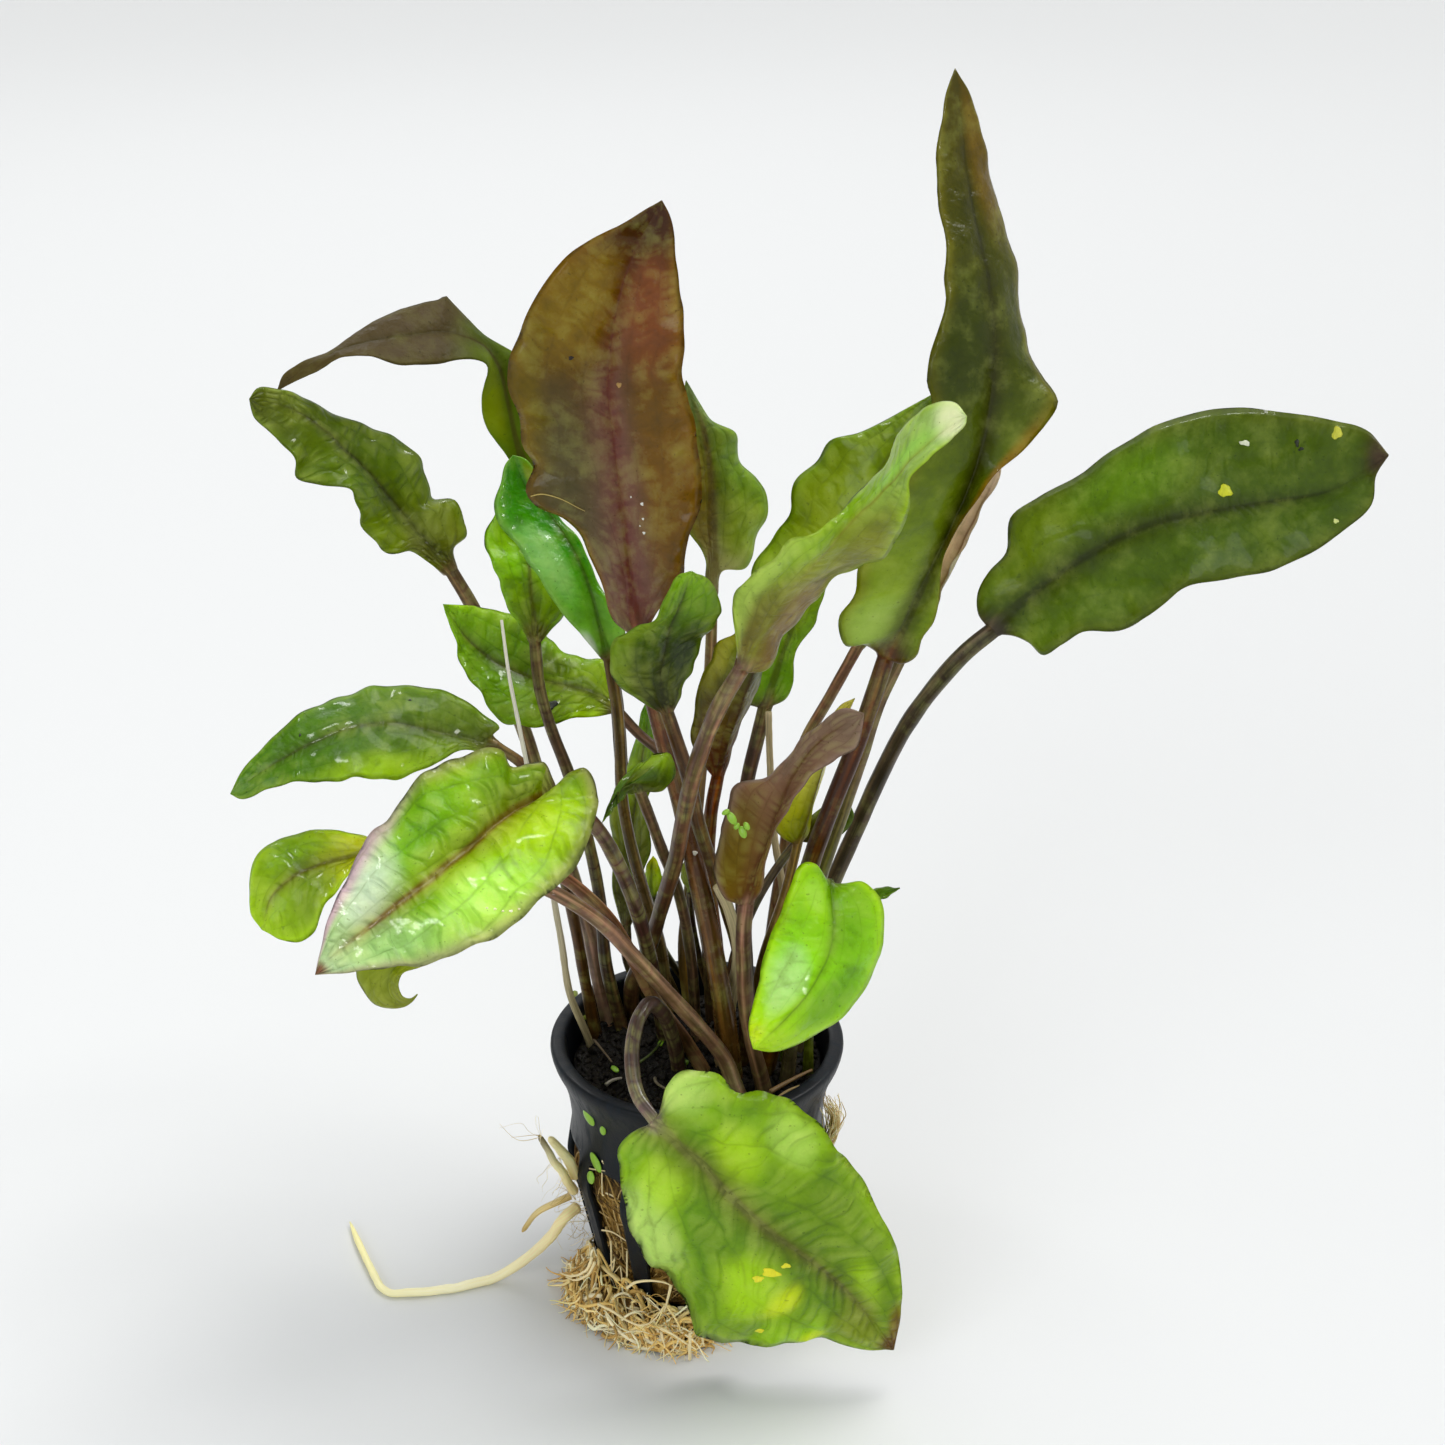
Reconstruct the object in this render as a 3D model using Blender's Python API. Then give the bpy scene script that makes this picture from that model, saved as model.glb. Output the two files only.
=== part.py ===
"""A red Cryptocoryne wendtii in a slotted aquarium pot.

Every leaf grew as one piece, stalk and blade together, so each leaf is one object. The pot,
the soil in it and the roots that hang out of its slots are objects of their own.

Lengths are in millimetres until a mesh is made, +Z up, with the origin at the middle of the
pot's foot. The plant's free forms are picked in a square view of it: a pick is the column and
row of a point in that view, and a third number says how far behind (+) or in front of (-) the
pot's axis the point lies, in millimetres.
"""

import math

import bmesh
import bpy
import numpy as np

MM = 0.001

# Pot
POT_HEIGHT = 48.0
RIM_RADIUS = 25.0
RIM_INNER_RADIUS = 22.6
RIM_INNER_STEP = 0.6
LIP_HEIGHT = 3.5
LIP_TAPER = 0.8
LIP_ROUND = 0.4
LIP_ROUND_HEIGHT = 1.0
COLLAR_HEIGHT = 39.0
COLLAR_FLARE = 0.6
WAIST_RADIUS = 21.7
WAIST_HEIGHT = 32.5
BODY_RADIUS = 22.8
BODY_HEIGHT = 25.5
SHOULDER_DROP = 3.0
SHOULDER_STEP = 0.8
FOOT_RADIUS = 17.5
FOOT_CHAMFER = 1.0
FOOT_CHAMFER_HEIGHT = 0.8
WALL = 1.2
FLOOR_HEIGHT = 1.6
SLOT_COUNT = 12
SLOT_CUT_FROM = 12.5
SLOT_CUT_TO = 25.8
SLOT_BOTTOM = 4.0
SLOT_TOP = 30.5
SLOT_BOTTOM_WIDTH = 6.4
SLOT_TOP_WIDTH = 8.4
POT_SIDES = 36

# Soil
SOIL_TOP = 44.0
SOIL_GAP = 0.35
SOCKET_DEPTH = 2.5
SOCKET_CLEARANCE = 0.3
SOCKET_SIDES = 6

# Leaves
LEAF_THICKNESS = 0.5
RING_REACH = (-1.0, -0.5, 0.0, 0.5, 1.0, 0.5, 0.0, -0.5)
RING_FACE = (0.0, 1.0, 1.0, 1.0, 0.0, -1.0, -1.0, -1.0)
LARGE_LEAF_RINGS = (5, 11)
BENT_STALK_RINGS = (8, 10)
SMALL_LEAF_RINGS = (5, 7)
TINY_LEAF_RINGS = (5, 5)
SPROUT_RINGS = (3, 3)
EVEN_SPACING = 0.5
STALK_FADE = 0.16
STALK_FLATNESS = 0.5
RIB_FULLNESS = 0.75
BLADE_PUFF = 0.05
FOOT_SWELL = 1.15
FOOT_SWELL_LENGTH = 0.2
BARE_STALK_SIDES = 6
BARE_STALK_RINGS = 6

# Roots
ROOT_SIDES = 6

# The view in which the picks are read: a square of 1445 units, and where its lens stands
VIEW_MIDDLE = 722.5
FOCAL_LENGTH = 2408.3
EYE_X = 4.35
EYE_Y = -347.6
EYE_Z = 273.7
PITCH = math.radians(25.6)


def view_ray(column, row):
    """Direction of the line of sight through a pick, y growing away from the eye."""
    across = (column - VIEW_MIDDLE) / FOCAL_LENGTH
    up = (VIEW_MIDDLE - row) / FOCAL_LENGTH
    sine, cosine = math.sin(PITCH), math.cos(PITCH)
    return np.array((across, up * sine + cosine, up * cosine - sine))


def at_depth(column, row, depth):
    """The point of a line of sight that lies at a depth behind the pot's axis."""
    ray = view_ray(column, row)
    return np.array((EYE_X, EYE_Y, EYE_Z)) + ray * (depth - EYE_Y) / ray[1]


def seen_at(point):
    """The column and row at which a point is seen."""
    across, away, up = np.asarray(point) - (EYE_X, EYE_Y, EYE_Z)
    sine, cosine = math.sin(PITCH), math.cos(PITCH)
    distance = away * cosine - up * sine
    return (VIEW_MIDDLE + FOCAL_LENGTH * across / distance,
            VIEW_MIDDLE - FOCAL_LENGTH * (away * sine + up * cosine) / distance)


def smooth_curve(points, shares):
    """Points at the given shares of the length of a smooth curve through the given points."""
    points = np.asarray(points, float)
    steps = np.linalg.norm(np.diff(points[:, :2], axis=0), axis=1) + 1e-6
    knots = np.concatenate(((0.0,), np.cumsum(steps)))
    slopes = np.gradient(points, knots, axis=0)
    fine = np.linspace(0.0, knots[-1], 40 * len(points))
    cell = np.clip(np.searchsorted(knots, fine, side="right") - 1, 0, len(steps) - 1)
    width = steps[cell][:, None]
    share = ((fine - knots[cell]) / steps[cell])[:, None]
    a, b = points[cell], points[cell + 1]
    rise_a, rise_b = slopes[cell] * width, slopes[cell + 1] * width
    line = (a * (2 * share**3 - 3 * share**2 + 1) + rise_a * (share**3 - 2 * share**2 + share)
            + b * (3 * share**2 - 2 * share**3) + rise_b * (share**3 - share**2))
    run = np.concatenate(((0.0,), np.cumsum(np.linalg.norm(np.diff(line[:, :2], axis=0), axis=1))))
    return np.stack([np.interp(np.asarray(shares) * run[-1], run, line[:, i])
                     for i in range(line.shape[1])], axis=1)


def evenly(values, shares):
    """A smooth value at each share, through values spread evenly, zero at both ends."""
    values = np.concatenate(((0.0,), values, (0.0,)))
    return np.interp(shares, np.linspace(0.0, 1.0, len(values)), values)


def unit(vectors):
    """The same directions at length one."""
    return vectors / np.maximum(np.linalg.norm(vectors, axis=-1, keepdims=True), 1e-9)


def make_object(name, vertices, faces, material):
    """An object of closed faces, given in millimetres, with its faces turned outwards."""
    mesh = bpy.data.meshes.new(name)
    mesh.from_pydata([tuple(v * MM) for v in np.asarray(vertices)], [], faces)
    work = bmesh.new()
    work.from_mesh(mesh)
    bmesh.ops.recalc_face_normals(work, faces=work.faces)
    work.to_mesh(mesh)
    work.free()
    mesh.materials.append(material)
    mesh.shade_smooth()
    made = bpy.data.objects.new(name, mesh)
    bpy.context.collection.objects.link(made)
    return made


def make_material(name, colour, roughness):
    """A Principled material with one colour."""
    material = bpy.data.materials.new(name)
    material.use_nodes = True
    shader = material.node_tree.nodes["Principled BSDF"]
    shader.inputs["Base Color"].default_value = (*colour, 1.0)
    shader.inputs["Roughness"].default_value = roughness
    return material


def skin(rings, tip=None):
    """Vertices and faces of a closed skin over rings of points, the last one drawn to a tip."""
    count = len(rings[0])
    vertices = [point for ring in rings for point in ring]
    faces = [list(range(count))[::-1]]
    for level in range(len(rings) - 1):
        low, high = level * count, (level + 1) * count
        for i in range(count):
            j = (i + 1) % count
            faces.append((low + i, low + j, high + j, high + i))
    last = (len(rings) - 1) * count
    if tip is None:
        faces.append(list(range(last, last + count)))
    else:
        vertices.append(tip)
        faces += [(last + i, last + (i + 1) % count, len(vertices) - 1) for i in range(count)]
    return vertices, faces


def carried_side(path, side_at_end):
    """Side directions along a path, turned as little as possible, that end in a given one."""
    along = unit(np.gradient(path, axis=0))
    sides = [side_at_end]
    for direction in along[::-1]:
        side = sides[-1] - direction * np.dot(sides[-1], direction)
        sides.append(unit(side))
    return np.array(sides[:0:-1]), along


# Each leaf: the x and y in mm where its stalk leaves the soil, picks up the stalk to the blade's
# base, picks along the midrib to the tip, and picks along both margins between base and tip, left
# and right as seen with the tip up. The lifts say how far behind the midrib each margin lies at
# even steps from base to tip. The width is the stalk's, at the soil and at the blade. The rings
# are how many sections the stalk and the blade are drawn through.
LEAVES = {
    "leaf_tall_right": {
        "soil": (11.5, -5.0), "width": (3.3, 2.9),
        "stalk": ((790, 950, -3), (815, 850, -0.5), (834, 800, 1), (858, 740, 3), (872, 700, 4),
                  (886, 658, 3)),
        "midrib": ((905, 620, 1), (925, 580, -1), (950, 530, -3), (972, 480, -4), (987, 425, -4),
                   (994, 370, -3), (994, 320, -1), (987, 270, 1), (975, 220, 4), (966, 165, 7),
                   (960, 115, 9), (955, 68, 10)),
        "left": ((868, 646), (852, 645), (843, 630), (842, 615), (855, 594), (858, 572), (880, 520),
                 (905, 470), (928, 425), (932, 400), (925, 380), (926, 357), (939, 332), (947, 300),
                 (945, 262), (939, 215), (937, 170), (940, 130), (946, 92)),
        "right": ((893, 660), (910, 654), (916, 640), (930, 622), (939, 595), (945, 553), (965, 515),
                  (985, 487), (1020, 455), (1048, 420), (1055, 403), (1043, 378), (1031, 352),
                  (1025, 320), (1016, 280), (1006, 230), (994, 180), (982, 136), (968, 90)),
        "lift_left": (-3, -5, -5, -4, -3), "lift_right": (-2, -3, 3, 5, 4),
    },
    "leaf_behind_tall": {
        "soil": (15.4, -1.6), "width": (2.6, 2.0),
        "stalk": ((808, 920, 1), (829, 850, 3.5), (847, 800, 5.5), (862, 755, 8), (880, 702, 10),
                  (900, 660, 11)),
        "midrib": ((918, 628, 11), (940, 590, 10), (962, 545, 9), (982, 505, 8), (1002, 462, 8)),
        "left": ((898, 640), (905, 605), (922, 565), (942, 525), (965, 490), (985, 470)),
        "right": ((912, 650), (930, 620), (942, 592), (953, 565), (969, 535), (984, 505), (1000, 477)),
        "lift_left": (3, 5, 3), "lift_right": (-1, -2, -1), "rings": TINY_LEAF_RINGS,
    },
    "leaf_far_right": {
        "soil": (16.8, 2.6), "width": (2.9, 2.7),
        "stalk": ((812, 930, 8), (838, 870, 12), (855, 832, 14), (880, 776, 14), (905, 728, 11),
                  (940, 680, 8), (968, 650, 5), (993, 630, 4)),
        "midrib": ((1010, 612, 3), (1035, 592, 2), (1070, 567, 0), (1110, 543, -2), (1160, 522, -5),
                   (1210, 511, -8), (1270, 501, -12), (1330, 490, -17), (1389, 455, -22)),
        "left": ((984, 617), (981, 598), (990, 574), (1003, 556), (1012, 516), (1040, 497),
                 (1070, 480), (1096, 460), (1128, 441), (1160, 425), (1195, 412), (1235, 407),
                 (1275, 411), (1335, 421), (1370, 433)),
        "right": ((1010, 633), (1025, 640), (1042, 653), (1062, 645), (1083, 632), (1118, 631),
                  (1145, 618), (1190, 587), (1235, 577), (1275, 570), (1310, 554), (1345, 529),
                  (1374, 501), (1377, 475)),
        "lift_left": (5, 9, 10, 9, 4), "lift_right": (-4, -7, -8, -7, -4),
    },
    "leaf_bright_twisted": {
        "soil": (-11.6, 12.8), "width": (2.6, 2.6),
        "stalk": ((632, 985, 9), (650, 945, 3), (662, 905, -3), (676, 858, -10), (684, 816, -15),
                  (696, 766, -20), (720, 705, -26), (742, 668, -29)),
        "midrib": ((758, 640, -31), (778, 608, -32), (800, 580, -33), (825, 553, -34), (852, 522, -35),
                   (885, 490, -37), (915, 458, -39), (945, 430, -41), (967, 416, -42)),
        "left": ((738, 640), (734, 615), (738, 588), (757, 568), (782, 548), (818, 531), (840, 508),
                 (866, 484), (886, 460), (901, 433), (916, 414), (938, 401), (956, 403)),
        "right": ((762, 668), (784, 638), (808, 606), (834, 582), (866, 565), (890, 549), (905, 520),
                  (913, 480), (934, 454), (953, 437), (966, 424)),
        "lift_left": (-2, -4, -3, 4, 8, 5), "lift_right": (6, 10, 10, 5, -3, -3),
    },
    "leaf_behind_bright": {
        "soil": (8.8, 4.8), "width": (2.8, 2.4),
        "stalk": ((744, 930, 8), (742, 850, 13), (748, 778, 16), (757, 740, 17), (765, 707, 17)),
        "midrib": ((782, 655, 17), (800, 610, 17), (826, 560, 18), (852, 512, 20), (885, 462, 22),
                   (915, 420, 24), (938, 391, 25)),
        "left": ((752, 704), (748, 660), (752, 610), (758, 556), (775, 533), (792, 508), (795, 480),
                 (816, 461), (828, 442), (858, 433), (905, 409)),
        "right": ((780, 700), (790, 684), (797, 652), (814, 622), (829, 585), (850, 545), (880, 500),
                  (905, 465), (925, 430)),
        "lift_left": (3, 6, 7, 5, 2), "lift_right": (-1, -1, -1, 0, 0),
    },
    "leaf_half_hidden": {
        "soil": (4.6, 1.8), "width": (2.7, 2.2),
        "stalk": ((716, 950, 3), (708, 860, 4), (711, 812, 2), (718, 775, 0)),
        "midrib": ((731, 735, -3), (745, 695, -6), (760, 655, -8), (774, 618, -9), (786, 590, -9)),
        "left": ((705, 762), (692, 745), (694, 714), (698, 685), (711, 664), (716, 644), (734, 632),
                 (756, 605)),
        "right": ((724, 765), (740, 728), (754, 695), (768, 660), (782, 625)),
        "lift_left": (3, 4, 3), "lift_right": (5, 8, 5), "rings": SMALL_LEAF_RINGS,
    },
    "leaf_red_tall": {
        "soil": (6.0, -7.2), "width": (3.5, 3.2),
        "stalk": ((724, 1010, -7.5), (714, 955, -6), (704, 905, -4), (694, 860, -2), (683, 808, 0),
                  (670, 760, 2), (656, 705, 2), (645, 660, 2), (638, 632, 2)),
        "midrib": ((633, 590, 2), (627, 545, 3), (620, 490, 4), (613, 435, 5), (608, 390, 5),
                   (611, 345, 5), (619, 300, 4), (632, 258, 2), (662, 200, -2)),
        "left": ((622, 622), (608, 590), (590, 558), (566, 520), (535, 504), (527, 487), (532, 467),
                 (520, 440), (520, 416), (507, 378), (508, 364), (519, 333), (535, 298), (556, 268),
                 (585, 243), (620, 224)),
        "right": ((651, 612), (681, 580), (688, 542), (699, 510), (701, 470), (697, 435), (688, 402),
                  (683, 384), (685, 345), (681, 300), (676, 255), (669, 213)),
        "lift_left": (1, 1, -1, -2, -1), "lift_right": (-3, -6, -7, -6, -3),
    },
    "leaf_back_centre": {
        "soil": (-1.5, 15.5), "width": (2.2, 2.0),
        "stalk": ((684, 950, 17), (690, 890, 20), (698, 800, 23), (708, 700, 26), (713, 595, 28)),
        "midrib": ((713, 560, 28), (712, 520, 28), (710, 470, 28), (702, 425, 28), (686, 380, 27)),
        "left": ((708, 570), (702, 552), (688, 530), (684, 490), (682, 450), (680, 410)),
        "right": ((722, 571), (745, 568), (755, 545), (768, 508), (757, 478), (741, 462), (735, 433),
                  (712, 420), (697, 397)),
        "lift_left": (-1, -2, -1), "lift_right": (3, 6, 4), "rings": SMALL_LEAF_RINGS,
    },
    "leaf_small_folded": {
        "soil": (8.2, -2.0), "width": (2.4, 2.2),
        "stalk": ((746, 985, -1.5), (732, 925, -2.5), (714, 870, -5), (698, 822, -7.5), (689, 780, -9),
                  (677, 742, -10.5), (667, 712, -12)),
        "midrib": ((661, 685, -13), (663, 655, -14), (672, 622, -16), (683, 597, -17),
                   (692, 571, -18)),
        "left": ((650, 705), (624, 691), (609, 670), (612, 648), (634, 628), (655, 616), (669, 590),
                 (680, 574)),
        "right": ((680, 696), (690, 675), (698, 650), (714, 627), (720, 605), (712, 583)),
        "lift_left": (-2, -5, -3), "lift_right": (4, 6, 3), "rings": SMALL_LEAF_RINGS,
    },
    "leaf_arching_left": {
        "soil": (-4.4, 18.6), "width": (2.4, 2.2),
        "stalk": ((642, 920, 21), (630, 850, 25), (622, 770, 29), (615, 690, 33), (596, 610, 37),
                  (560, 540, 41), (530, 482, 43)),
        "midrib": ((516, 440, 44), (507, 398, 44), (498, 366, 43), (484, 347, 41), (450, 333, 38),
                   (405, 336, 34), (352, 346, 31), (315, 362, 29), (277, 391, 28)),
        "left": ((509, 455), (488, 430), (481, 398), (485, 365), (465, 360), (435, 363), (400, 365),
                 (368, 358), (340, 357), (320, 369), (298, 380)),
        "right": ((535, 440), (538, 400), (525, 362), (500, 343), (470, 320), (445, 297), (420, 306),
                  (385, 314), (358, 330), (330, 351), (300, 364), (283, 375)),
        "lift_left": (-1, -3, -6, -5, -2), "lift_right": (2, 3, 6, 6, 3),
    },
    "leaf_upper_left": {
        "soil": (-15.8, 11.6), "width": (2.6, 2.5),
        "stalk": ((597, 970, 13), (589, 930, 15), (577, 890, 17), (560, 840, 20), (540, 780, 24),
                  (523, 728, 27), (500, 675, 30), (472, 606, 33), (452, 572, 34)),
        "midrib": ((438, 553, 34), (418, 532, 33), (396, 505, 32), (373, 478, 30), (348, 453, 28),
                   (322, 428, 26), (290, 408, 24), (249, 399, 21)),
        "left": ((432, 561), (413, 552), (386, 553), (370, 537), (359, 508), (350, 492), (325, 485),
                 (300, 479), (288, 452), (270, 426), (254, 412)),
        "right": ((452, 550), (464, 536), (460, 510), (455, 500), (436, 499), (424, 473), (403, 440),
                  (370, 427), (335, 414), (310, 399), (278, 389)),
        "lift_left": (-4, -6, -6, -3), "lift_right": (3, 6, 6, 3),
    },
    "leaf_mid_left": {
        "soil": (2.5, 11.0), "width": (2.0, 1.8),
        "stalk": ((706, 930, 12), (696, 840, 14), (682, 785, 16), (660, 752, 18), (640, 735, 19),
                  (616, 709, 19)),
        "midrib": ((590, 692, 20), (555, 683, 21), (525, 675, 22), (495, 662, 22), (468, 640, 22),
                   (443, 604, 21)),
        "left": ((600, 714), (565, 720), (535, 728), (500, 719), (480, 695), (462, 664), (450, 628)),
        "right": ((614, 690), (606, 662), (580, 656), (560, 651), (545, 632), (510, 614), (475, 606)),
        "lift_left": (-4, -7, -4), "lift_right": (3, 6, 4), "rings": SMALL_LEAF_RINGS,
    },
    "leaf_inner_left": {
        "soil": (-13.2, 8.6), "width": (2.2, 2.0),
        "stalk": ((606, 965, 10), (600, 900, 12), (588, 840, 13.5), (568, 772, 15), (550, 725, 15),
                  (540, 690, 15), (535, 642, 16)),
        "midrib": ((533, 612, 17), (530, 580, 18), (527, 550, 20), (522, 515, 22), (516, 485, 24)),
        "left": ((525, 630), (508, 610), (500, 582), (488, 556), (485, 535), (494, 515), (506, 492)),
        "right": ((551, 628), (564, 618), (566, 590), (556, 560), (545, 530), (530, 500)),
        "lift_left": (-2, -3, -1), "lift_right": (2, 3, 2), "rings": SMALL_LEAF_RINGS,
    },
    "leaf_glossy_green": {
        "soil": (-5.4, 14.0), "width": (2.1, 1.9),
        "stalk": ((660, 945, 12), (645, 895, 11), (631, 845, 10), (622, 795, 9), (620, 740, 8),
                  (616, 700, 8), (609, 660, 8)),
        "midrib": ((600, 628, 8), (590, 590, 9), (573, 550, 11), (550, 515, 13), (525, 485, 14),
                   (513, 455, 15)),
        "left": ((598, 650), (575, 628), (550, 597), (532, 567), (515, 542), (497, 522), (494, 505),
                 (501, 482), (506, 463)),
        "right": ((616, 645), (624, 632), (611, 607), (597, 577), (578, 540), (556, 510), (540, 480),
                  (524, 458)),
        "lift_left": (-3, -5, -3), "lift_right": (0, 1, 1), "rings": SMALL_LEAF_RINGS,
    },
    "leaf_long_left": {
        "soil": (-17.8, 7.0), "width": (2.0, 1.9),
        "stalk": ((584, 975, 6), (576, 930, 5), (566, 885, 3.5), (548, 825, 1.5), (522, 764, -0.5),
                  (498, 747, -1)),
        "midrib": ((465, 738, -2), (425, 729, -3), (385, 723, -4), (350, 728, -5), (310, 745, -7),
                   (270, 767, -9), (230, 794, -11)),
        "left": ((485, 749), (460, 749), (440, 762), (405, 776), (350, 780), (305, 782), (265, 790),
                 (240, 799)),
        "right": ((492, 737), (497, 732), (478, 711), (450, 694), (425, 685), (380, 688), (335, 697),
                  (295, 719), (262, 747), (240, 774)),
        "lift_left": (-4, -7, -7, -3), "lift_right": (5, 8, 7, 3),
    },
    "leaf_front_left": {
        "soil": (-5.5, 4.6), "width": (2.5, 2.3),
        "stalk": ((650, 960, -6), (635, 905, -12), (615, 858, -17), (602, 835, -20), (582, 812, -22),
                  (564, 797, -24)),
        "midrib": ((545, 800, -26), (520, 808, -28), (496, 824, -31), (468, 849, -35), (438, 873, -39),
                   (408, 897, -43), (375, 923, -47), (345, 946, -50), (315, 975, -53)),
        "left": ((558, 780), (548, 764), (528, 762), (511, 767), (503, 751), (480, 750), (445, 762),
                 (412, 785), (385, 820), (365, 843), (345, 880), (330, 915), (320, 950)),
        "right": ((566, 774), (580, 769), (593, 779), (599, 797), (596, 815), (589, 838), (577, 865),
                  (552, 891), (525, 915), (490, 940), (450, 957), (400, 967), (355, 972)),
        "lift_left": (3, 7, 9, 8, 4), "lift_right": (1, -4, -6, -6, -3),
    },
    "leaf_low_left": {
        "soil": (7.0, -12.2), "width": (2.6, 2.0),
        "stalk": ((722, 1055, -10), (700, 1028, -12), (668, 993, -14), (640, 963, -16),
                  (600, 922, -18), (555, 893, -18), (500, 872, -16), (430, 855, -14), (376, 850, -13)),
        "midrib": ((350, 857, -13), (320, 865, -14), (292, 878, -16), (272, 897, -18),
                   (262, 930, -20)),
        "left": ((362, 860), (344, 882), (325, 905), (314, 932), (300, 942), (280, 939)),
        "right": ((368, 841), (350, 833), (315, 830), (275, 841), (253, 862), (249, 890), (253, 918)),
        "lift_left": (-3, -5, -3), "lift_right": (3, 5, 3), "rings": BENT_STALK_RINGS,
    },
    "leaf_curled_tip": {
        "soil": (1.2, -5.0), "width": (2.3, 2.0),
        "stalk": ((690, 1048, -4), (668, 1018, -5), (652, 995, -6.5), (635, 962, -9), (614, 925, -11),
                  (588, 897, -12), (560, 876, -12), (530, 868, -13)),
        "midrib": ((500, 880, -14), (465, 905, -16), (430, 935, -18), (402, 960, -19), (388, 980, -20),
                   (392, 997, -21), (405, 1003, -22), (418, 994, -22)),
        "left": ((515, 890), (490, 922), (455, 950), (420, 968), (402, 974), (398, 986), (403, 997),
                 (411, 998)),
        "right": ((510, 868), (470, 882), (425, 905), (380, 935), (357, 966), (361, 987), (375, 1005),
                  (397, 1009), (412, 1002)),
        "lift_left": (-2, -3, -2), "lift_right": (1, 2, 1), "rings": BENT_STALK_RINGS,
    },
    "leaf_front_drooping": {
        "soil": (-3.0, -4.4), "width": (2.5, 2.3),
        "stalk": ((672, 1035, -9.5), (661, 1011, -13), (651, 1003, -16), (641, 1014, -19),
                  (634, 1035, -22), (632, 1065, -26), (638, 1095, -30), (654, 1120, -33)),
        "midrib": ((678, 1141, -35), (705, 1167, -37), (738, 1203, -38), (772, 1234, -38),
                   (812, 1263, -37), (850, 1295, -35), (894, 1350, -32)),
        "left": ((664, 1090), (682, 1071), (708, 1073), (740, 1092), (765, 1088), (795, 1108),
                 (820, 1124), (848, 1160), (878, 1208), (896, 1245), (902, 1290), (899, 1325)),
        "right": ((640, 1126), (622, 1142), (622, 1180), (623, 1207), (640, 1247), (668, 1280),
                  (690, 1312), (698, 1334), (722, 1345), (775, 1342), (830, 1342), (866, 1349)),
        "lift_left": (1, 3, 4, 3, 1), "lift_right": (3, 6, 7, 6, 2), "rings": BENT_STALK_RINGS,
    },
    "leaf_right_front": {
        "soil": (15.2, -7.6), "width": (2.4, 2.1),
        "stalk": ((796, 1010, -8), (812, 945, -8), (824, 905, -10), (828, 880, -13)),
        "midrib": ((833, 915, -17), (830, 950, -20), (815, 982, -23), (790, 1014, -26),
                   (753, 1049, -29)),
        "left": ((840, 881), (862, 881), (878, 894), (884, 928), (877, 965), (855, 1003), (825, 1030),
                 (795, 1046), (770, 1052)),
        "right": ((820, 866), (803, 863), (790, 886), (778, 918), (764, 955), (755, 995), (749, 1035)),
        "lift_left": (3, 6, 4), "lift_right": (2, 4, 3), "rings": SMALL_LEAF_RINGS,
    },
    "leaf_brown_folded": {
        "soil": (11.2, -9.6), "width": (2.6, 2.6),
        "stalk": ((748, 1020, -12), (744, 970, -14), (744, 925, -15), (746, 903, -15)),
        "midrib": ((755, 870, -16), (767, 840, -17), (779, 808, -18), (792, 778, -19), (812, 750, -20),
                   (835, 730, -21), (864, 713, -22)),
        "left": ((731, 898), (716, 876), (716, 846), (727, 812), (739, 783), (762, 778), (790, 753),
                 (815, 728), (845, 708)),
        "right": ((756, 893), (767, 860), (778, 826), (795, 797), (815, 776), (836, 758), (856, 748),
                  (863, 728)),
        "lift_left": (4, 7, 5), "lift_right": (-1, -2, -2), "rings": SMALL_LEAF_RINGS,
    },
    "leaf_small_right": {
        "soil": (9.2, 9.4), "width": (1.8, 1.6),
        "stalk": ((764, 955, 8), (786, 890, 6.5), (798, 843, 5)),
        "midrib": ((806, 822, 5), (815, 795, 5), (824, 765, 6), (838, 728, 6), (855, 698, 7)),
        "left": ((785, 838), (776, 830), (780, 810), (790, 785), (806, 760), (826, 727), (842, 704)),
        "right": ((806, 834), (814, 805), (822, 780), (830, 755), (845, 725)),
        "lift_left": (2, 4, 2), "lift_right": (3, 4, 3), "rings": SMALL_LEAF_RINGS,
    },
    "leaf_oval_right": {
        "soil": (4.4, 6.4), "width": (1.8, 1.5),
        "stalk": ((738, 945, 3), (757, 900, 5.5), (781, 862, 8.5), (800, 838, 9.5)),
        "midrib": ((815, 828, 9.5), (832, 818, 10), (850, 804, 10.5)),
        "left": ((806, 822), (818, 810), (836, 802), (848, 799)),
        "right": ((810, 842), (828, 841), (844, 833), (854, 814)),
        "lift_left": (1, 2, 1), "lift_right": (-1, -1, -1), "rings": TINY_LEAF_RINGS,
    },
    "leaf_back_right_small": {
        "soil": (18.8, -5.0), "width": (1.7, 1.5),
        "stalk": ((812, 1000, -6), (830, 940, -7), (846, 905, -8)),
        "midrib": ((862, 897, -9), (880, 892, -10), (900, 888, -11)),
        "left": ((850, 896), (866, 890), (884, 888)),
        "right": ((856, 906), (872, 903), (888, 896)),
        "lift_left": (2, 3, 2), "lift_right": (-1, -2, -1), "rings": TINY_LEAF_RINGS,
    },
    "leaf_small_centre": {
        "soil": (-0.2, 5.4), "width": (1.9, 1.8),
        "stalk": ((690, 950, 1), (677, 888, -1.5), (662, 850, -5), (649, 815, -10), (640, 792, -15)),
        "midrib": ((636, 782, -16), (625, 785, -18), (613, 800, -20), (602, 823, -22)),
        "left": ((628, 797), (619, 803), (609, 816)),
        "right": ((665, 790), (675, 772), (668, 752), (648, 758), (628, 772), (610, 800)),
        "lift_left": (-1, -1, -1), "lift_right": (3, 4, 2), "rings": TINY_LEAF_RINGS,
    },
    "leaf_upright_olive": {
        "soil": (-8.2, 16.8), "width": (2.2, 1.8),
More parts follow.
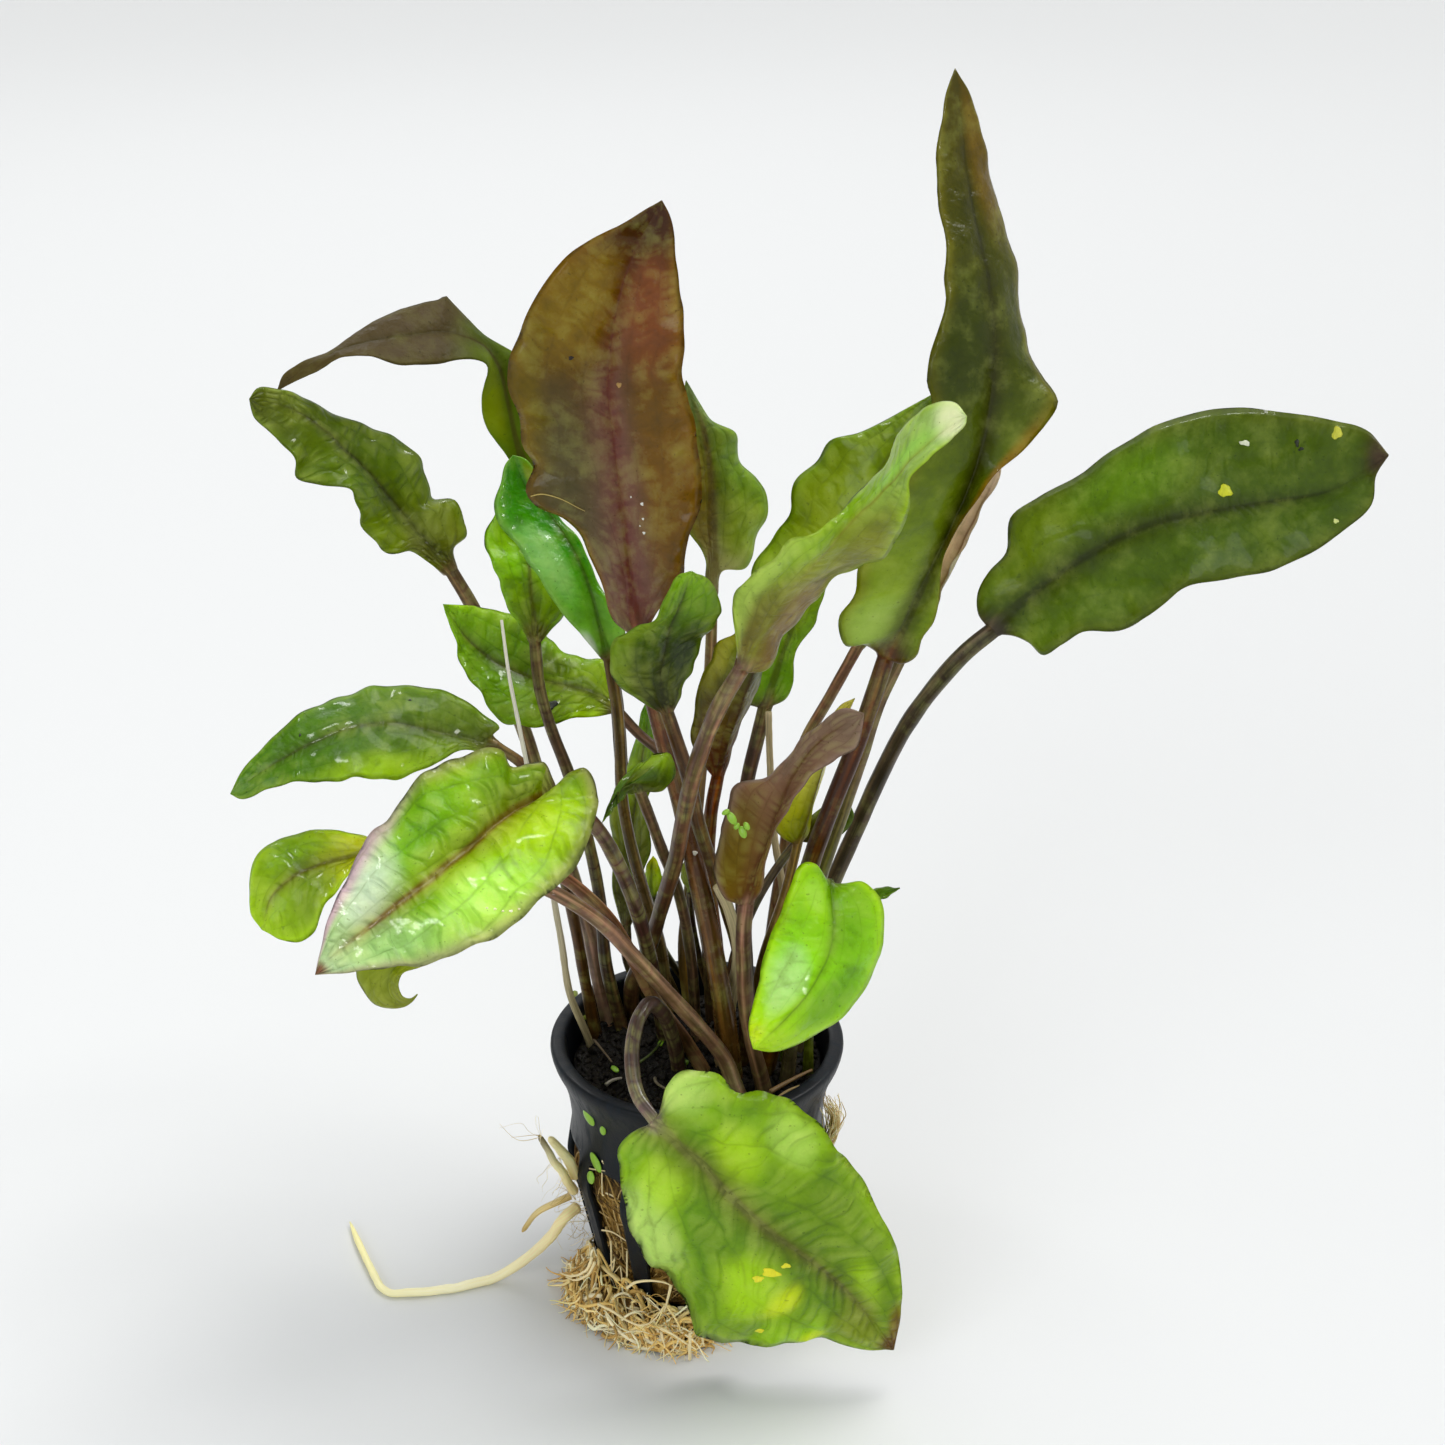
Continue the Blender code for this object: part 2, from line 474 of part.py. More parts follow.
        "stalk": ((628, 960, 18), (626, 925, 18)),
        "midrib": ((628, 880, 18), (632, 830, 20), (639, 780, 22), (646, 735, 23.5), (649, 697, 24)),
        "left": ((614, 895), (613, 850), (609, 820), (616, 790), (628, 760), (638, 730), (642, 710)),
        "right": ((640, 900), (644, 870), (651, 845), (646, 815), (650, 785), (655, 750), (656, 715)),
        "lift_left": (1, 3, 2), "lift_right": (-2, -3, -2), "rings": SMALL_LEAF_RINGS,
    },
    "leaf_hidden_right": {
        "soil": (12.2, 12.6), "width": (2.2, 1.9),
        "stalk": ((770, 950, 13), (783, 860, 18), (808, 735, 20), (828, 700, 20), (857, 648, 20)),
        "midrib": ((872, 615, 20), (890, 575, 21), (906, 540, 22), (922, 500, 23)),
        "left": ((862, 622), (868, 590), (884, 550), (904, 515)),
        "right": ((880, 632), (900, 600), (916, 560), (926, 525)),
        "lift_left": (3, 5, 3), "lift_right": (1, 2, 1), "rings": TINY_LEAF_RINGS,
    },
    "sprout_green_left": {
        "soil": (-0.6, 19.2), "width": (1.4, 1.2),
        "stalk": ((658, 935, 17), (653, 897, 17)),
        "midrib": ((651, 884, 17), (652, 871, 17), (653, 856, 17)),
        "left": ((645, 886), (645, 874), (648, 863)),
        "right": ((660, 888), (661, 874), (657, 862)),
        "lift_left": (1, 2, 1), "lift_right": (-1, -1, -1), "rings": SPROUT_RINGS,
    },
    "sprout_green_right": {
        "soil": (2.6, 16.6), "width": (1.4, 1.2),
        "stalk": ((693, 930, 11), (689, 893, 9)),
        "midrib": ((688, 882, 9), (686, 872, 9), (684, 862, 9)),
        "left": ((683, 882), (680, 872), (681, 866)),
        "right": ((694, 882), (692, 872), (688, 865)),
        "lift_left": (1, 2, 1), "lift_right": (-1, -1, -1), "rings": SPROUT_RINGS,
    },
}

# Bare stalks without a blade: picks from the soil up, and the width at each end
BARE_STALKS = {
    "dry_stalk": {"soil": (-18.6, 3.8), "width": (1.6, 0.7),
                  "picks": ((572, 1000, -2), (560, 930, -6), (540, 830, -11), (521, 732, -14),
                            (508, 670, -16), (502, 620, -17))},
    "broken_stub": {"soil": (4.0, -2.5), "width": (2.3, 1.6),
                    "picks": ((731, 1000, -3), (738, 950, -6.5), (729, 910, -9), (718, 886, -10))},
    "pale_stalk": {"soil": (14.5, 6.6), "width": (1.5, 1.1),
                   "picks": ((788, 950, 9), (783, 890, 11), (774, 835, 13), (770, 770, 14),
                             (769, 712, 14))},
}

# Thick roots: picks from the pot's side outwards, and the width at each end
ROOTS = {
    "long_root": {"width": (1.7, 1.0),
                  "picks": ((577, 1207, -8), (565, 1217, -10), (552, 1235, -8.5), (527, 1258, -5.5),
                            (492, 1279, -6.2), (450, 1289, -8.6), (410, 1292, -9.6), (387, 1290, -9.2),
                            (373, 1274, -4.8), (362, 1250, 2.0), (350, 1222, 10.4))},
    "short_root": {"width": (1.3, 0.8),
                   "picks": ((570, 1196, -4.5), (555, 1203, -6), (538, 1212, -7), (522, 1232, -8))},
    "root_stub_upper": {"width": (1.8, 1.2),
                        "picks": ((575, 1175, -8.8), (569, 1162, -10.5), (560, 1150, -11.5),
                                  (549, 1137, -12))},
    "root_stub_lower": {"width": (1.5, 1.0),
                        "picks": ((574, 1191, -8.6), (563, 1174, -12.5), (551, 1155, -15),
                                  (539, 1135, -17))},
}

# The tan fine roots round the foot: angle from the front (left is negative), reach and height,
# and its section: a sloped back, a crest that is almost level, and a low brow before the edge
ROOT_MAT_ANGLES = (-96, -78, -60, -42, -24, -6, 10)
ROOT_MAT_REACH = (20.0, 23.5, 25.5, 26.0, 25.5, 25.0, 21.5)
ROOT_MAT_HEIGHT = (4.0, 7.0, 9.5, 8.0, 6.5, 5.0, 3.0)
ROOT_MAT_INNER = 18.6
ROOT_MAT_SECTIONS = 13
ROOT_MAT_CREST = 1.2
ROOT_MAT_CREST_DROP = 0.95
ROOT_MAT_BROW = 1.5
ROOT_MAT_BROW_HEIGHT = 0.4

# The small tuft of fine roots on the pot's right side
TUFT_WIDTH = (1.4, 1.0)
TUFT_PICKS = ((820, 1152, -8), (828, 1138, -8), (834, 1126, -9), (835, 1114, -9), (829, 1104, -9))


def stalk_path(leaf, picks, shares):
    """Points up a stalk, straight out of its socket and then through its picks."""
    base = np.array((*leaf["soil"], SOIL_TOP))
    curve = smooth_curve([(*seen_at(base), base[1]), *picks], shares)
    points = [at_depth(*pick) for pick in curve]
    return np.array([base - (0.0, 0.0, SOCKET_DEPTH)] + points)


def add_leaf(name, leaf, material):
    """One leaf as a closed skin: round stalk rings that flatten into the thin blade's rings."""
    stalk_rings, blade_rings = leaf.get("rings", LARGE_LEAF_RINGS)
    path = stalk_path(leaf, leaf["stalk"], np.linspace(0.0, 1.0, stalk_rings))
    even = np.linspace(0.0, 1.0, blade_rings + 2)[1:-1]
    eased = (1.0 - np.cos(math.pi * even)) / 2.0
    shares = EVEN_SPACING * even + (1.0 - EVEN_SPACING) * eased
    base, tip = leaf["stalk"][-1], leaf["midrib"][-1]
    rib = smooth_curve([base, *leaf["midrib"]], shares)
    edges = []
    for side in ("left", "right"):
        line = smooth_curve([base[:2], *leaf[side], tip[:2]], shares)
        depth = rib[:, 2] + evenly(leaf["lift_" + side], shares)
        edges.append(np.array([at_depth(*pick, back) for pick, back in zip(line, depth)]))
    middle = np.array([at_depth(*pick) for pick in rib])
    across = unit(edges[1] - edges[0])
    along = unit(np.gradient(np.vstack((path[-1:], middle)), axis=0)[1:])
    normal = unit(np.cross(across, along))

    sides, stalk_along = carried_side(path, across[0])
    foot_width, end_width = leaf["width"]
    radii = np.interp(np.linspace(0.0, 1.0, len(path)), (0.0, FOOT_SWELL_LENGTH, 1.0),
                      (foot_width * FOOT_SWELL, foot_width, end_width)) / 2.0
    turns = np.arange(len(RING_REACH)) * 2.0 * math.pi / len(RING_REACH)
    rings = []
    for point, side, direction, radius in zip(path, sides, stalk_along, radii):
        up = np.cross(side, direction)
        rings.append([point + radius * (side * -math.cos(t) + up * math.sin(t)) for t in turns])
    for share, centre, left, right, up in zip(shares, middle, edges[0], edges[1], normal):
        fade = max(0.0, 1.0 - share / STALK_FADE)
        sheet = LEAF_THICKNESS / 2.0
        rib_half = max(sheet, radii[-1] * (1.0 - share) * RIB_FULLNESS)
        ring = []
        for t, reach, face in zip(turns, RING_REACH, RING_FACE):
            edge = left if reach < 0.0 else right
            size = abs(reach)
            puff = BLADE_PUFF * np.linalg.norm(edge - centre) * 4.0 * size * (1.0 - size)
            half = rib_half if size == 0.0 else sheet
            stalk = unit(right - left) * -math.cos(t) + up * math.sin(t) * STALK_FLATNESS
            ring.append(centre + (edge - centre) * size + up * (puff + face * half)
                        + fade * radii[-1] * stalk)
        rings.append(ring)
    vertices, faces = skin(rings, tip=at_depth(*tip))
    return make_object(name, vertices, faces, material)


def add_tube(name, path, widths, sides, material):
    """A closed tube along a path, narrowing evenly from its first width to its last."""
    path = np.asarray(path)
    start_side = unit(np.cross(path[-1] - path[-2], (0.0, 0.0, 1.0)))
    across, along = carried_side(path, start_side)
    radii = np.linspace(widths[0], widths[1], len(path)) / 2.0
    turns = np.arange(sides) * 2.0 * math.pi / sides
    rings = []
    for point, side, direction, radius in zip(path, across, along, radii):
        up = np.cross(side, direction)
        rings.append([point + radius * (side * math.cos(t) + up * math.sin(t)) for t in turns])
    vertices, faces = skin(rings)
    return make_object(name, vertices, faces, material)


def turned(profile, sides):
    """Vertices and faces of a profile of (radius, height) turned once round the upright axis."""
    turns = np.arange(sides) * 2.0 * math.pi / sides
    rings = [[np.array((radius * math.cos(t), radius * math.sin(t), height)) for t in turns]
             for radius, height in profile]
    return skin(rings)


def pot_outline():
    """Outer profile of the pot from its foot to its rim."""
    return ((FOOT_RADIUS - FOOT_CHAMFER, 0.0), (FOOT_RADIUS, FOOT_CHAMFER_HEIGHT),
            (BODY_RADIUS - SHOULDER_STEP, BODY_HEIGHT - SHOULDER_DROP), (BODY_RADIUS, BODY_HEIGHT),
            (WAIST_RADIUS, WAIST_HEIGHT), (WAIST_RADIUS + COLLAR_FLARE, COLLAR_HEIGHT),
            (RIM_RADIUS - LIP_TAPER, POT_HEIGHT - LIP_HEIGHT),
            (RIM_RADIUS, POT_HEIGHT - LIP_ROUND_HEIGHT), (RIM_RADIUS - LIP_ROUND, POT_HEIGHT))


def pot_inside():
    """Inner profile of the pot from its rim down to the floor."""
    return ((RIM_INNER_RADIUS, POT_HEIGHT),
            (RIM_INNER_RADIUS - RIM_INNER_STEP, POT_HEIGHT - LIP_ROUND_HEIGHT),
            (WAIST_RADIUS - WALL, WAIST_HEIGHT), (BODY_RADIUS - WALL, BODY_HEIGHT),
            (FOOT_RADIUS - WALL, FLOOR_HEIGHT))


def make_cutter(name, vertices, faces):
    """A closed shape that only cuts."""
    cutter = make_object(name, vertices, faces, bpy.data.materials["black_pot"])
    cutter.hide_render = True
    cutter.display_type = "WIRE"
    return cutter


def cut(body, cutter):
    """Takes the cutter's shape out of a body."""
    step = body.modifiers.new("cut", "BOOLEAN")
    step.operation = "DIFFERENCE"
    step.object = cutter
    step.use_self = True


def add_pot(material):
    """The slotted pot: a turned cup with a ring of upright slots through its lower wall."""
    vertices, faces = turned(pot_outline() + pot_inside(), POT_SIDES)
    pot = make_object("pot", vertices, faces, material)
    vertices, faces = [], []
    for index in range(SLOT_COUNT):
        turn = (index + 0.5) * 2.0 * math.pi / SLOT_COUNT
        outward = np.array((math.sin(turn), -math.cos(turn), 0.0))
        sideways = np.array((math.cos(turn), math.sin(turn), 0.0))
        first = len(vertices)
        for reach in (SLOT_CUT_FROM, SLOT_CUT_TO):
            for height, width in ((SLOT_BOTTOM, SLOT_BOTTOM_WIDTH), (SLOT_TOP, SLOT_TOP_WIDTH)):
                for hand in (-0.5, 0.5):
                    vertices.append(outward * reach + sideways * hand * width + (0.0, 0.0, height))
        faces += [tuple(first + i for i in face) for face in
                  ((0, 1, 3, 2), (4, 6, 7, 5), (0, 4, 5, 1), (2, 3, 7, 6), (0, 2, 6, 4), (1, 5, 7, 3))]
    cut(pot, make_cutter("slot_cutter", vertices, faces))
    return pot


def add_soil(material, planted):
    """The soil that fills the pot, with a socket for each stalk."""
    inside = [(radius - SOIL_GAP, height) for radius, height in pot_inside()[1:]]
    lip, waist, body, floor = inside
    top_radius = np.interp(SOIL_TOP, (waist[1], lip[1]), (waist[0], lip[0]))
    profile = ((floor[0], floor[1] + SOIL_GAP), body, waist, (top_radius, SOIL_TOP))
    vertices, faces = turned(profile, POT_SIDES)
    soil = make_object("soil", vertices, faces, material)
    vertices, faces = [], []
    for leaf in planted:
        place = np.array((*leaf["soil"], SOIL_TOP))
        radius = leaf["width"][0] * FOOT_SWELL / 2.0 + SOCKET_CLEARANCE
        radius /= math.cos(math.pi / SOCKET_SIDES)
        turns = np.arange(SOCKET_SIDES) * 2.0 * math.pi / SOCKET_SIDES
        rings = [[place + (radius * math.cos(t), radius * math.sin(t), height) for t in turns]
                 for height in (-SOCKET_DEPTH - SOCKET_CLEARANCE, SOCKET_DEPTH)]
        points, sheets = skin(rings)
        faces += [[index + len(vertices) for index in face] for face in sheets]
        vertices += points
    cut(soil, make_cutter("socket_cutter", vertices, faces))
    return soil


def add_root_mat(material):
    """The lumpy mat of fine roots that hugs the left and front of the pot's foot."""
    angles = np.linspace(ROOT_MAT_ANGLES[0], ROOT_MAT_ANGLES[-1], ROOT_MAT_SECTIONS)
    reach = np.interp(angles, ROOT_MAT_ANGLES, ROOT_MAT_REACH)
    height = np.interp(angles, ROOT_MAT_ANGLES, ROOT_MAT_HEIGHT)
    slant = (BODY_RADIUS - FOOT_RADIUS) / BODY_HEIGHT
    rings = []
    for angle, out, top in zip(np.radians(angles), reach, height):
        outward = np.array((math.sin(angle), -math.cos(angle), 0.0))
        back = ROOT_MAT_INNER + slant * top
        profile = ((ROOT_MAT_INNER, 0.0), (back, top),
                   (back + ROOT_MAT_CREST, top * ROOT_MAT_CREST_DROP),
                   (out - ROOT_MAT_BROW, top * ROOT_MAT_BROW_HEIGHT), (out, 0.0))
        rings.append([outward * radius + (0.0, 0.0, level) for radius, level in profile])
    vertices, faces = skin(rings)
    return make_object("root_mat", vertices, faces, material)


def add_tuft(material):
    """The small root tuft that leans on the pot's right side."""
    path = [at_depth(*pick) for pick in TUFT_PICKS]
    return add_tube("root_tuft_right", path, TUFT_WIDTH, ROOT_SIDES, material)


def build():
    """Clears the scene and builds every piece."""
    for old in list(bpy.data.objects):
        bpy.data.objects.remove(old)
    plastic = make_material("black_pot", (0.016, 0.020, 0.024), 0.42)
    medium = make_material("soil", (0.010, 0.008, 0.005), 0.95)
    green = make_material("green_leaf", (0.13, 0.25, 0.02), 0.35)
    red = make_material("red_leaf", (0.16, 0.07, 0.02), 0.35)
    pale = make_material("dry_stalk", (0.55, 0.47, 0.33), 0.6)
    cream = make_material("cream_root", (0.75, 0.62, 0.28), 0.5)
    tan = make_material("fine_root", (0.50, 0.34, 0.14), 0.8)

    for name, leaf in LEAVES.items():
        add_leaf(name, leaf, red if name in ("leaf_red_tall", "leaf_brown_folded") else green)
    for name, stalk in BARE_STALKS.items():
        path = stalk_path(stalk, stalk["picks"], np.linspace(0.0, 1.0, BARE_STALK_RINGS))
        add_tube(name, path, stalk["width"], BARE_STALK_SIDES, pale)
    add_pot(plastic)
    add_soil(medium, list(LEAVES.values()) + list(BARE_STALKS.values()))
    for name, root in ROOTS.items():
        picks = smooth_curve(root["picks"], np.linspace(0.0, 1.0, 2 + len(root["picks"])))
        add_tube(name, [at_depth(*pick) for pick in picks], root["width"], ROOT_SIDES, cream)
    add_root_mat(tan)
    add_tuft(tan)


build()
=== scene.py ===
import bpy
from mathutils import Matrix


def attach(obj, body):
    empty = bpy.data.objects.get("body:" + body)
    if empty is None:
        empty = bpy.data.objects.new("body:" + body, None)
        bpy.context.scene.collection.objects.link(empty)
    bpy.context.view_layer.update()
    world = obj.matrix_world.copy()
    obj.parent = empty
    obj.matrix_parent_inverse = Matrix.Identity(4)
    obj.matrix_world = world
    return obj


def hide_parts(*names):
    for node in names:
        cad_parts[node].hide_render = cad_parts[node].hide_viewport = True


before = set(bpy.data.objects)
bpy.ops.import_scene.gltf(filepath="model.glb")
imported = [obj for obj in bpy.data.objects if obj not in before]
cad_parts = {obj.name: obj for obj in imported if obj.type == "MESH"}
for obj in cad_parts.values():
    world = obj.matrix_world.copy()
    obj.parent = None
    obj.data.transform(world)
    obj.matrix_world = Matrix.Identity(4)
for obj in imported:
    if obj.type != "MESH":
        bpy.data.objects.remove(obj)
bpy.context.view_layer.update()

import math
import zlib

import bpy
import numpy as np
from mathutils import Vector

# A red Cryptocoryne wendtii in a slotted pot. Lengths are millimetres until a mesh is filled, +Z up,
# with the origin under the middle of the pot. A pick is a column and a row of a square picture of
# 1445 units, and its third number is how far behind the pot's axis the point lies, in millimetres.
mm = 0.001
turn = 2.0 * math.pi

# ---- measuring in the picture

view = {"middle": 722.5, "focal": 2408.3, "eye": (4.35, -347.6, 273.7), "pitch": math.radians(25.6)}


def atDepth(picks):
    # eye + ray * t, where the ray leans through the picked spot and t brings it to the pick's depth
    picks = np.atleast_2d(np.asarray(picks, float))
    across = (picks[:, 0] - view["middle"]) / view["focal"]
    up = (view["middle"] - picks[:, 1]) / view["focal"]
    sine, cosine = math.sin(view["pitch"]), math.cos(view["pitch"])
    rays = np.stack((across, up * sine + cosine, up * cosine - sine), axis=1)
    reach = (picks[:, 2] - view["eye"][1]) / rays[:, 1]
    return np.array(view["eye"]) + rays * reach[:, None]


def seenAt(point):
    # where a point shows in the picture: its place beside and above the line of sight over its distance
    across, away, up = np.asarray(point, float) - view["eye"]
    sine, cosine = math.sin(view["pitch"]), math.cos(view["pitch"])
    distance = away * cosine - up * sine
    return (view["middle"] + view["focal"] * across / distance,
            view["middle"] - view["focal"] * (away * sine + up * cosine) / distance)


def onDrum(column, row, radius):
    # the first place where the line of sight through a pick meets an upright drum of that radius
    near, far = atDepth([(column, row, 0.0), (column, row, 100.0)])
    step = (far - near) / 100.0
    a = step[0] ** 2 + step[1] ** 2
    b = near[0] * step[0] + near[1] * step[1]
    c = near[0] ** 2 + near[1] ** 2 - radius ** 2
    return near + step * (-b - math.sqrt(max(b * b - a * c, 0.0))) / a


def atHeight(column, row, height):
    # the place where the line of sight through a pick meets a level plane
    near, far = atDepth([(column, row, 0.0), (column, row, 100.0)])
    return near + (far - near) * (height - near[2]) / (far[2] - near[2])


# ---- shapes

def unit(vectors):
    return vectors / np.maximum(np.linalg.norm(vectors, axis=-1, keepdims=True), 1e-9)


def smoothCurve(points, shares):
    # a cubic through the points whose slope at each is that of its neighbours, read at shares of its length
    points = np.asarray(points, float)
    steps = np.linalg.norm(np.diff(points[:, :2], axis=0), axis=1) + 1e-6
    knots = np.concatenate(((0.0,), np.cumsum(steps)))
    slopes = np.gradient(points, knots, axis=0)
    fine = np.linspace(0.0, knots[-1], 40 * len(points))
    cell = np.clip(np.searchsorted(knots, fine, side="right") - 1, 0, len(steps) - 1)
    width = steps[cell][:, None]
    share = ((fine - knots[cell]) / steps[cell])[:, None]
    a, b = points[cell], points[cell + 1]
    line = (a * (2 * share**3 - 3 * share**2 + 1) + b * (3 * share**2 - 2 * share**3)
            + slopes[cell] * width * (share**3 - 2 * share**2 + share)
            + slopes[cell + 1] * width * (share**3 - share**2))
    run = np.concatenate(((0.0,), np.cumsum(np.linalg.norm(np.diff(line[:, :2], axis=0), axis=1))))
    return np.stack([np.interp(np.asarray(shares) * run[-1], run, line[:, i])
                     for i in range(line.shape[1])], axis=1)


def swell(x, low, high):
    # 0 below low and 1 above high, with an S between them
    share = np.clip((x - low) / (high - low), 0.0, 1.0)
    return share * share * (3.0 - 2.0 * share)


def softNoise(points, size, seed, waves=14):
    # the mean of many sines that run in random directions, each about one size long
    dice = np.random.default_rng(seed)
    ways = unit(dice.normal(size=(waves, 3))) * dice.uniform(0.6, 1.7, (waves, 1)) * turn / size
    return np.sin(points @ ways.T + dice.uniform(0, turn, waves)).mean(axis=-1) * 2.0


def gridFaces(rows, columns, first=0):
    # the four corners of every cell of a grid whose rows are closed loops
    row, column = np.meshgrid(np.arange(rows - 1), np.arange(columns), indexing="ij")
    beside = (column + 1) % columns
    return first + np.stack((row * columns + column, row * columns + beside,
                             (row + 1) * columns + beside, (row + 1) * columns + column),
                            axis=-1).reshape(-1, 4)


def fanFaces(loop, middle):
    # triangles from a loop of points to one point
    return np.stack((loop, np.roll(loop, -1), np.full(len(loop), middle)), axis=1)


def fillPiece(name, points, faces, marks=None):
    # one mesh of points in mm and faces, turned outwards if its signed volume is negative
    points = np.asarray(points, float)
    volume = sum(np.einsum("ij,ij->", points[f[:, 0]],
                           np.cross(points[f[:, k]], points[f[:, k + 1]]))
                 for f in faces for k in range(1, f.shape[1] - 1))
    if volume < 0.0:
        faces = [f[:, ::-1] for f in faces]
    mesh = bpy.data.meshes.new(name)
    mesh.from_pydata(points * mm, [], [corner for f in faces for corner in f.tolist()])
    for mark, values in (marks or {}).items():
        kind, field = ("FLOAT_COLOR", "color") if values.shape[1] == 4 else ("FLOAT_VECTOR", "vector")
        mesh.attributes.new(mark, kind, "POINT").data.foreach_set(field, values.astype(np.float32).ravel())
    mesh.shade_smooth()
    piece = bpy.data.objects.new(name, mesh)
    bpy.context.collection.objects.link(piece)
    return piece


def place(piece, material, slot, *nodes):
    # the piece gets its material, rides on the plant and stands for the solids that are named
    piece.data.materials.append(material)
    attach(piece, "root")
    if nodes:
        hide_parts(*nodes)
    return piece


def carriedSides(path, lastSide):
    # directions across a path, each the next one turned as little as the path bends
    along = unit(np.gradient(path, axis=0))
    sides = [lastSide]
    for way in along[::-1]:
        sides.append(unit(sides[-1] - way * np.dot(sides[-1], way)))
    return np.array(sides[:0:-1]), along


def tubes(paths, radii, sides):
    # round tubes along many paths at once: point + radius * (side * cos + up * sin), closed at both ends
    count, length = paths.shape[:2]
    along = unit(np.gradient(paths, axis=1))
    helper = np.where(np.abs(along[:, :1, 2:]) > 0.8, (1.0, 0.0, 0.0), (0.0, 0.0, 1.0))
    side = unit(np.cross(along, helper))
    up = np.cross(side, along)
    angle = np.arange(sides) * turn / sides
    ring = (side[:, :, None] * np.cos(angle)[:, None] + up[:, :, None] * np.sin(angle)[:, None])
    points = paths[:, :, None] + ring * radii[:, :, None, None]
    body = gridFaces(length, sides)
    ends = np.stack((paths[:, 0], paths[:, -1]), axis=1)
    block = length * sides + 2
    allPoints = np.concatenate((points.reshape(count, -1, 3), ends), axis=1).reshape(-1, 3)
    firstRing, lastRing = np.arange(sides), (length - 1) * sides + np.arange(sides)
    caps = np.concatenate((fanFaces(firstRing[::-1], block - 2), fanFaces(lastRing, block - 1)))
    starts = np.arange(count)[:, None, None] * block
    return allPoints, [(body + starts).reshape(-1, 4), (caps + starts).reshape(-1, 3)], block


# ---- paint and nodes

def paint(code, alpha=1.0):
    # an sRGB hex value as linear colour
    value = np.array([int(code[i:i + 2], 16) for i in (1, 3, 5)]) / 255.0
    value = np.where(value <= 0.04045, value / 12.92, ((value + 0.055) / 1.055) ** 2.4)
    return (*value.tolist(), alpha)


def addNode(tree, kind, settings=None, links=None):
    # one node: settings fill its own properties or its sockets, links bring other nodes' outputs in
    node = tree.nodes.new(kind)
    for key, value in (settings or {}).items():
        if isinstance(key, int) or key in node.inputs:
            node.inputs[key].default_value = value
        else:
            setattr(node, key, value)
    for key, source in (links or {}).items():
        tree.links.new(source, node.inputs[key])
    return node


def newMaterial(name):
    material = bpy.data.materials.new(name)
    material.use_nodes = True
    material.node_tree.nodes.clear()
    return material, material.node_tree


def stopsOf(ramp, stops):
    # fills a colour ramp with (place, colour) stops
    elements = ramp.color_ramp.elements
    while len(elements) > 1:
        elements.remove(elements[-1])
    elements[0].position, elements[0].color = stops[0]
    for position, colour in stops[1:]:
        elements.new(position).color = colour
    return ramp


# ---- leaf tissue: a living leaf with a waxed, wet skin over green cells. The eye sees gloss in
# broad patches, light through the blade, and ladders of veins with cells that swell between them.

leafSkin = {"mirror": 0.24, "film": 0.26, "filmRoughness": 0.09, "throughLight": 0.30,
            "sideVeinSpacing": 0.42, "crossVeinSpacing": 2.6, "netSize": 0.9, "mottleSize": 4.2, "broadSize": 13.0,
            "relief": 0.34, "deep": (0.48, 0.52, 0.30, 1.0), "pale": (0.19, 0.22, 0.05, 1.0),
            "saturation": 1.22, "value": 1.1, "spots": 2.4, "clouds": 1.4}


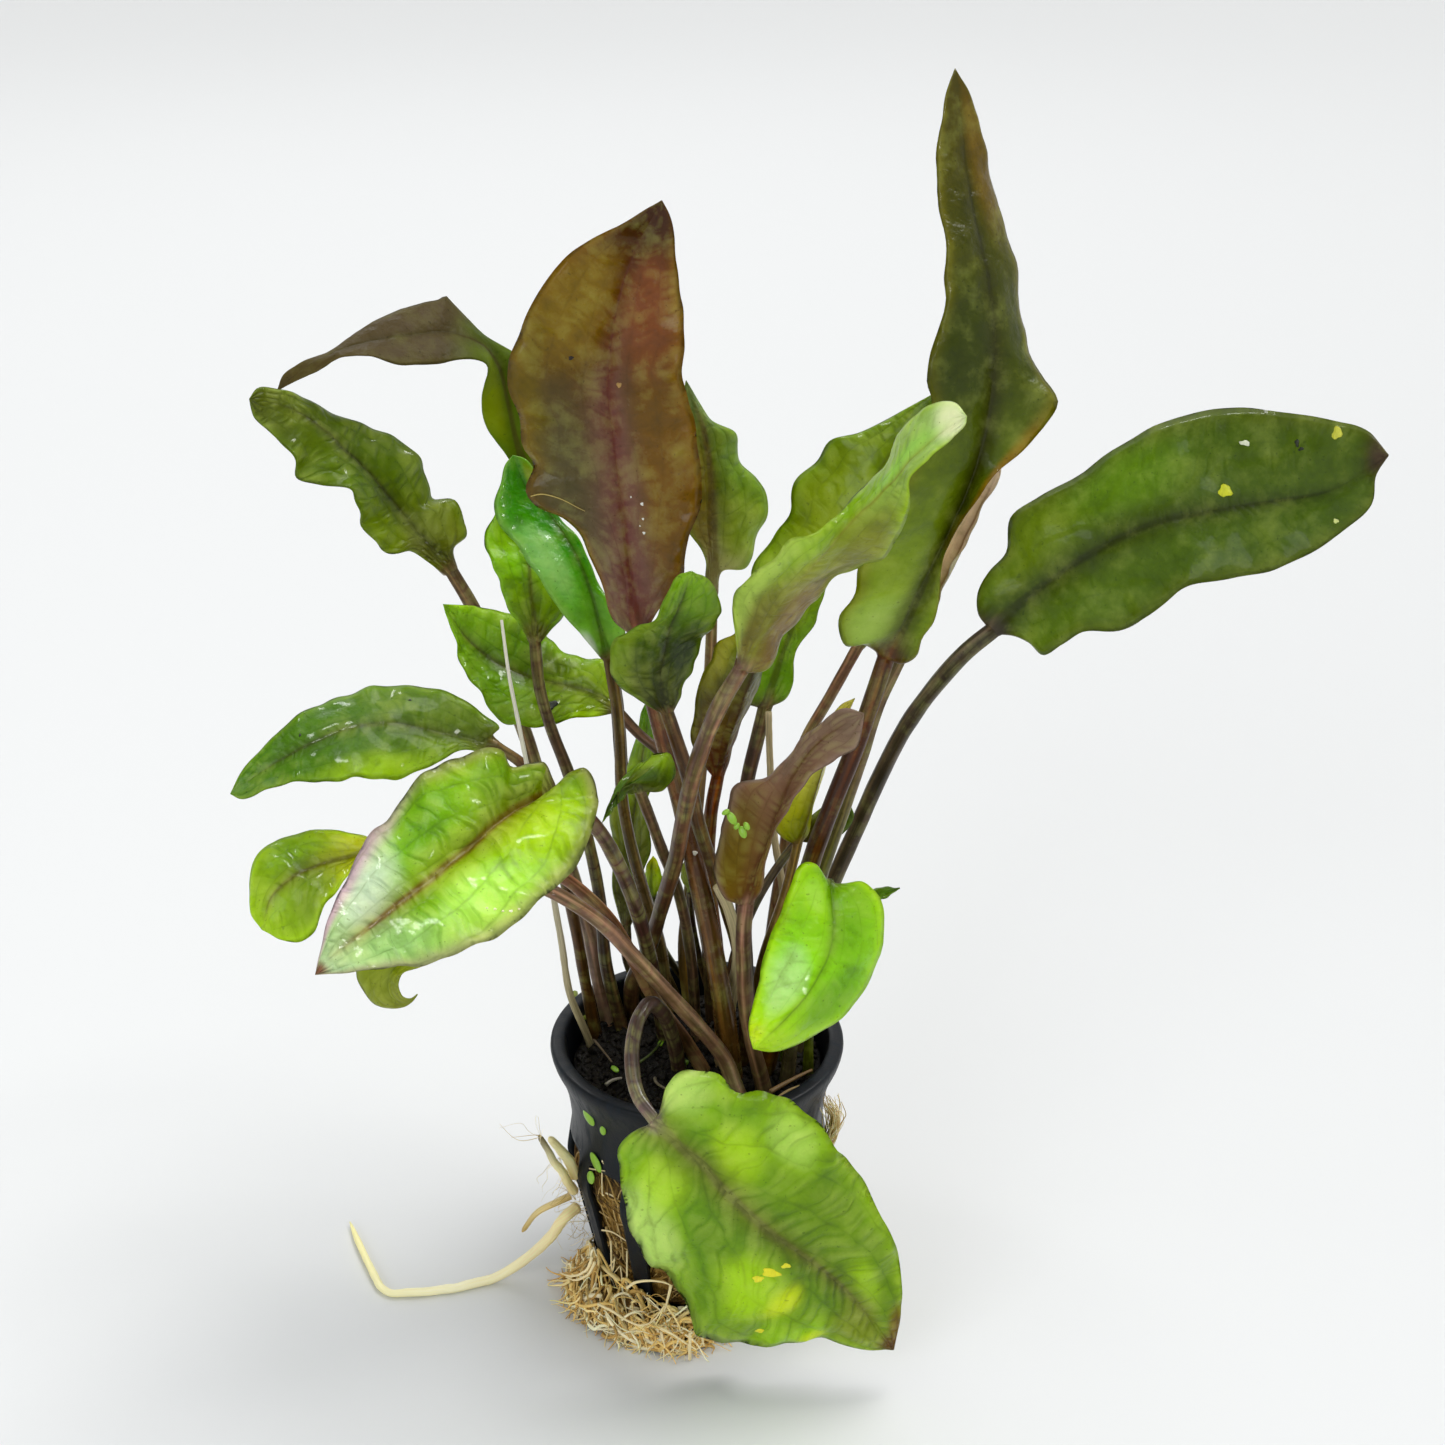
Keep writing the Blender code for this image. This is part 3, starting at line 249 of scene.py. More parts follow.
def leafMaterial(name, skin):
    material, tree = newMaterial(name)
    where, size, colour, traits = [addNode(tree, "ShaderNodeAttribute", {"attribute_name": mark})
                                   for mark in ("leafPlace", "leafMm", "leafPaint", "leafTraits")]
    spot, measure, trait = [addNode(tree, "ShaderNodeSeparateXYZ", links={0: marks.outputs[output]})
                            for marks, output in ((where, "Vector"), (size, "Vector"), (traits, "Color"))]
    coords = addNode(tree, "ShaderNodeTexCoord")
    inMm = addNode(tree, "ShaderNodeVectorMath", {"operation": "SCALE", "Scale": 1000.0},
                   {0: coords.outputs["Object"]})
    noises = {"stray": (0.11, 2.0, 0.45), "breaks": (0.22, 2.0, 0.5), "fleck": (1.6, 1.0, 0.5), "lumps": (0.45, 3.0, 0.5),
              "mottle": (1.0 / skin["mottleSize"], 4.0, 0.62), "broad": (1.0 / skin["broadSize"], 3.0, 0.5)}
    known = {noise: addNode(tree, "ShaderNodeTexNoise", {"Scale": scale, "Detail": detail, "Roughness": rough},
                            {"Vector": inMm.outputs[0]}).outputs["Fac"]
             for noise, (scale, detail, rough) in noises.items()}
    known.update(across=spot.outputs[0], along=spot.outputs[1], face=spot.outputs[2],
                 acrossMm=measure.outputs[0], alongMm=measure.outputs[1], seed=measure.outputs[2],
                 veins=trait.outputs[0], cells=trait.outputs[1], feather=trait.outputs[2],
                 shine=traits.outputs["Alpha"])

    # side veins part from the midrib and draw out to the margin, across * (1 + 0.12 / (along + 0.08)), or leave
    # it all along its length like a feather's, - feather * along; between them cross veins climb like rungs
    half = skin["sideVeinSpacing"] / 2.0
    spots, clouds = skin["spots"], skin["clouds"]
    sums = [("sideways", "ABSOLUTE", "across"), ("blade", "ABSOLUTE", "face"), ("near", "ADD", "along", 0.08),
            ("opening", "DIVIDE", 0.12, "near"), ("spread", "ADD", "opening", 1.0),
            ("drawn", "MULTIPLY", "sideways", "spread"), ("lean", "MULTIPLY", "feather", "along"),
            ("leant", "SUBTRACT", "drawn", "lean"), ("field", "MULTIPLY_ADD", "stray", 0.24, "leant"),
            ("toSide", "PINGPONG", "field", half), ("fromSide", "DIVIDE", "toSide", half),
            ("strips", "DIVIDE", "field", 2.0 * half), ("strip", "FLOOR", "strips"),
            ("stripPlace", "MULTIPLY", "strip", 7.3), ("absMm", "ABSOLUTE", "acrossMm"),
            ("climb", "MULTIPLY_ADD", "absMm", -0.45, "alongMm"), ("climbed", "MULTIPLY_ADD", "stray", 7.0, "climb"),
            ("rung", "DIVIDE", "climbed", skin["crossVeinSpacing"]), ("sideSign", "SIGN", "across"),
            ("sidePlace", "MULTIPLY_ADD", "sideSign", 31.0, "seed"), ("streakRun", "MULTIPLY", "alongMm", 0.06)]

    # a cell swells between its veins: (1 - (1 - a)^2) * (1 - (1 - b)^2), and its swollen middle is painted paler,
    # a painted highlight on the swelling; tone is 0 deep, 1 the paint, 2 pale
    later = [("offSide", "SUBTRACT", 1.0, "fromSide"), ("offSideTwo", "POWER", "offSide", 2.0),
             ("swellSide", "SUBTRACT", 1.0, "offSideTwo"), ("offCross", "SUBTRACT", 1.0, "crossRoom"),
             ("offCrossTwo", "POWER", "offCross", 2.0), ("swellCross", "SUBTRACT", 1.0, "offCrossTwo"),
             ("pillow", "MULTIPLY", "swellSide", "swellCross"), ("cellPillow", "MULTIPLY", "pillow", "cells"),
             ("line", "MAXIMUM", "sideVein", "crossVein"), ("anyLine", "MAXIMUM", "line", "netLine"),
             ("ends", "MULTIPLY", "fadeFoot", "fadeTip"), ("shown", "MULTIPLY", "ends", "broken"),
             ("veined", "MULTIPLY", "anyLine", "veins"), ("onBlade", "MULTIPLY", "veined", "blade"),
             ("veinShare", "MULTIPLY", "onBlade", "shown"),
             ("cellTone", "SUBTRACT", "chance", 0.5), ("cellToned", "MULTIPLY", "cellTone", "cells"),
             ("spotTone", "MULTIPLY_ADD", "mottle", spots, 1.9 - 0.5 * (spots + clouds)),
             ("wideTone", "MULTIPLY_ADD", "broad", clouds, "spotTone"),
             ("ownTone", "MULTIPLY_ADD", "cellToned", 0.45, "wideTone"),
             ("puffHighlightTone", "MULTIPLY_ADD", "cellPillow", 0.75, "ownTone"),
             ("tone", "SUBTRACT", "puffHighlightTone", 0.9), ("toneTwo", "SUBTRACT", "tone", 1.0),
             ("notBlade", "SUBTRACT", 1.0, "blade"), ("streaked", "MULTIPLY", "streakShade", "notBlade"),
             ("lumped", "MULTIPLY_ADD", "lumps", 1.2, "cellPillow"), ("bladeRelief", "MULTIPLY", "lumped", "blade"),
             ("streakRelief", "MULTIPLY", "streak", 0.35),
             ("height", "MULTIPLY_ADD", "streakRelief", "notBlade", "bladeRelief"),
             ("dull", "MULTIPLY_ADD", "mottle", 0.25, 0.40), ("rough", "MULTIPLY_ADD", "shine", -0.26, "dull"),
             ("lightShare", "MULTIPLY", "blade", skin["throughLight"])]

    # each row is a result's name, what is done, and the numbers or earlier results that it is done to
    for result, operation, *parts in sums:
        numbers = {i: part for i, part in enumerate(parts) if not isinstance(part, str)}
        known[result] = addNode(tree, "ShaderNodeMath", {"operation": operation, **numbers},
                                {i: known[part] for i, part in enumerate(parts) if i not in numbers}).outputs[0]
    cellPlace = addNode(tree, "ShaderNodeCombineXYZ", links={0: known["stripPlace"], 1: known["rung"],
                                                             2: known["sidePlace"]})
    streakPlace = addNode(tree, "ShaderNodeCombineXYZ", links={0: known["acrossMm"], 1: known["streakRun"],
                                                               2: known["seed"]})
    walls = addNode(tree, "ShaderNodeTexVoronoi", {"feature": "DISTANCE_TO_EDGE", "Scale": 1.0, "Randomness": 0.85},
                    {"Vector": cellPlace.outputs[0]})
    rooms = addNode(tree, "ShaderNodeTexVoronoi", {"Scale": 1.0, "Randomness": 0.85}, {"Vector": cellPlace.outputs[0]})
    net = addNode(tree, "ShaderNodeTexVoronoi", {"feature": "DISTANCE_TO_EDGE", "Scale": 1.0 / skin["netSize"]},
                  {"Vector": inMm.outputs[0]})
    known["streak"] = addNode(tree, "ShaderNodeTexNoise", {"Scale": 2.4, "Detail": 4.0},
                              {"Vector": streakPlace.outputs[0]}).outputs["Fac"]
    chance = addNode(tree, "ShaderNodeSeparateXYZ", links={0: rooms.outputs["Color"]})
    known["chance"] = chance.outputs[0]
    ranges = {"crossRoom": (walls.outputs["Distance"], 0.0, 0.34, 0.0, 1.0),
              "crossVein": (walls.outputs["Distance"], 0.0, 0.09, 0.45, 0.0),
              "sideVein": (known["fromSide"], 0.0, 0.16, 0.85, 0.0),
              "netLine": (net.outputs["Distance"], 0.0, 0.16, 0.22, 0.0),
              "broken": (known["breaks"], 0.35, 0.65, 0.2, 0.95), "fadeFoot": (known["along"], 0.03, 0.22, 0.0, 1.0),
              "fadeTip": (known["along"], 0.80, 0.98, 1.0, 0.15), "streakShade": (known["streak"], 0.35, 0.7, 0.0, 0.8),
              "darkFleck": (known["fleck"], 0.70, 0.76, 0.0, 0.6)}
    for result, (source, low, high, first, last) in ranges.items():
        known[result] = addNode(tree, "ShaderNodeMapRange",
                                {"From Min": low, "From Max": high, "To Min": first, "To Max": last,
                                 "interpolation_type": "SMOOTHSTEP"}, {"Value": source}).outputs[0]
    for result, operation, *parts in later:
        numbers = {i: part for i, part in enumerate(parts) if not isinstance(part, str)}
        known[result] = addNode(tree, "ShaderNodeMath", {"operation": operation, **numbers},
                                {i: known[part] for i, part in enumerate(parts) if i not in numbers}).outputs[0]

    # colour: the leaf's own paint between a deep and a pale tone, then veins, streaks on the stalk and flecks
    richer = addNode(tree, "ShaderNodeHueSaturation", {"Saturation": skin["saturation"], "Value": skin["value"]},
                     {"Color": colour.outputs["Color"]})
    deep = addNode(tree, "ShaderNodeMix", {"data_type": "RGBA", "blend_type": "MULTIPLY", 0: 1.0, 7: skin["deep"]},
                   {6: richer.outputs[0]})
    pale = addNode(tree, "ShaderNodeMix", {"data_type": "RGBA", "blend_type": "SCREEN", 0: 1.0, 7: skin["pale"]},
                   {6: richer.outputs[0]})
    skinColour = deep.outputs[2]
    for share, other in ((known["tone"], richer.outputs[0]), (known["toneTwo"], pale.outputs[2]),
                         (known["veinShare"], deep.outputs[2]), (known["streaked"], deep.outputs[2]),
                         (known["darkFleck"], deep.outputs[2])):
        skinColour = addNode(tree, "ShaderNodeMix", {"data_type": "RGBA", "clamp_factor": True},
                             {0: share, 6: skinColour, 7: other}).outputs[2]
    relief = addNode(tree, "ShaderNodeBump", {"Distance": skin["relief"] * mm, "Strength": 1.0},
                     {"Height": known["height"]})
    shader = addNode(tree, "ShaderNodeBsdfPrincipled",
                     {"IOR": 1.42, "Specular IOR Level": skin["mirror"], "Coat Weight": skin["film"],
                      "Coat Roughness": skin["filmRoughness"]},
                     {"Base Color": skinColour, "Roughness": known["rough"], "Normal": relief.outputs[0]})
    lit = addNode(tree, "ShaderNodeHueSaturation", {"Hue": 0.485, "Saturation": 1.15, "Value": 1.5},
                  {"Color": skinColour})
    through = addNode(tree, "ShaderNodeBsdfTranslucent", links={"Color": lit.outputs[0],
                                                                "Normal": relief.outputs[0]})
    both = addNode(tree, "ShaderNodeMixShader", links={0: known["lightShare"], 1: shader.outputs[0],
                                                       2: through.outputs[0]})
    addNode(tree, "ShaderNodeOutputMaterial", links={"Surface": both.outputs[0]})
    return material


leafTissue = leafMaterial("waxedLeafTissue", leafSkin)
dullTissue = leafMaterial("dullLeafBack", leafSkin | {"film": 0.0, "mirror": 0.12, "spots": 0.9, "clouds": 0.5})

# ---- leaves: one skin from the foot of the stalk to the tip

leafMesh = {"stalkRings": 60, "bladeRings": 112, "half": 14, "socket": 2.5, "soilTop": 44.0,
            "sheet": 0.30, "edge": 0.14, "puff": 0.05, "fade": 0.16, "footSwell": 1.15,
            "traits": (("veins", 0.45), ("cells", 0.5), ("feather", 0.0), ("shine", 0.5))}


def leafPaintOf(leaf, across, along, face, acrossMm, onStalk, stalkShare, streaksAndHighlight):
    # base, middle and tip colours mixed along the blade, then margin, under side, midrib and soft patches, some of
    # them painted sheen; the stalk runs from its foot's colour to its top's, times its streaks and painted highlight
    tones = np.array([paint(code) for code in leaf["blade"]])
    spread = np.stack([np.interp(along, (0.05, 0.5, 0.95), tones[:, i]) for i in range(4)], axis=-1)
    under = np.array(paint(leaf.get("under", "#7d6a46")))
    spread = spread + (under - spread) * (0.62 * (face < 0.0))[..., None]
    rim = swell(np.abs(across), 0.72, 1.0) * 0.65
    spread = spread + (np.array(paint(leaf["margin"])) - spread) * rim[..., None]
    for spotAcross, spotAlong, wide, tall, code, amount in leaf.get("patchesAndSheen", ()):
        away = ((across - spotAcross) / wide) ** 2 + ((along - spotAlong) / tall) ** 2
        spread = spread + (np.array(paint(code)) - spread) * (amount * np.exp(-away * away))[..., None]
    if "halo" in leaf:
        code, wide, amount = leaf["halo"]
        band = amount * np.exp(-(acrossMm / (wide * (1.0 - 0.65 * along))) ** 2) * (1.0 - swell(along, 0.45, 0.85))
        spread = spread + (np.array(paint(code)) - spread) * band[..., None]
    ribWidth = leaf.get("ribWidth", 1.1) * (1.0 - 0.75 * along)
    away = np.abs(acrossMm) / ribWidth
    rib = np.maximum(1.0 - swell(away, 0.3, 0.9), 0.55 * np.exp(-(away / 2.2) ** 2)) * leaf.get("ribPaint", 0.8)
    rib = rib * (1.0 - swell(along, 0.75, 1.0))
    spread = spread + (np.array(paint(leaf["rib"])) - spread) * rib[..., None]
    foot, top = (np.array(paint(code)) for code in leaf["stalkPaint"])
    stem = (foot + (top - foot) * swell(stalkShare, 0.1, 0.9)[..., None]) * streaksAndHighlight[..., None]
    return spread + (stem - spread) * onStalk[..., None]


def addLeaf(node, leaf):
    sizes = leafMesh
    dice = np.random.default_rng(zlib.crc32(node.encode()))
    half = sizes["half"]
    s = np.linspace(-1.0, 1.0, 2 * half + 1)
    s = np.concatenate((s, s[-2:0:-1]))                       # over the leaf, then back under it
    face = np.concatenate((np.ones(2 * half + 1), -np.ones(2 * half - 1)))
    face[0] = face[2 * half] = 0.0
    ringX, ringY = np.sin(s * math.pi / 2.0), face * np.cos(s * math.pi / 2.0)
    v = np.sign(s) * np.abs(s) ** 1.35                         # finer beside the midrib

    foot = np.array((*leaf["soil"], sizes["soilTop"]))
    shares = np.linspace(0.0, 1.0, sizes["stalkRings"])
    stalk = atDepth(smoothCurve([(*seenAt(foot), foot[1]), *leaf["stalk"]], shares))
    buried = foot - np.array((0.0, 0.0, 1.0)) * np.linspace(sizes["socket"], 0.0, 5)[:4, None]
    stalk = np.concatenate((buried, stalk))

    even = np.linspace(0.0, 1.0, sizes["bladeRings"] + 2)[1:-1]
    along = 0.5 * even + 0.25 * (1.0 - np.cos(math.pi * even))
    base, tip = leaf["stalk"][-1], leaf["midrib"][-1]
    rib = smoothCurve([base, *leaf["midrib"]], along)
    edges = []
    for side, lift in (("left", "liftLeft"), ("right", "liftRight")):
        line = smoothCurve([base[:2], *leaf[side], tip[:2]], along)
        lifts = np.concatenate(((0.0,), leaf[lift], (0.0,)))
        depth = rib[:, 2] + np.interp(along, np.linspace(0.0, 1.0, len(lifts)), lifts)
        edges.append(atDepth(np.column_stack((line, depth))))
    middle = atDepth(rib)
    across = unit(edges[1] - edges[0])
    ahead = unit(np.gradient(np.vstack((stalk[-1:], middle)), axis=0)[1:])
    normal = unit(np.cross(across, ahead))

    # stalk rings: a round tube with a shallow channel above that opens into the blade
    sideways, forward = carriedSides(stalk, across[0])
    upward = np.cross(sideways, forward)
    run = np.linspace(0.0, 1.0, len(stalk))
    footWidth, topWidth = leaf["width"]
    radius = np.interp(run, (0.0, 0.2, 1.0), (footWidth * sizes["footSwell"], footWidth, topWidth)) / 2.0
    knots = 1.0 + 0.05 * softNoise(stalk, 9.0, int(dice.integers(1e6)))
    flat = 1.0 - 0.5 * swell(run, 0.86, 1.0)
    channel = 1.0 - 0.32 * swell(run, 0.35, 0.8)[:, None] * np.exp(-(s / 0.30) ** 2) * (face > 0)
    tube = (stalk[:, None] + (radius * knots)[:, None, None]
            * (sideways[:, None] * ringX[:, None]
               + upward[:, None] * (ringY * channel * flat[:, None])[..., None]))

    # blade rings: from the midrib out to each margin, puffed between them, waved towards the margin
    edge = np.where((v < 0.0)[None, :, None], edges[0][:, None], edges[1][:, None])
    reach = np.linalg.norm(edge - middle[:, None], axis=-1)
    size = np.abs(v)[None, :]
    waveHeight, waveCount = leaf.get("wave", (0.55, 4.0))
    phase = np.where(v < 0.0, *dice.uniform(0.0, turn, 2))[None, :]
    t = along[:, None]
    wave = (np.sin(turn * waveCount * t + phase) + 0.5 * np.sin(turn * waveCount * 2.3 * t + 2.0 * phase))
    wave = wave * waveHeight * size ** 2.2 * np.sin(math.pi * np.clip(t * 1.02, 0.0, 1.0)) ** 0.6
    puff = sizes["puff"] * reach * 4.0 * size * (1.0 - size)
    curl = leaf.get("curl", 0.0) * swell(size, 0.7, 1.0) * reach * np.sin(math.pi * t)
    ribHalf = np.maximum(sizes["sheet"] / 2.0, radius[-1] * (1.0 - t) * 0.75)
    ribShape = np.exp(-(size * reach / (0.9 * radius[-1] + 0.15)) ** 2)
    thick = sizes["edge"] / 2.0 + (sizes["sheet"] - sizes["edge"]) / 2.0 * (1.0 - size ** 4)
    thick = (thick + (ribHalf - sizes["sheet"] / 2.0) * ribShape * np.where(face > 0.0, 0.35, 1.0))
    groove = -0.28 * radius[-1] * (1.0 - t) ** 0.7 * ribShape * (face > 0.0)
    fade = np.clip(1.0 - along / sizes["fade"], 0.0, 1.0)[:, None, None]
    blade = (middle[:, None] + (edge - middle[:, None]) * size[..., None]
             + normal[:, None] * (puff + wave + curl + groove + face * thick)[..., None]
             + fade * radius[-1] * (across[:, None] * ringX[:, None]
                                    + normal[:, None] * (ringY * 0.5)[:, None]))
    rumple = softNoise(blade, 7.0, int(dice.integers(1e6))) * leaf.get("rumple", 0.24) + softNoise(blade, 2.6, 7) * 0.07
    blade = blade + normal[:, None] * (rumple * swell(t, 0.0, 0.15) * swell(1.0 - t, 0.0, 0.1))[..., None]

    rings = np.concatenate((tube, blade))
    count, loop = rings.shape[:2]
    points = np.concatenate((rings.reshape(-1, 3), stalk[:1], atDepth(tip)))
    faces = [gridFaces(count, loop), fanFaces(np.arange(loop)[::-1], count * loop),
             fanFaces((count - 1) * loop + np.arange(loop), count * loop + 1)]

    # marks for the material: place on the leaf, sizes in mm, and paint
    onStalk = np.concatenate((np.ones(len(stalk)), 1.0 - swell(along, 0.0, 0.07)))[:, None] + 0.0 * s
    alongAll = np.concatenate((np.zeros(len(stalk)), along))[:, None] + 0.0 * s
    acrossMm = np.concatenate((ringX * radius[:, None], np.sign(v) * size * reach))
    path = np.concatenate((stalk, middle))
    lengthMm = np.concatenate(((0.0,), np.cumsum(np.linalg.norm(np.diff(path, axis=0), axis=1))))
    faceAll = np.sign(face)[None, :] + 0.0 * alongAll
    acrossAll = np.where(onStalk > 0.99, 0.0, v[None, :] + 0.0 * alongAll)
    stalkShare = np.concatenate((run, np.ones(len(along))))[:, None] + 0.0 * s
    aroundPlace = np.stack((ringX * 1.3 + 0.0 * alongAll, ringY * 1.3 + 0.0 * alongAll,
                            lengthMm[:, None] / 9.0 + 0.0 * s), axis=-1)
    # a pale line along the upper face of each stalk is a painted highlight, laid over its random streaks
    highlightLine = np.exp(-((s - dice.uniform(-0.45, 0.35)) / 0.15) ** 2) * (face > 0.0)
    streaksAndHighlight = 0.66 + 0.28 * softNoise(aroundPlace, 1.1, int(dice.integers(1e6))) + 0.85 * highlightLine
    colours = leafPaintOf(leaf, acrossAll, alongAll, faceAll, acrossMm, onStalk, stalkShare, streaksAndHighlight)
    side = faceAll * (1.0 - onStalk)
    where = np.stack((acrossAll, alongAll, np.where(face == 0.0, 1.0 - onStalk, side)), axis=-1)
    sizesMm = np.stack((acrossMm, lengthMm[:, None] + 0.0 * s, np.full(side.shape, dice.uniform(0, 50))), axis=-1)

    def closed(marks):
        # the two pole points take the marks of the first and the last ring
        return np.concatenate((marks.reshape(-1, marks.shape[-1]), marks[0, :1], marks[-1, :1]))

    traits = np.ones((*side.shape, 4)) * [leaf.get(key, usual) for key, usual in leafMesh["traits"]]
    piece = fillPiece(node + "_grown", points, faces, {"leafPlace": closed(where), "leafMm": closed(sizesMm),
                                                       "leafPaint": closed(colours), "leafTraits": closed(traits)})
    grown.append(piece)
    return place(piece, dullTissue if leaf.get("dull") else leafTissue, leaf.get("slot", "green_leaf"), node)


grown = []

# the tallest leaf: dark olive, gold along its right margin, with a painted silver sheen at its base
leafTallRight = {
    "soil": (11.5, -5), "width": (3.3, 2.9),
    "stalk": ((790, 950, -3), (815, 850, -0.5), (834, 800, 1), (858, 740, 3), (872, 700, 4),
              (886, 658, 3)),
    "midrib": ((905, 620, 1), (925, 580, -1), (950, 530, -3), (972, 480, -4), (987, 425, -4),
               (994, 370, -3), (994, 320, -1), (987, 270, 1), (975, 220, 4), (966, 165, 7),
               (960, 115, 9), (955, 68, 10)),
    "left": ((868, 646), (852, 645), (843, 630), (842, 615), (855, 594), (858, 572), (880, 520),
             (905, 470), (928, 425), (932, 400), (925, 380), (926, 357), (939, 332), (947, 300),
             (945, 262), (939, 215), (937, 170), (940, 130), (946, 92)),
    "right": ((893, 660), (910, 654), (916, 640), (930, 622), (939, 595), (945, 553), (965, 515),
              (985, 487), (1020, 455), (1048, 420), (1055, 403), (1043, 378), (1031, 352), (1025, 320),
              (1016, 280), (1006, 230), (994, 180), (982, 136), (968, 90)),
    "liftLeft": (-3, -5, -5, -4, -3), "liftRight": (-2, -3, 3, 5, 4),
    "blade": ("#91af39", "#47530c", "#534e24"), "margin": "#807b3b", "rib": "#33340f", "under": "#a07d50",
    "stalkPaint": ("#593a24", "#563424"), "veins": 0.16, "cells": 0.15, "wave": (0.7, 4.5), "halo": ("#3c3c12", 2.6, 0.6), "shine": 0.7, "ribWidth": 1.2,
    "patchesAndSheen": ((-0.5, 0.08, 0.5, 0.06, "#acc278", 0.75), (0.9, 0.33, 0.25, 0.12, "#9e782e", 0.8),
                (0.55, 0.86, 0.5, 0.12, "#7e6529", 0.7), (-0.55, 0.55, 0.5, 0.12, "#354007", 0.6),
                (0.5, 0.22, 0.4, 0.1, "#6a6e2b", 0.6)),
}
addLeaf("leaf_tall_right", leafTallRight)

# the pinkish back of a leaf behind the tall one
leafBehindTall = {
    "soil": (15.4, -1.6), "width": (2.6, 2),
    "stalk": ((808, 920, 1), (829, 850, 3.5), (847, 800, 5.5), (862, 755, 8), (880, 702, 10),
              (900, 660, 11)),
    "midrib": ((918, 628, 11), (940, 590, 10), (962, 545, 9), (982, 505, 8), (1002, 462, 8)),
    "left": ((898, 640), (905, 605), (922, 565), (942, 525), (965, 490), (985, 470)),
    "right": ((912, 650), (930, 620), (942, 592), (953, 565), (969, 535), (984, 505), (1000, 477)),
    "liftLeft": (3, 5, 3), "liftRight": (-1, -2, -1),
    "blade": ("#b0b653", "#ebd5b9", "#e7d5c0"), "margin": "#ada68c", "rib": "#7a5c40", "under": "#758a31",
    "stalkPaint": ("#828b4a", "#806b58"), "wave": (0.4, 3),
}
addLeaf("leaf_behind_tall", leafBehindTall)

# the long leaf that reaches far to the right, with a torn brown tip
leafFarRight = {
    "soil": (16.8, 2.6), "width": (2.9, 2.7),
    "stalk": ((812, 930, 8), (838, 870, 12), (855, 832, 14), (880, 776, 14), (905, 728, 11),
              (940, 680, 8), (968, 650, 5), (993, 630, 4)),
    "midrib": ((1010, 612, 3), (1035, 592, 2), (1070, 567, 0), (1110, 543, -2), (1160, 522, -5),
               (1210, 511, -8), (1270, 501, -12), (1330, 490, -17), (1389, 455, -22)),
    "left": ((984, 617), (981, 598), (990, 574), (1003, 556), (1012, 516), (1040, 497), (1070, 480),
             (1096, 460), (1128, 441), (1160, 425), (1195, 412), (1235, 407), (1275, 411), (1335, 421),
             (1370, 433)),
    "right": ((1010, 633), (1025, 640), (1042, 653), (1062, 645), (1083, 632), (1118, 631), (1145, 618),
              (1190, 587), (1235, 577), (1275, 570), (1310, 554), (1345, 529), (1374, 501), (1377, 475)),
    "liftLeft": (5, 9, 10, 9, 4), "liftRight": (-4, -7, -8, -7, -4),
    "blade": ("#64820a", "#506c06", "#4f6606"), "margin": "#5f6c0b", "rib": "#2d330d", "under": "#6d641a",
    "stalkPaint": ("#5d4d3b", "#54483b"), "veins": 0.22, "cells": 0.2, "wave": (0.6, 4), "shine": 0.25, "halo": ("#4c5a14", 3.6, 0.55), "ribWidth": 1.5,
    "patchesAndSheen": ((0, 0.985, 1.6, 0.05, "#4c3b30", 0.95), (-0.55, 0.2, 0.4, 0.12, "#7f970c", 0.6),
                (0.35, 0.75, 0.5, 0.15, "#4d6a07", 0.5), (-0.6, 0.45, 0.35, 0.12, "#749e12", 0.6)),
}
addLeaf("leaf_far_right", leafFarRight)

# the bright leaf that twists towards the eye: yellow green above, rosy olive below, with a painted near-white glare at
# its tip
leafBrightTwisted = {
    "soil": (-11.6, 12.8), "width": (2.6, 2.6),
    "stalk": ((632, 985, 9), (650, 945, 3), (662, 905, -3), (676, 858, -10), (684, 816, -15),
              (696, 766, -20), (720, 705, -26), (742, 668, -29)),
    "midrib": ((758, 640, -31), (778, 608, -32), (800, 580, -33), (825, 553, -34), (852, 522, -35),
               (885, 490, -37), (915, 458, -39), (945, 430, -41), (967, 416, -42)),
    "left": ((738, 640), (734, 615), (738, 588), (757, 568), (782, 548), (818, 531), (840, 508),
             (866, 484), (886, 460), (901, 433), (916, 414), (938, 401), (956, 403)),
    "right": ((762, 668), (784, 638), (808, 606), (834, 582), (866, 565), (890, 549), (905, 520),
              (913, 480), (934, 454), (953, 437), (966, 424)),
    "liftLeft": (-2, -4, -3, 4, 8, 5), "liftRight": (6, 10, 10, 5, -3, -3),
    "blade": ("#66562f", "#93a64c", "#b4d488"), "margin": "#adc84f", "rib": "#86883e", "under": "#907e45",
    "stalkPaint": ("#5c4334", "#775a4d"), "wave": (0.5, 4), "cells": 0.5, "shine": 0.7, "ribWidth": 0.9,
    "patchesAndSheen": ((0.6, 0.2, 0.55, 0.2, "#866d41", 0.85), (-0.55, 0.5, 0.5, 0.22, "#86ae3c", 0.8),
                (0.55, 0.5, 0.45, 0.16, "#75712d", 0.7), (0, 0.95, 1.2, 0.06, "#ebecd2", 0.85),
                (-0.85, 0.25, 0.3, 0.2, "#b4ca78", 0.8), (-0.1, 0.75, 0.3, 0.16, "#aed87c", 0.7)),
}
addLeaf("leaf_bright_twisted", leafBrightTwisted)

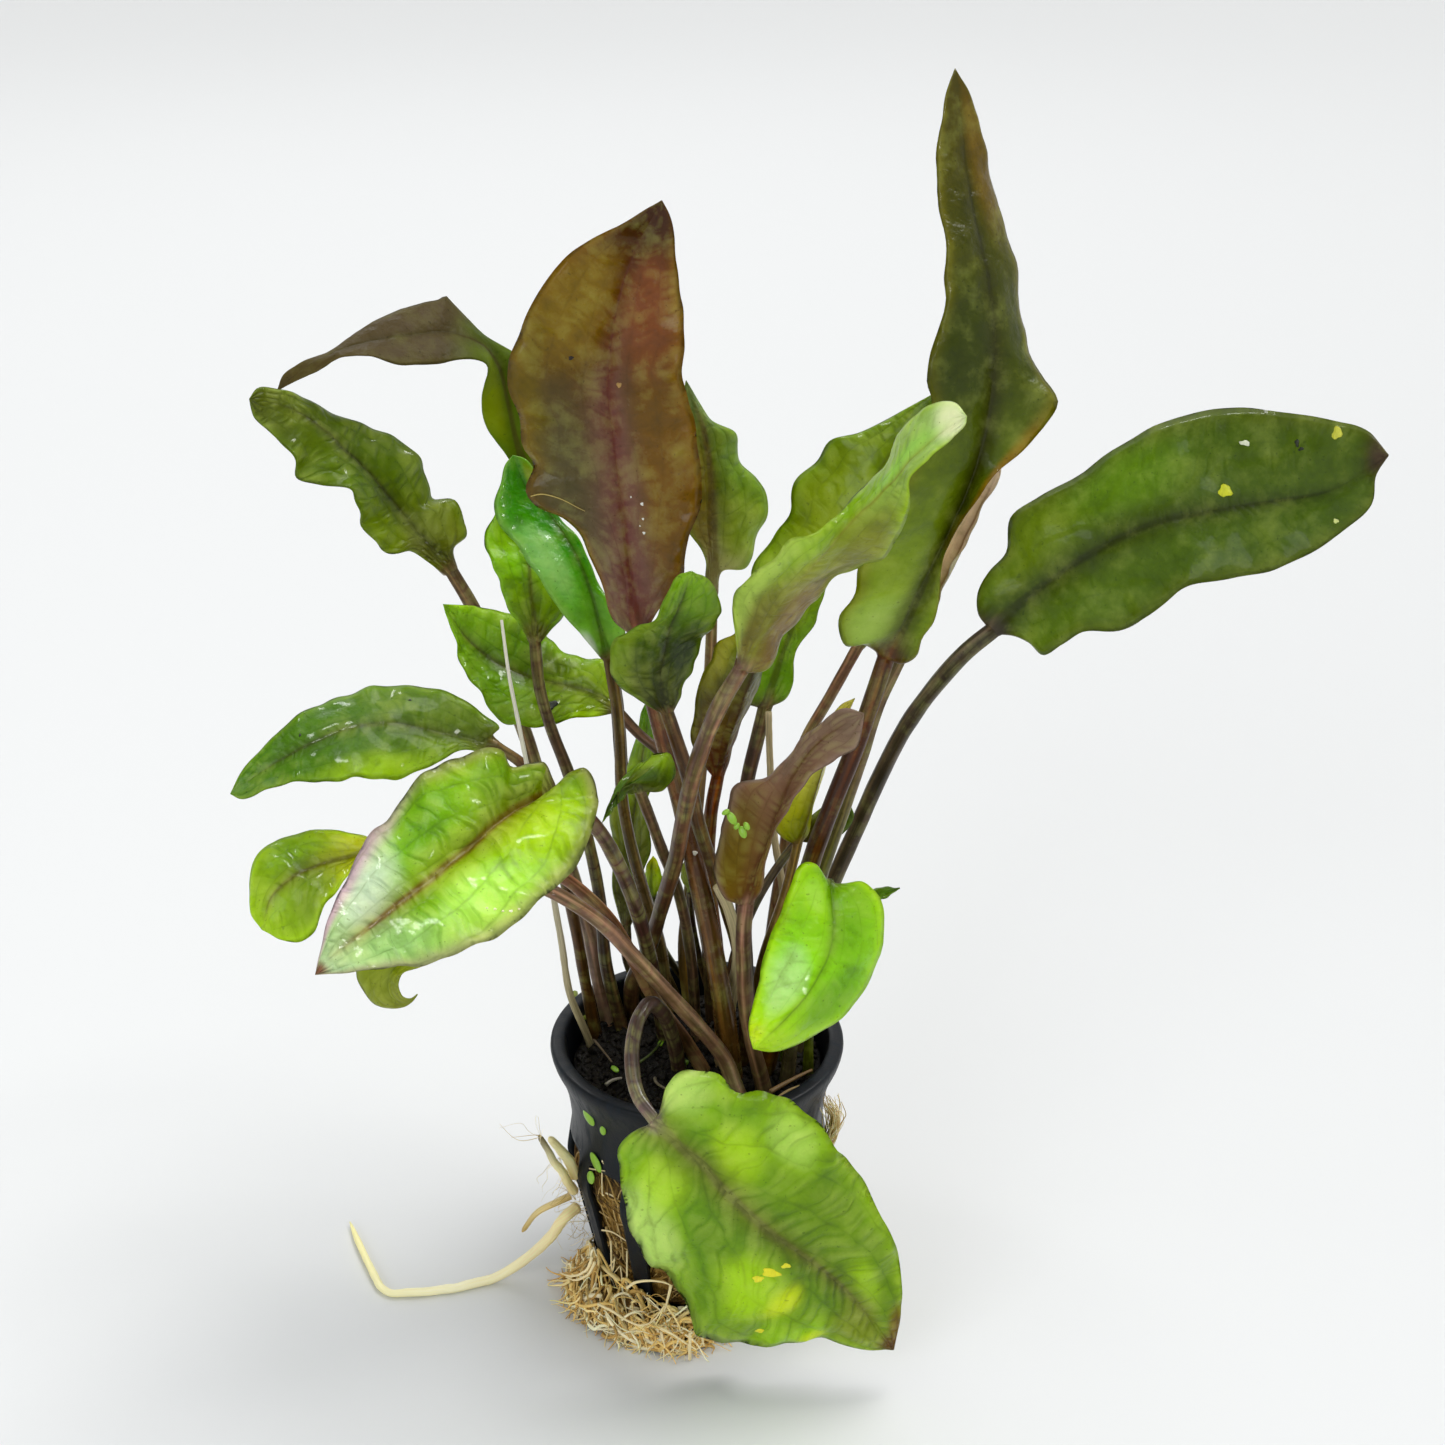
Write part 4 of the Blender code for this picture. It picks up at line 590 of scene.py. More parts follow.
# an olive leaf behind the bright one
leafBehindBright = {
    "soil": (8.8, 4.8), "width": (2.8, 2.4),
    "stalk": ((744, 930, 8), (742, 850, 13), (748, 778, 16), (757, 740, 17), (765, 707, 17)),
    "midrib": ((782, 655, 17), (800, 610, 17), (826, 560, 18), (852, 512, 20), (885, 462, 22),
               (915, 420, 24), (938, 391, 25)),
    "left": ((752, 704), (748, 660), (752, 610), (758, 556), (775, 533), (792, 508), (795, 480),
             (816, 461), (828, 442), (858, 433), (905, 409)),
    "right": ((780, 700), (790, 684), (797, 652), (814, 622), (829, 585), (850, 545), (880, 500),
              (905, 465), (925, 430)),
    "liftLeft": (3, 6, 7, 5, 2), "liftRight": (-1, -1, -1, 0, 0),
    "blade": ("#7ec20d", "#93aa2f", "#6e892e"), "margin": "#84a62e", "rib": "#545a1a", "under": "#959b45",
    "stalkPaint": ("#6c5c4a", "#5e473a"), "wave": (0.7, 4.5),
    "patchesAndSheen": ((0.5, 0.72, 0.5, 0.14, "#b0ef43", 0.7), (-0.8, 0.08, 0.4, 0.08, "#66551f", 0.6),
                (0.2, 0.3, 0.4, 0.12, "#a4bf49", 0.5)),
}
addLeaf("leaf_behind_bright", leafBehindBright)

# a short red-brown leaf half hidden by the stalks
leafHalfHidden = {
    "soil": (4.6, 1.8), "width": (2.7, 2.2),
    "stalk": ((716, 950, 3), (708, 860, 4), (711, 812, 2), (718, 775, 0)),
    "midrib": ((731, 735, -3), (745, 695, -6), (760, 655, -8), (774, 618, -9), (786, 590, -9)),
    "left": ((705, 762), (692, 745), (694, 714), (698, 685), (711, 664), (716, 644), (734, 632),
             (756, 605)),
    "right": ((724, 765), (740, 728), (754, 695), (768, 660), (782, 625)),
    "liftLeft": (3, 4, 3), "liftRight": (5, 8, 5),
    "blade": ("#622908", "#50510a", "#80a31b"), "margin": "#666912", "rib": "#40280e", "under": "#784e1d",
    "stalkPaint": ("#835a42", "#7b4931"), "wave": (0.4, 3), "slot": "red_leaf",
    "patchesAndSheen": ((-0.9, 0.62, 0.3, 0.2, "#aba742", 0.6),),
}
addLeaf("leaf_half_hidden", leafHalfHidden)

# the tall red leaf: grey olive below, copper where light comes through, dark at its tip
leafRedTall = {
    "soil": (6, -7.2), "width": (3.5, 3.2),
    "stalk": ((724, 1010, -7.5), (714, 955, -6), (704, 905, -4), (694, 860, -2), (683, 808, 0),
              (670, 760, 2), (656, 705, 2), (645, 660, 2), (638, 632, 2)),
    "midrib": ((633, 590, 2), (627, 545, 3), (620, 490, 4), (613, 435, 5), (608, 390, 5), (611, 345, 5),
               (619, 300, 4), (632, 258, 2), (662, 200, -2)),
    "left": ((622, 622), (608, 590), (590, 558), (566, 520), (535, 504), (527, 487), (532, 467),
             (520, 440), (520, 416), (507, 378), (508, 364), (519, 333), (535, 298), (556, 268),
             (585, 243), (620, 224)),
    "right": ((651, 612), (681, 580), (688, 542), (699, 510), (701, 470), (697, 435), (688, 402),
              (683, 384), (685, 345), (681, 300), (676, 255), (669, 213)),
    "liftLeft": (1, 1, -1, -2, -1), "liftRight": (-3, -6, -7, -6, -3),
    "blade": ("#6f6150", "#64502e", "#54301a"), "margin": "#967234", "rib": "#5e2a20", "under": "#aa694c",
    "stalkPaint": ("#694e35", "#714e3e"), "veins": 0.34, "cells": 0.35, "rumple": 0.34, "wave": (0.7, 5), "ribPaint": 0.8, "shine": 1.0, "halo": ("#84605c", 4.6, 0.8), "ribWidth": 1.0, "slot": "red_leaf",
    "patchesAndSheen": ((-0.5, 0.73, 0.5, 0.14, "#8c7426", 0.85), (0.5, 0.74, 0.45, 0.15, "#8a5c44", 0.8),
                (0, 0.97, 1.4, 0.1, "#43260f", 0.95), (-0.55, 0.34, 0.42, 0.22, "#5b5638", 0.8),
                (0.62, 0.34, 0.36, 0.24, "#80602f", 0.8), (-0.85, 0.55, 0.2, 0.16, "#776a2c", 0.6)),
}
addLeaf("leaf_red_tall", leafRedTall)

# a dark leaf at the back with a broad brown midrib
leafBackCentre = {
    "soil": (-1.5, 15.5), "width": (2.2, 2),
    "stalk": ((684, 950, 17), (690, 890, 20), (698, 800, 23), (708, 700, 26), (713, 595, 28)),
    "midrib": ((713, 560, 28), (712, 520, 28), (710, 470, 28), (702, 425, 28), (686, 380, 27)),
    "left": ((708, 570), (702, 552), (688, 530), (684, 490), (682, 450), (680, 410)),
    "right": ((722, 571), (745, 568), (755, 545), (768, 508), (757, 478), (741, 462), (735, 433),
              (712, 420), (697, 397)),
    "liftLeft": (-1, -2, -1), "liftRight": (3, 6, 4),
    "blade": ("#dadea4", "#769a23", "#79905a"), "margin": "#87a83b", "rib": "#5c4322", "under": "#9a8657",
    "stalkPaint": ("#7d6540", "#8d7153"), "wave": (0.5, 3.5), "ribWidth": 2.4,
    "patchesAndSheen": ((-0.5, 0.45, 0.5, 0.3, "#94783b", 0.7), (0.5, 0.3, 0.4, 0.1, "#89a432", 0.6)),
}
addLeaf("leaf_back_centre", leafBackCentre)

# a small green leaf folded along its midrib
leafSmallFolded = {
    "soil": (8.2, -2), "width": (2.4, 2.2),
    "stalk": ((746, 985, -1.5), (732, 925, -2.5), (714, 870, -5), (698, 822, -7.5), (689, 780, -9),
              (677, 742, -10.5), (667, 712, -12)),
    "midrib": ((661, 685, -13), (663, 655, -14), (672, 622, -16), (683, 597, -17), (692, 571, -18)),
    "left": ((650, 705), (624, 691), (609, 670), (612, 648), (634, 628), (655, 616), (669, 590),
             (680, 574)),
    "right": ((680, 696), (690, 675), (698, 650), (714, 627), (720, 605), (712, 583)),
    "liftLeft": (-2, -5, -3), "liftRight": (4, 6, 3),
    "blade": ("#3c3f07", "#476007", "#8ac107"), "margin": "#6f9107", "rib": "#2b2e0a", "under": "#6a7416",
    "stalkPaint": ("#5e4432", "#654b37"), "wave": (0.5, 3), "ribWidth": 0.9,
    "patchesAndSheen": ((0.5, 0.45, 0.4, 0.18, "#263707", 0.75), (-0.85, 0.5, 0.25, 0.25, "#809f0d", 0.6)),
}
addLeaf("leaf_small_folded", leafSmallFolded)

# a leaf that arches over to the left and shows its brown-grey back
leafArchingLeft = {
    "soil": (-4.4, 18.6), "width": (2.4, 2.2),
    "stalk": ((642, 920, 21), (630, 850, 25), (622, 770, 29), (615, 690, 33), (596, 610, 37),
              (560, 540, 41), (530, 482, 43)),
    "midrib": ((516, 440, 44), (507, 398, 44), (498, 366, 43), (484, 347, 41), (450, 333, 38),
               (405, 336, 34), (352, 346, 31), (315, 362, 29), (277, 391, 28)),
    "left": ((509, 455), (488, 430), (481, 398), (485, 365), (465, 360), (435, 363), (400, 365),
             (368, 358), (340, 357), (320, 369), (298, 380)),
    "right": ((535, 440), (538, 400), (525, 362), (500, 343), (470, 320), (452, 302), (445, 296), (439, 300),
              (420, 305), (385, 314), (358, 330), (330, 351), (300, 364), (283, 375)),
    "liftLeft": (-1, -3, -6, -5, -2), "liftRight": (2, 3, 6, 6, 3),
    "blade": ("#768844", "#564a37", "#544a30"), "margin": "#61593b", "rib": "#443c22", "under": "#61692d",
    "stalkPaint": ("#463821", "#3a2f1d"), "wave": (0.35, 3), "dull": True, "shine": 0.35, "rumple": 0.1, "cells": 0.0, "veins": 0.06, "ribWidth": 1,
    "patchesAndSheen": ((0, 0.18, 4, 0.25, "#5c7b29", 0.85), (0.5, 0.36, 0.5, 0.1, "#485722", 0.7),
                (-0.6, 0.25, 0.5, 0.12, "#8c9835", 0.75)),
}
addLeaf("leaf_arching_left", leafArchingLeft)

# an olive green leaf that droops to the left
leafUpperLeft = {
    "soil": (-15.8, 11.6), "width": (2.6, 2.5),
    "stalk": ((597, 970, 13), (589, 930, 15), (577, 890, 17), (560, 840, 20), (540, 780, 24),
              (523, 728, 27), (500, 675, 30), (472, 606, 33), (452, 572, 34)),
    "midrib": ((438, 553, 34), (418, 532, 33), (396, 505, 32), (373, 478, 30), (348, 453, 28),
               (322, 428, 26), (290, 408, 24), (249, 399, 21)),
    "left": ((432, 561), (413, 552), (386, 553), (370, 537), (359, 508), (350, 492), (325, 485),
             (300, 479), (288, 452), (268, 430), (253, 416)),
    "right": ((452, 550), (464, 536), (460, 510), (455, 500), (436, 499), (424, 473), (403, 440),
              (370, 427), (335, 414), (310, 399), (278, 389), (257, 388)),
    "liftLeft": (-4, -6, -6, -3), "liftRight": (3, 6, 6, 3),
    "blade": ("#747a12", "#68880a", "#5e6a16"), "margin": "#758e20", "rib": "#3a3c0a", "under": "#797427",
    "stalkPaint": ("#896f63", "#6e5846"), "wave": (0.8, 4), "veins": 0.24, "cells": 0.7, "shine": 0.6, "ribWidth": 1.2,
    "patchesAndSheen": ((-0.6, 0.3, 0.35, 0.12, "#829924", 0.6), (-0.5, 0.13, 0.4, 0.08, "#47440e", 0.6),
                (0.5, 0.5, 0.4, 0.15, "#617a0e", 0.5)),
}
addLeaf("leaf_upper_left", leafUpperLeft)

# a broad green leaf with a pale sheen and a hole
leafMidLeft = {
    "soil": (2.5, 11), "width": (2, 1.8),
    "stalk": ((706, 930, 12), (696, 840, 14), (682, 785, 16), (660, 752, 18), (640, 735, 19),
              (616, 709, 19)),
    "midrib": ((590, 692, 20), (555, 683, 21), (525, 675, 22), (495, 662, 22), (468, 640, 22),
               (443, 604, 21)),
    "left": ((600, 714), (565, 720), (535, 728), (500, 719), (480, 695), (462, 664), (450, 628)),
    "right": ((614, 690), (606, 662), (580, 656), (560, 651), (545, 632), (510, 614), (475, 606)),
    "liftLeft": (-4, -7, -4), "liftRight": (3, 6, 4),
    "blade": ("#9bbd25", "#597f09", "#8cc11f"), "margin": "#9dc837", "rib": "#474a12", "under": "#829031",
    "stalkPaint": ("#5e4a39", "#6c5447"), "wave": (0.8, 4), "cells": 0.6, "shine": 0.7, "ribWidth": 1.3,
    "patchesAndSheen": ((0.45, 0.42, 0.3, 0.12, "#42530a", 0.7), (-0.5, 0.55, 0.4, 0.15, "#94bf53", 0.6),
                (-0.9, 0.1, 0.3, 0.08, "#c6e958", 0.7), (0.92, 0.9, 0.3, 0.08, "#c7e97a", 0.6)),
}
addLeaf("leaf_mid_left", leafMidLeft)

# a small upright leaf with a brown freckled base
leafInnerLeft = {
    "soil": (-13.2, 8.6), "width": (2.2, 2),
    "stalk": ((606, 965, 10), (600, 900, 12), (588, 840, 13.5), (568, 772, 15), (550, 725, 15),
              (540, 690, 15), (535, 642, 16)),
    "midrib": ((533, 612, 17), (530, 580, 18), (527, 550, 20), (522, 515, 22), (516, 485, 24)),
    "left": ((525, 630), (508, 610), (500, 582), (488, 556), (485, 535), (494, 515), (506, 492)),
    "right": ((551, 628), (564, 618), (566, 590), (556, 560), (545, 530), (530, 500)),
    "liftLeft": (-2, -3, -1), "liftRight": (2, 3, 2),
    "blade": ("#667c1d", "#90bb3f", "#729f27"), "margin": "#91c053", "rib": "#4c4a1c", "under": "#8c9646",
    "stalkPaint": ("#4d3b2c", "#584431"), "wave": (0.5, 3.5), "cells": 0.6, "shine": 0.7,
    "patchesAndSheen": ((0, 0.5, 0.8, 0.12, "#94c566", 0.6), (0, 0.06, 0.9, 0.07, "#695931", 0.6)),
}
addLeaf("leaf_inner_left", leafInnerLeft)

# the richest green leaf, with a strong gloss; its pale and whitish patches are a painted sheen
leafGlossyGreen = {
    "soil": (-5.4, 14), "width": (2.1, 1.9),
    "stalk": ((660, 945, 12), (645, 895, 11), (631, 845, 10), (622, 795, 9), (620, 740, 8),
              (616, 700, 8), (609, 660, 8)),
    "midrib": ((600, 628, 8), (590, 590, 9), (573, 550, 11), (550, 515, 13), (525, 485, 14),
               (513, 455, 15)),
    "left": ((598, 650), (575, 628), (550, 597), (532, 567), (515, 542), (497, 522), (494, 505),
             (501, 482), (506, 463)),
    "right": ((616, 645), (624, 632), (611, 607), (597, 577), (578, 540), (556, 510), (540, 480),
              (524, 458)),
    "liftLeft": (-3, -5, -3), "liftRight": (0, 1, 1),
    "blade": ("#96c468", "#45922f", "#3d8218"), "margin": "#99be6f", "rib": "#36520f", "under": "#899b55",
    "stalkPaint": ("#6c5a42", "#6b5737"), "veins": 0.2, "cells": 0.15, "wave": (0.4, 3), "shine": 0.9, "ribWidth": 0.9,
    "patchesAndSheen": ((-0.6, 0.5, 0.35, 0.2, "#a7ce8e", 0.65), (-0.85, 0.1, 0.3, 0.06, "#f1eef1", 0.6),
                (0.6, 0.85, 0.4, 0.1, "#aba961", 0.6)),
}
addLeaf("leaf_glossy_green", leafGlossyGreen)

# a leaf that points left, nearly level
leafLongLeft = {
    "soil": (-17.8, 7), "width": (2, 1.9),
    "stalk": ((584, 975, 6), (576, 930, 5), (566, 885, 3.5), (548, 825, 1.5), (522, 764, -0.5),
              (498, 747, -1)),
    "midrib": ((465, 738, -2), (425, 729, -3), (385, 723, -4), (350, 728, -5), (310, 745, -7),
               (270, 767, -9), (230, 794, -11)),
    "left": ((485, 749), (460, 749), (440, 762), (405, 776), (350, 780), (305, 782), (265, 790),
             (240, 799)),
    "right": ((492, 737), (497, 732), (478, 711), (450, 694), (425, 685), (380, 688), (335, 697),
              (295, 719), (262, 747), (240, 774)),
    "liftLeft": (-4, -7, -7, -3), "liftRight": (5, 8, 7, 3),
    "blade": ("#6c8511", "#4f7b07", "#538407"), "margin": "#81a918", "rib": "#44520a", "under": "#6e7e1c",
    "stalkPaint": ("#5d432c", "#725843"), "wave": (0.6, 4), "veins": 0.35, "cells": 0.45, "shine": 0.45, "ribWidth": 1.2,
    "patchesAndSheen": ((-0.85, 0.45, 0.3, 0.2, "#aace2c", 0.75), (-0.6, 0.22, 0.35, 0.1, "#8aad27", 0.6),
                (0, 0.04, 0.9, 0.05, "#4e4911", 0.7)),
}
addLeaf("leaf_long_left", leafLongLeft)

# the broad pale leaf in front at the left, rosy grey towards its tip; its whitish tip tone and the silvery patch near
# the tip are a painted sheen
leafFrontLeft = {
    "soil": (-5.5, 4.6), "width": (2.5, 2.3),
    "stalk": ((650, 960, -6), (635, 905, -12), (615, 858, -17), (602, 835, -20), (582, 812, -22),
              (564, 797, -24)),
    "midrib": ((545, 800, -26), (520, 808, -28), (496, 824, -31), (468, 849, -35), (438, 873, -39),
               (408, 897, -43), (375, 923, -47), (345, 946, -50), (315, 975, -53)),
    "left": ((566, 774), (580, 769), (593, 779), (599, 797), (596, 815), (589, 838), (577, 865),
              (552, 891), (525, 915), (490, 940), (450, 957), (400, 967), (355, 972)),
    "right": ((558, 780), (548, 764), (528, 762), (511, 767), (503, 751), (480, 750), (445, 762),
             (412, 785), (385, 820), (365, 843), (345, 880), (330, 915), (320, 950)),
    "liftLeft": (1, -4, -6, -6, -3), "liftRight": (3, 7, 9, 8, 4),
    "blade": ("#84b02a", "#a4d64c", "#c0d8ae"), "margin": "#a89080", "rib": "#6e4220", "under": "#a9a27b",
    "stalkPaint": ("#412b26", "#6b4d47"), "veins": 0.62, "cells": 1.0, "rumple": 0.36, "wave": (0.8, 5), "feather": 0.5, "shine": 0.75, "ribWidth": 2.2, "ribPaint": 0.85,
    "patchesAndSheen": ((0.5, 0.2, 0.5, 0.12, "#769f1b", 0.75), (-0.45, 0.24, 0.45, 0.12, "#c2e05c", 0.8),
                (-0.5, 0.48, 0.4, 0.12, "#cdf092", 0.7), (0.55, 0.5, 0.4, 0.13, "#659f23", 0.7),
                (0.5, 0.72, 0.45, 0.12, "#d2ddd0", 0.8), (-0.4, 0.76, 0.35, 0.12, "#a6cb8d", 0.6),
                (0, 0.985, 1, 0.03, "#814c42", 0.9), (0.95, 0.78, 0.22, 0.25, "#d3b6c9", 0.75),
                (-0.85, 0.06, 0.4, 0.05, "#737e19", 0.6), (-0.15, 0.62, 0.25, 0.08, "#71a635", 0.6)),
}
addLeaf("leaf_front_left", leafFrontLeft)

# a low leaf at the left on a long bowed stalk
leafLowLeft = {
    "soil": (7, -12.2), "width": (2.6, 2),
    "stalk": ((722, 1055, -10), (700, 1028, -12), (668, 993, -14), (640, 963, -16), (600, 922, -18),
              (555, 893, -18), (500, 872, -16), (430, 855, -14), (376, 850, -13)),
    "midrib": ((350, 857, -13), (320, 865, -14), (292, 878, -16), (272, 897, -18), (262, 930, -20)),
    "left": ((362, 860), (344, 882), (325, 905), (314, 932), (300, 942), (280, 939)),
    "right": ((368, 841), (350, 833), (315, 830), (275, 841), (253, 862), (249, 890), (253, 918)),
    "liftLeft": (-3, -5, -3), "liftRight": (3, 5, 3),
    "blade": ("#e7ef41", "#749807", "#a8d007"), "margin": "#bee52a", "rib": "#5d5410", "under": "#95a021",
    "stalkPaint": ("#886b5b", "#a68272"), "wave": (0.4, 3), "cells": 0.6, "shine": 0.6, "ribWidth": 1.1,
    "patchesAndSheen": ((-0.5, 0.5, 0.4, 0.18, "#7c9a07", 0.6), (0.6, 0.45, 0.35, 0.2, "#91bf09", 0.6)),
}
addLeaf("leaf_low_left", leafLowLeft)

# a leaf hidden behind the broad one, whose curled tip shows below it
leafCurledTip = {
    "soil": (1.2, -5), "width": (2.3, 2),
    "stalk": ((690, 1048, -4), (668, 1018, -5), (652, 995, -6.5), (635, 962, -9), (614, 925, -11),
              (588, 897, -12), (560, 876, -12), (530, 868, -13)),
    "midrib": ((500, 880, -14), (465, 905, -16), (430, 935, -18), (402, 960, -19), (388, 980, -20),
               (392, 997, -21), (405, 1003, -22), (418, 994, -22)),
    "left": ((515, 890), (490, 922), (455, 950), (420, 968), (402, 974), (398, 986), (403, 997),
             (411, 998)),
    "right": ((510, 868), (470, 882), (425, 905), (380, 935), (357, 966), (361, 987), (375, 1005),
              (397, 1009), (412, 1002)),
    "liftLeft": (-2, -3, -2), "liftRight": (1, 2, 1),
    "blade": ("#8da340", "#8a9d3a", "#878d46"), "margin": "#9da860", "rib": "#6c7a2a", "under": "#939b56",
    "stalkPaint": ("#7f604e", "#936c59"), "wave": (0.3, 3),
}
addLeaf("leaf_curled_tip", leafCurledTip)

# the broad leaf that droops over the pot, with a brown tip; the two small bright yellow halos by its yellow specks are
# a painted glow of light through the leaf
leafFrontDrooping = {
    "soil": (-3, -4.4), "width": (2.5, 2.3),
    "stalk": ((672, 1035, -9.5), (661, 1011, -13), (651, 1003, -16), (641, 1014, -19), (634, 1035, -22),
              (632, 1065, -26), (638, 1095, -30), (654, 1120, -33)),
    "midrib": ((678, 1141, -35), (705, 1167, -37), (738, 1203, -38), (772, 1234, -38), (812, 1263, -37),
               (850, 1295, -35), (894, 1350, -32)),
    "left": ((664, 1090), (682, 1071), (708, 1073), (740, 1092), (765, 1088), (795, 1108), (820, 1124),
             (848, 1160), (878, 1208), (896, 1245), (902, 1290), (899, 1325)),
    "right": ((640, 1126), (622, 1142), (622, 1180), (623, 1207), (640, 1247), (668, 1280), (690, 1312),
              (698, 1334), (722, 1345), (775, 1342), (830, 1342), (866, 1349)),
    "liftLeft": (1, 3, 4, 3, 1), "liftRight": (3, 6, 7, 6, 2),
    "blade": ("#84b440", "#66941a", "#7e9e38"), "margin": "#a8c858", "rib": "#5f5638", "under": "#c2bd7b",
    "stalkPaint": ("#513b37", "#6a5754"), "veins": 0.5, "cells": 0.8, "rumple": 0.42, "wave": (1, 5), "halo": ("#7c9038", 3.6, 0.6), "feather": 1.1, "shine": 0.55, "ribWidth": 2.6, "ribPaint": 0.75,
    "patchesAndSheen": ((0, 0.99, 1, 0.05, "#6a4320", 0.95), (-0.8, 0.95, 0.4, 0.06, "#795225", 0.85),
                (0.85, 0.3, 0.3, 0.12, "#d4ea9c", 0.8), (-0.8, 0.1, 0.35, 0.1, "#d4ea9a", 0.8),
                (0.45, 0.55, 0.3, 0.1, "#bfe63c", 0.8), (-0.5, 0.6, 0.3, 0.14, "#7b9e20", 0.75),
                (0.5, 0.2, 0.3, 0.08, "#cdea78", 0.75), (-0.4, 0.3, 0.3, 0.09, "#c4e751", 0.7),
                (0.7, 0.74, 0.3, 0.09, "#addd25", 0.7), (-0.75, 0.42, 0.22, 0.08, "#cbe68c", 0.7),
                (0.35, 0.4, 0.2, 0.07, "#759e16", 0.7), (0.3, 0.87, 0.5, 0.08, "#879336", 0.7),
                (-0.35, 0.78, 0.2, 0.07, "#b2d747", 0.7), (0.75, 0.5, 0.2, 0.06, "#7ba719", 0.6),
                (-0.4, 0.46, 0.18, 0.06, "#8bb02c", 0.6), (0.4, 0.65, 0.2, 0.035, "#e4f152", 0.75), (0.83, 0.8, 0.14, 0.03, "#e4f15b", 0.7), (0.55, 0.72, 0.16, 0.04, "#799e1e", 0.6)),
}
addLeaf("leaf_front_drooping", leafFrontDrooping)

# the smooth bright leaf in front at the right; its two palest patches are a painted sheen
leafRightFront = {
    "soil": (15.2, -7.6), "width": (2.4, 2.1),
    "stalk": ((796, 1010, -8), (812, 945, -8), (824, 905, -10), (828, 880, -13)),
    "midrib": ((833, 915, -17), (830, 950, -20), (815, 982, -23), (790, 1014, -26), (753, 1049, -29)),
    "left": ((840, 881), (862, 881), (878, 894), (884, 928), (877, 965), (855, 1003), (825, 1030),
             (795, 1046), (770, 1052)),
    "right": ((820, 866), (803, 863), (790, 886), (778, 918), (764, 955), (755, 995), (749, 1035)),
    "liftLeft": (3, 6, 4), "liftRight": (2, 4, 3),
    "blade": ("#81b810", "#a5e838", "#c3e95a"), "margin": "#ceec78", "rib": "#5c8a0c", "under": "#a2aa5b",
    "stalkPaint": ("#4e4535", "#697642"), "wave": (0.35, 3), "veins": 0.3, "cells": 0.35, "shine": 0.85, "ribWidth": 0.7,
    "patchesAndSheen": ((0.45, 0.62, 0.42, 0.2, "#d9efc4", 0.6), (-0.5, 0.6, 0.4, 0.18, "#64a217", 0.7),
                (0.5, 0.2, 0.35, 0.1, "#cdee90", 0.6), (-0.3, 0.3, 0.3, 0.12, "#72b019", 0.6),
                (0.6, 0.92, 0.4, 0.06, "#daea59", 0.6)),
}
addLeaf("leaf_right_front", leafRightFront)

# the mauve-brown folded leaf above the one in front
leafBrownFolded = {
    "soil": (11.2, -9.6), "width": (2.6, 2.6),
    "stalk": ((748, 1020, -12), (744, 970, -14), (744, 925, -15), (746, 903, -15)),
    "midrib": ((755, 870, -16), (767, 840, -17), (779, 808, -18), (792, 778, -19), (812, 750, -20),
               (835, 730, -21), (864, 713, -22)),
    "left": ((731, 898), (716, 876), (716, 846), (727, 812), (739, 783), (762, 778), (790, 753),
             (815, 728), (845, 708)),
    "right": ((756, 893), (767, 860), (778, 826), (795, 797), (815, 776), (836, 758), (856, 748),
              (863, 728)),
    "liftLeft": (4, 7, 5), "liftRight": (-1, -2, -2),
    "blade": ("#785e34", "#896e5b", "#867567"), "margin": "#9d8981", "rib": "#583c2c", "under": "#8d7867",
    "stalkPaint": ("#705949", "#806358"), "wave": (0.5, 3), "dull": True, "slot": "red_leaf",
    "patchesAndSheen": ((-0.6, 0.25, 0.4, 0.2, "#6a5e24", 0.6), (-0.4, 0.7, 0.4, 0.15, "#927e71", 0.7),
                (0.6, 0.5, 0.3, 0.2, "#705748", 0.6)),
}
addLeaf("leaf_brown_folded", leafBrownFolded)

# a small veined leaf behind the folded one
leafSmallRight = {
    "soil": (9.2, 9.4), "width": (1.8, 1.6),
    "stalk": ((764, 955, 8), (786, 890, 6.5), (798, 843, 5)),
    "midrib": ((806, 822, 5), (815, 795, 5), (824, 765, 6), (838, 728, 6), (855, 698, 7)),
    "left": ((785, 838), (776, 830), (780, 810), (790, 785), (806, 760), (826, 727), (842, 704)),
    "right": ((806, 834), (814, 805), (822, 780), (830, 755), (845, 725)),
    "liftLeft": (2, 4, 2), "liftRight": (3, 4, 3),
    "blade": ("#b9ca2e", "#dfe385", "#dad77a"), "margin": "#bfba7b", "rib": "#62522c", "under": "#bb938c",
    "stalkPaint": ("#8b6e4c", "#af9062"), "wave": (0.3, 3),
}
addLeaf("leaf_small_right", leafSmallRight)

# a small oval leaf low behind the stalks
leafOvalRight = {
    "soil": (4.4, 6.4), "width": (1.8, 1.5),
    "stalk": ((738, 945, 3), (757, 900, 5.5), (781, 862, 8.5), (800, 838, 9.5)),
    "midrib": ((815, 828, 9.5), (832, 818, 10), (850, 804, 10.5)),
    "left": ((806, 822), (818, 810), (836, 802), (848, 799)),
    "right": ((810, 842), (828, 841), (844, 833), (854, 814)),
    "liftLeft": (1, 2, 1), "liftRight": (-1, -1, -1),
    "blade": ("#54491a", "#5c6c1c", "#55741c"), "margin": "#687c2c", "rib": "#4c4212", "under": "#6a6430",
    "stalkPaint": ("#5e4739", "#615342"), "veins": 0.35, "cells": 0.3, "wave": (0.2, 2),
}
addLeaf("leaf_oval_right", leafOvalRight)

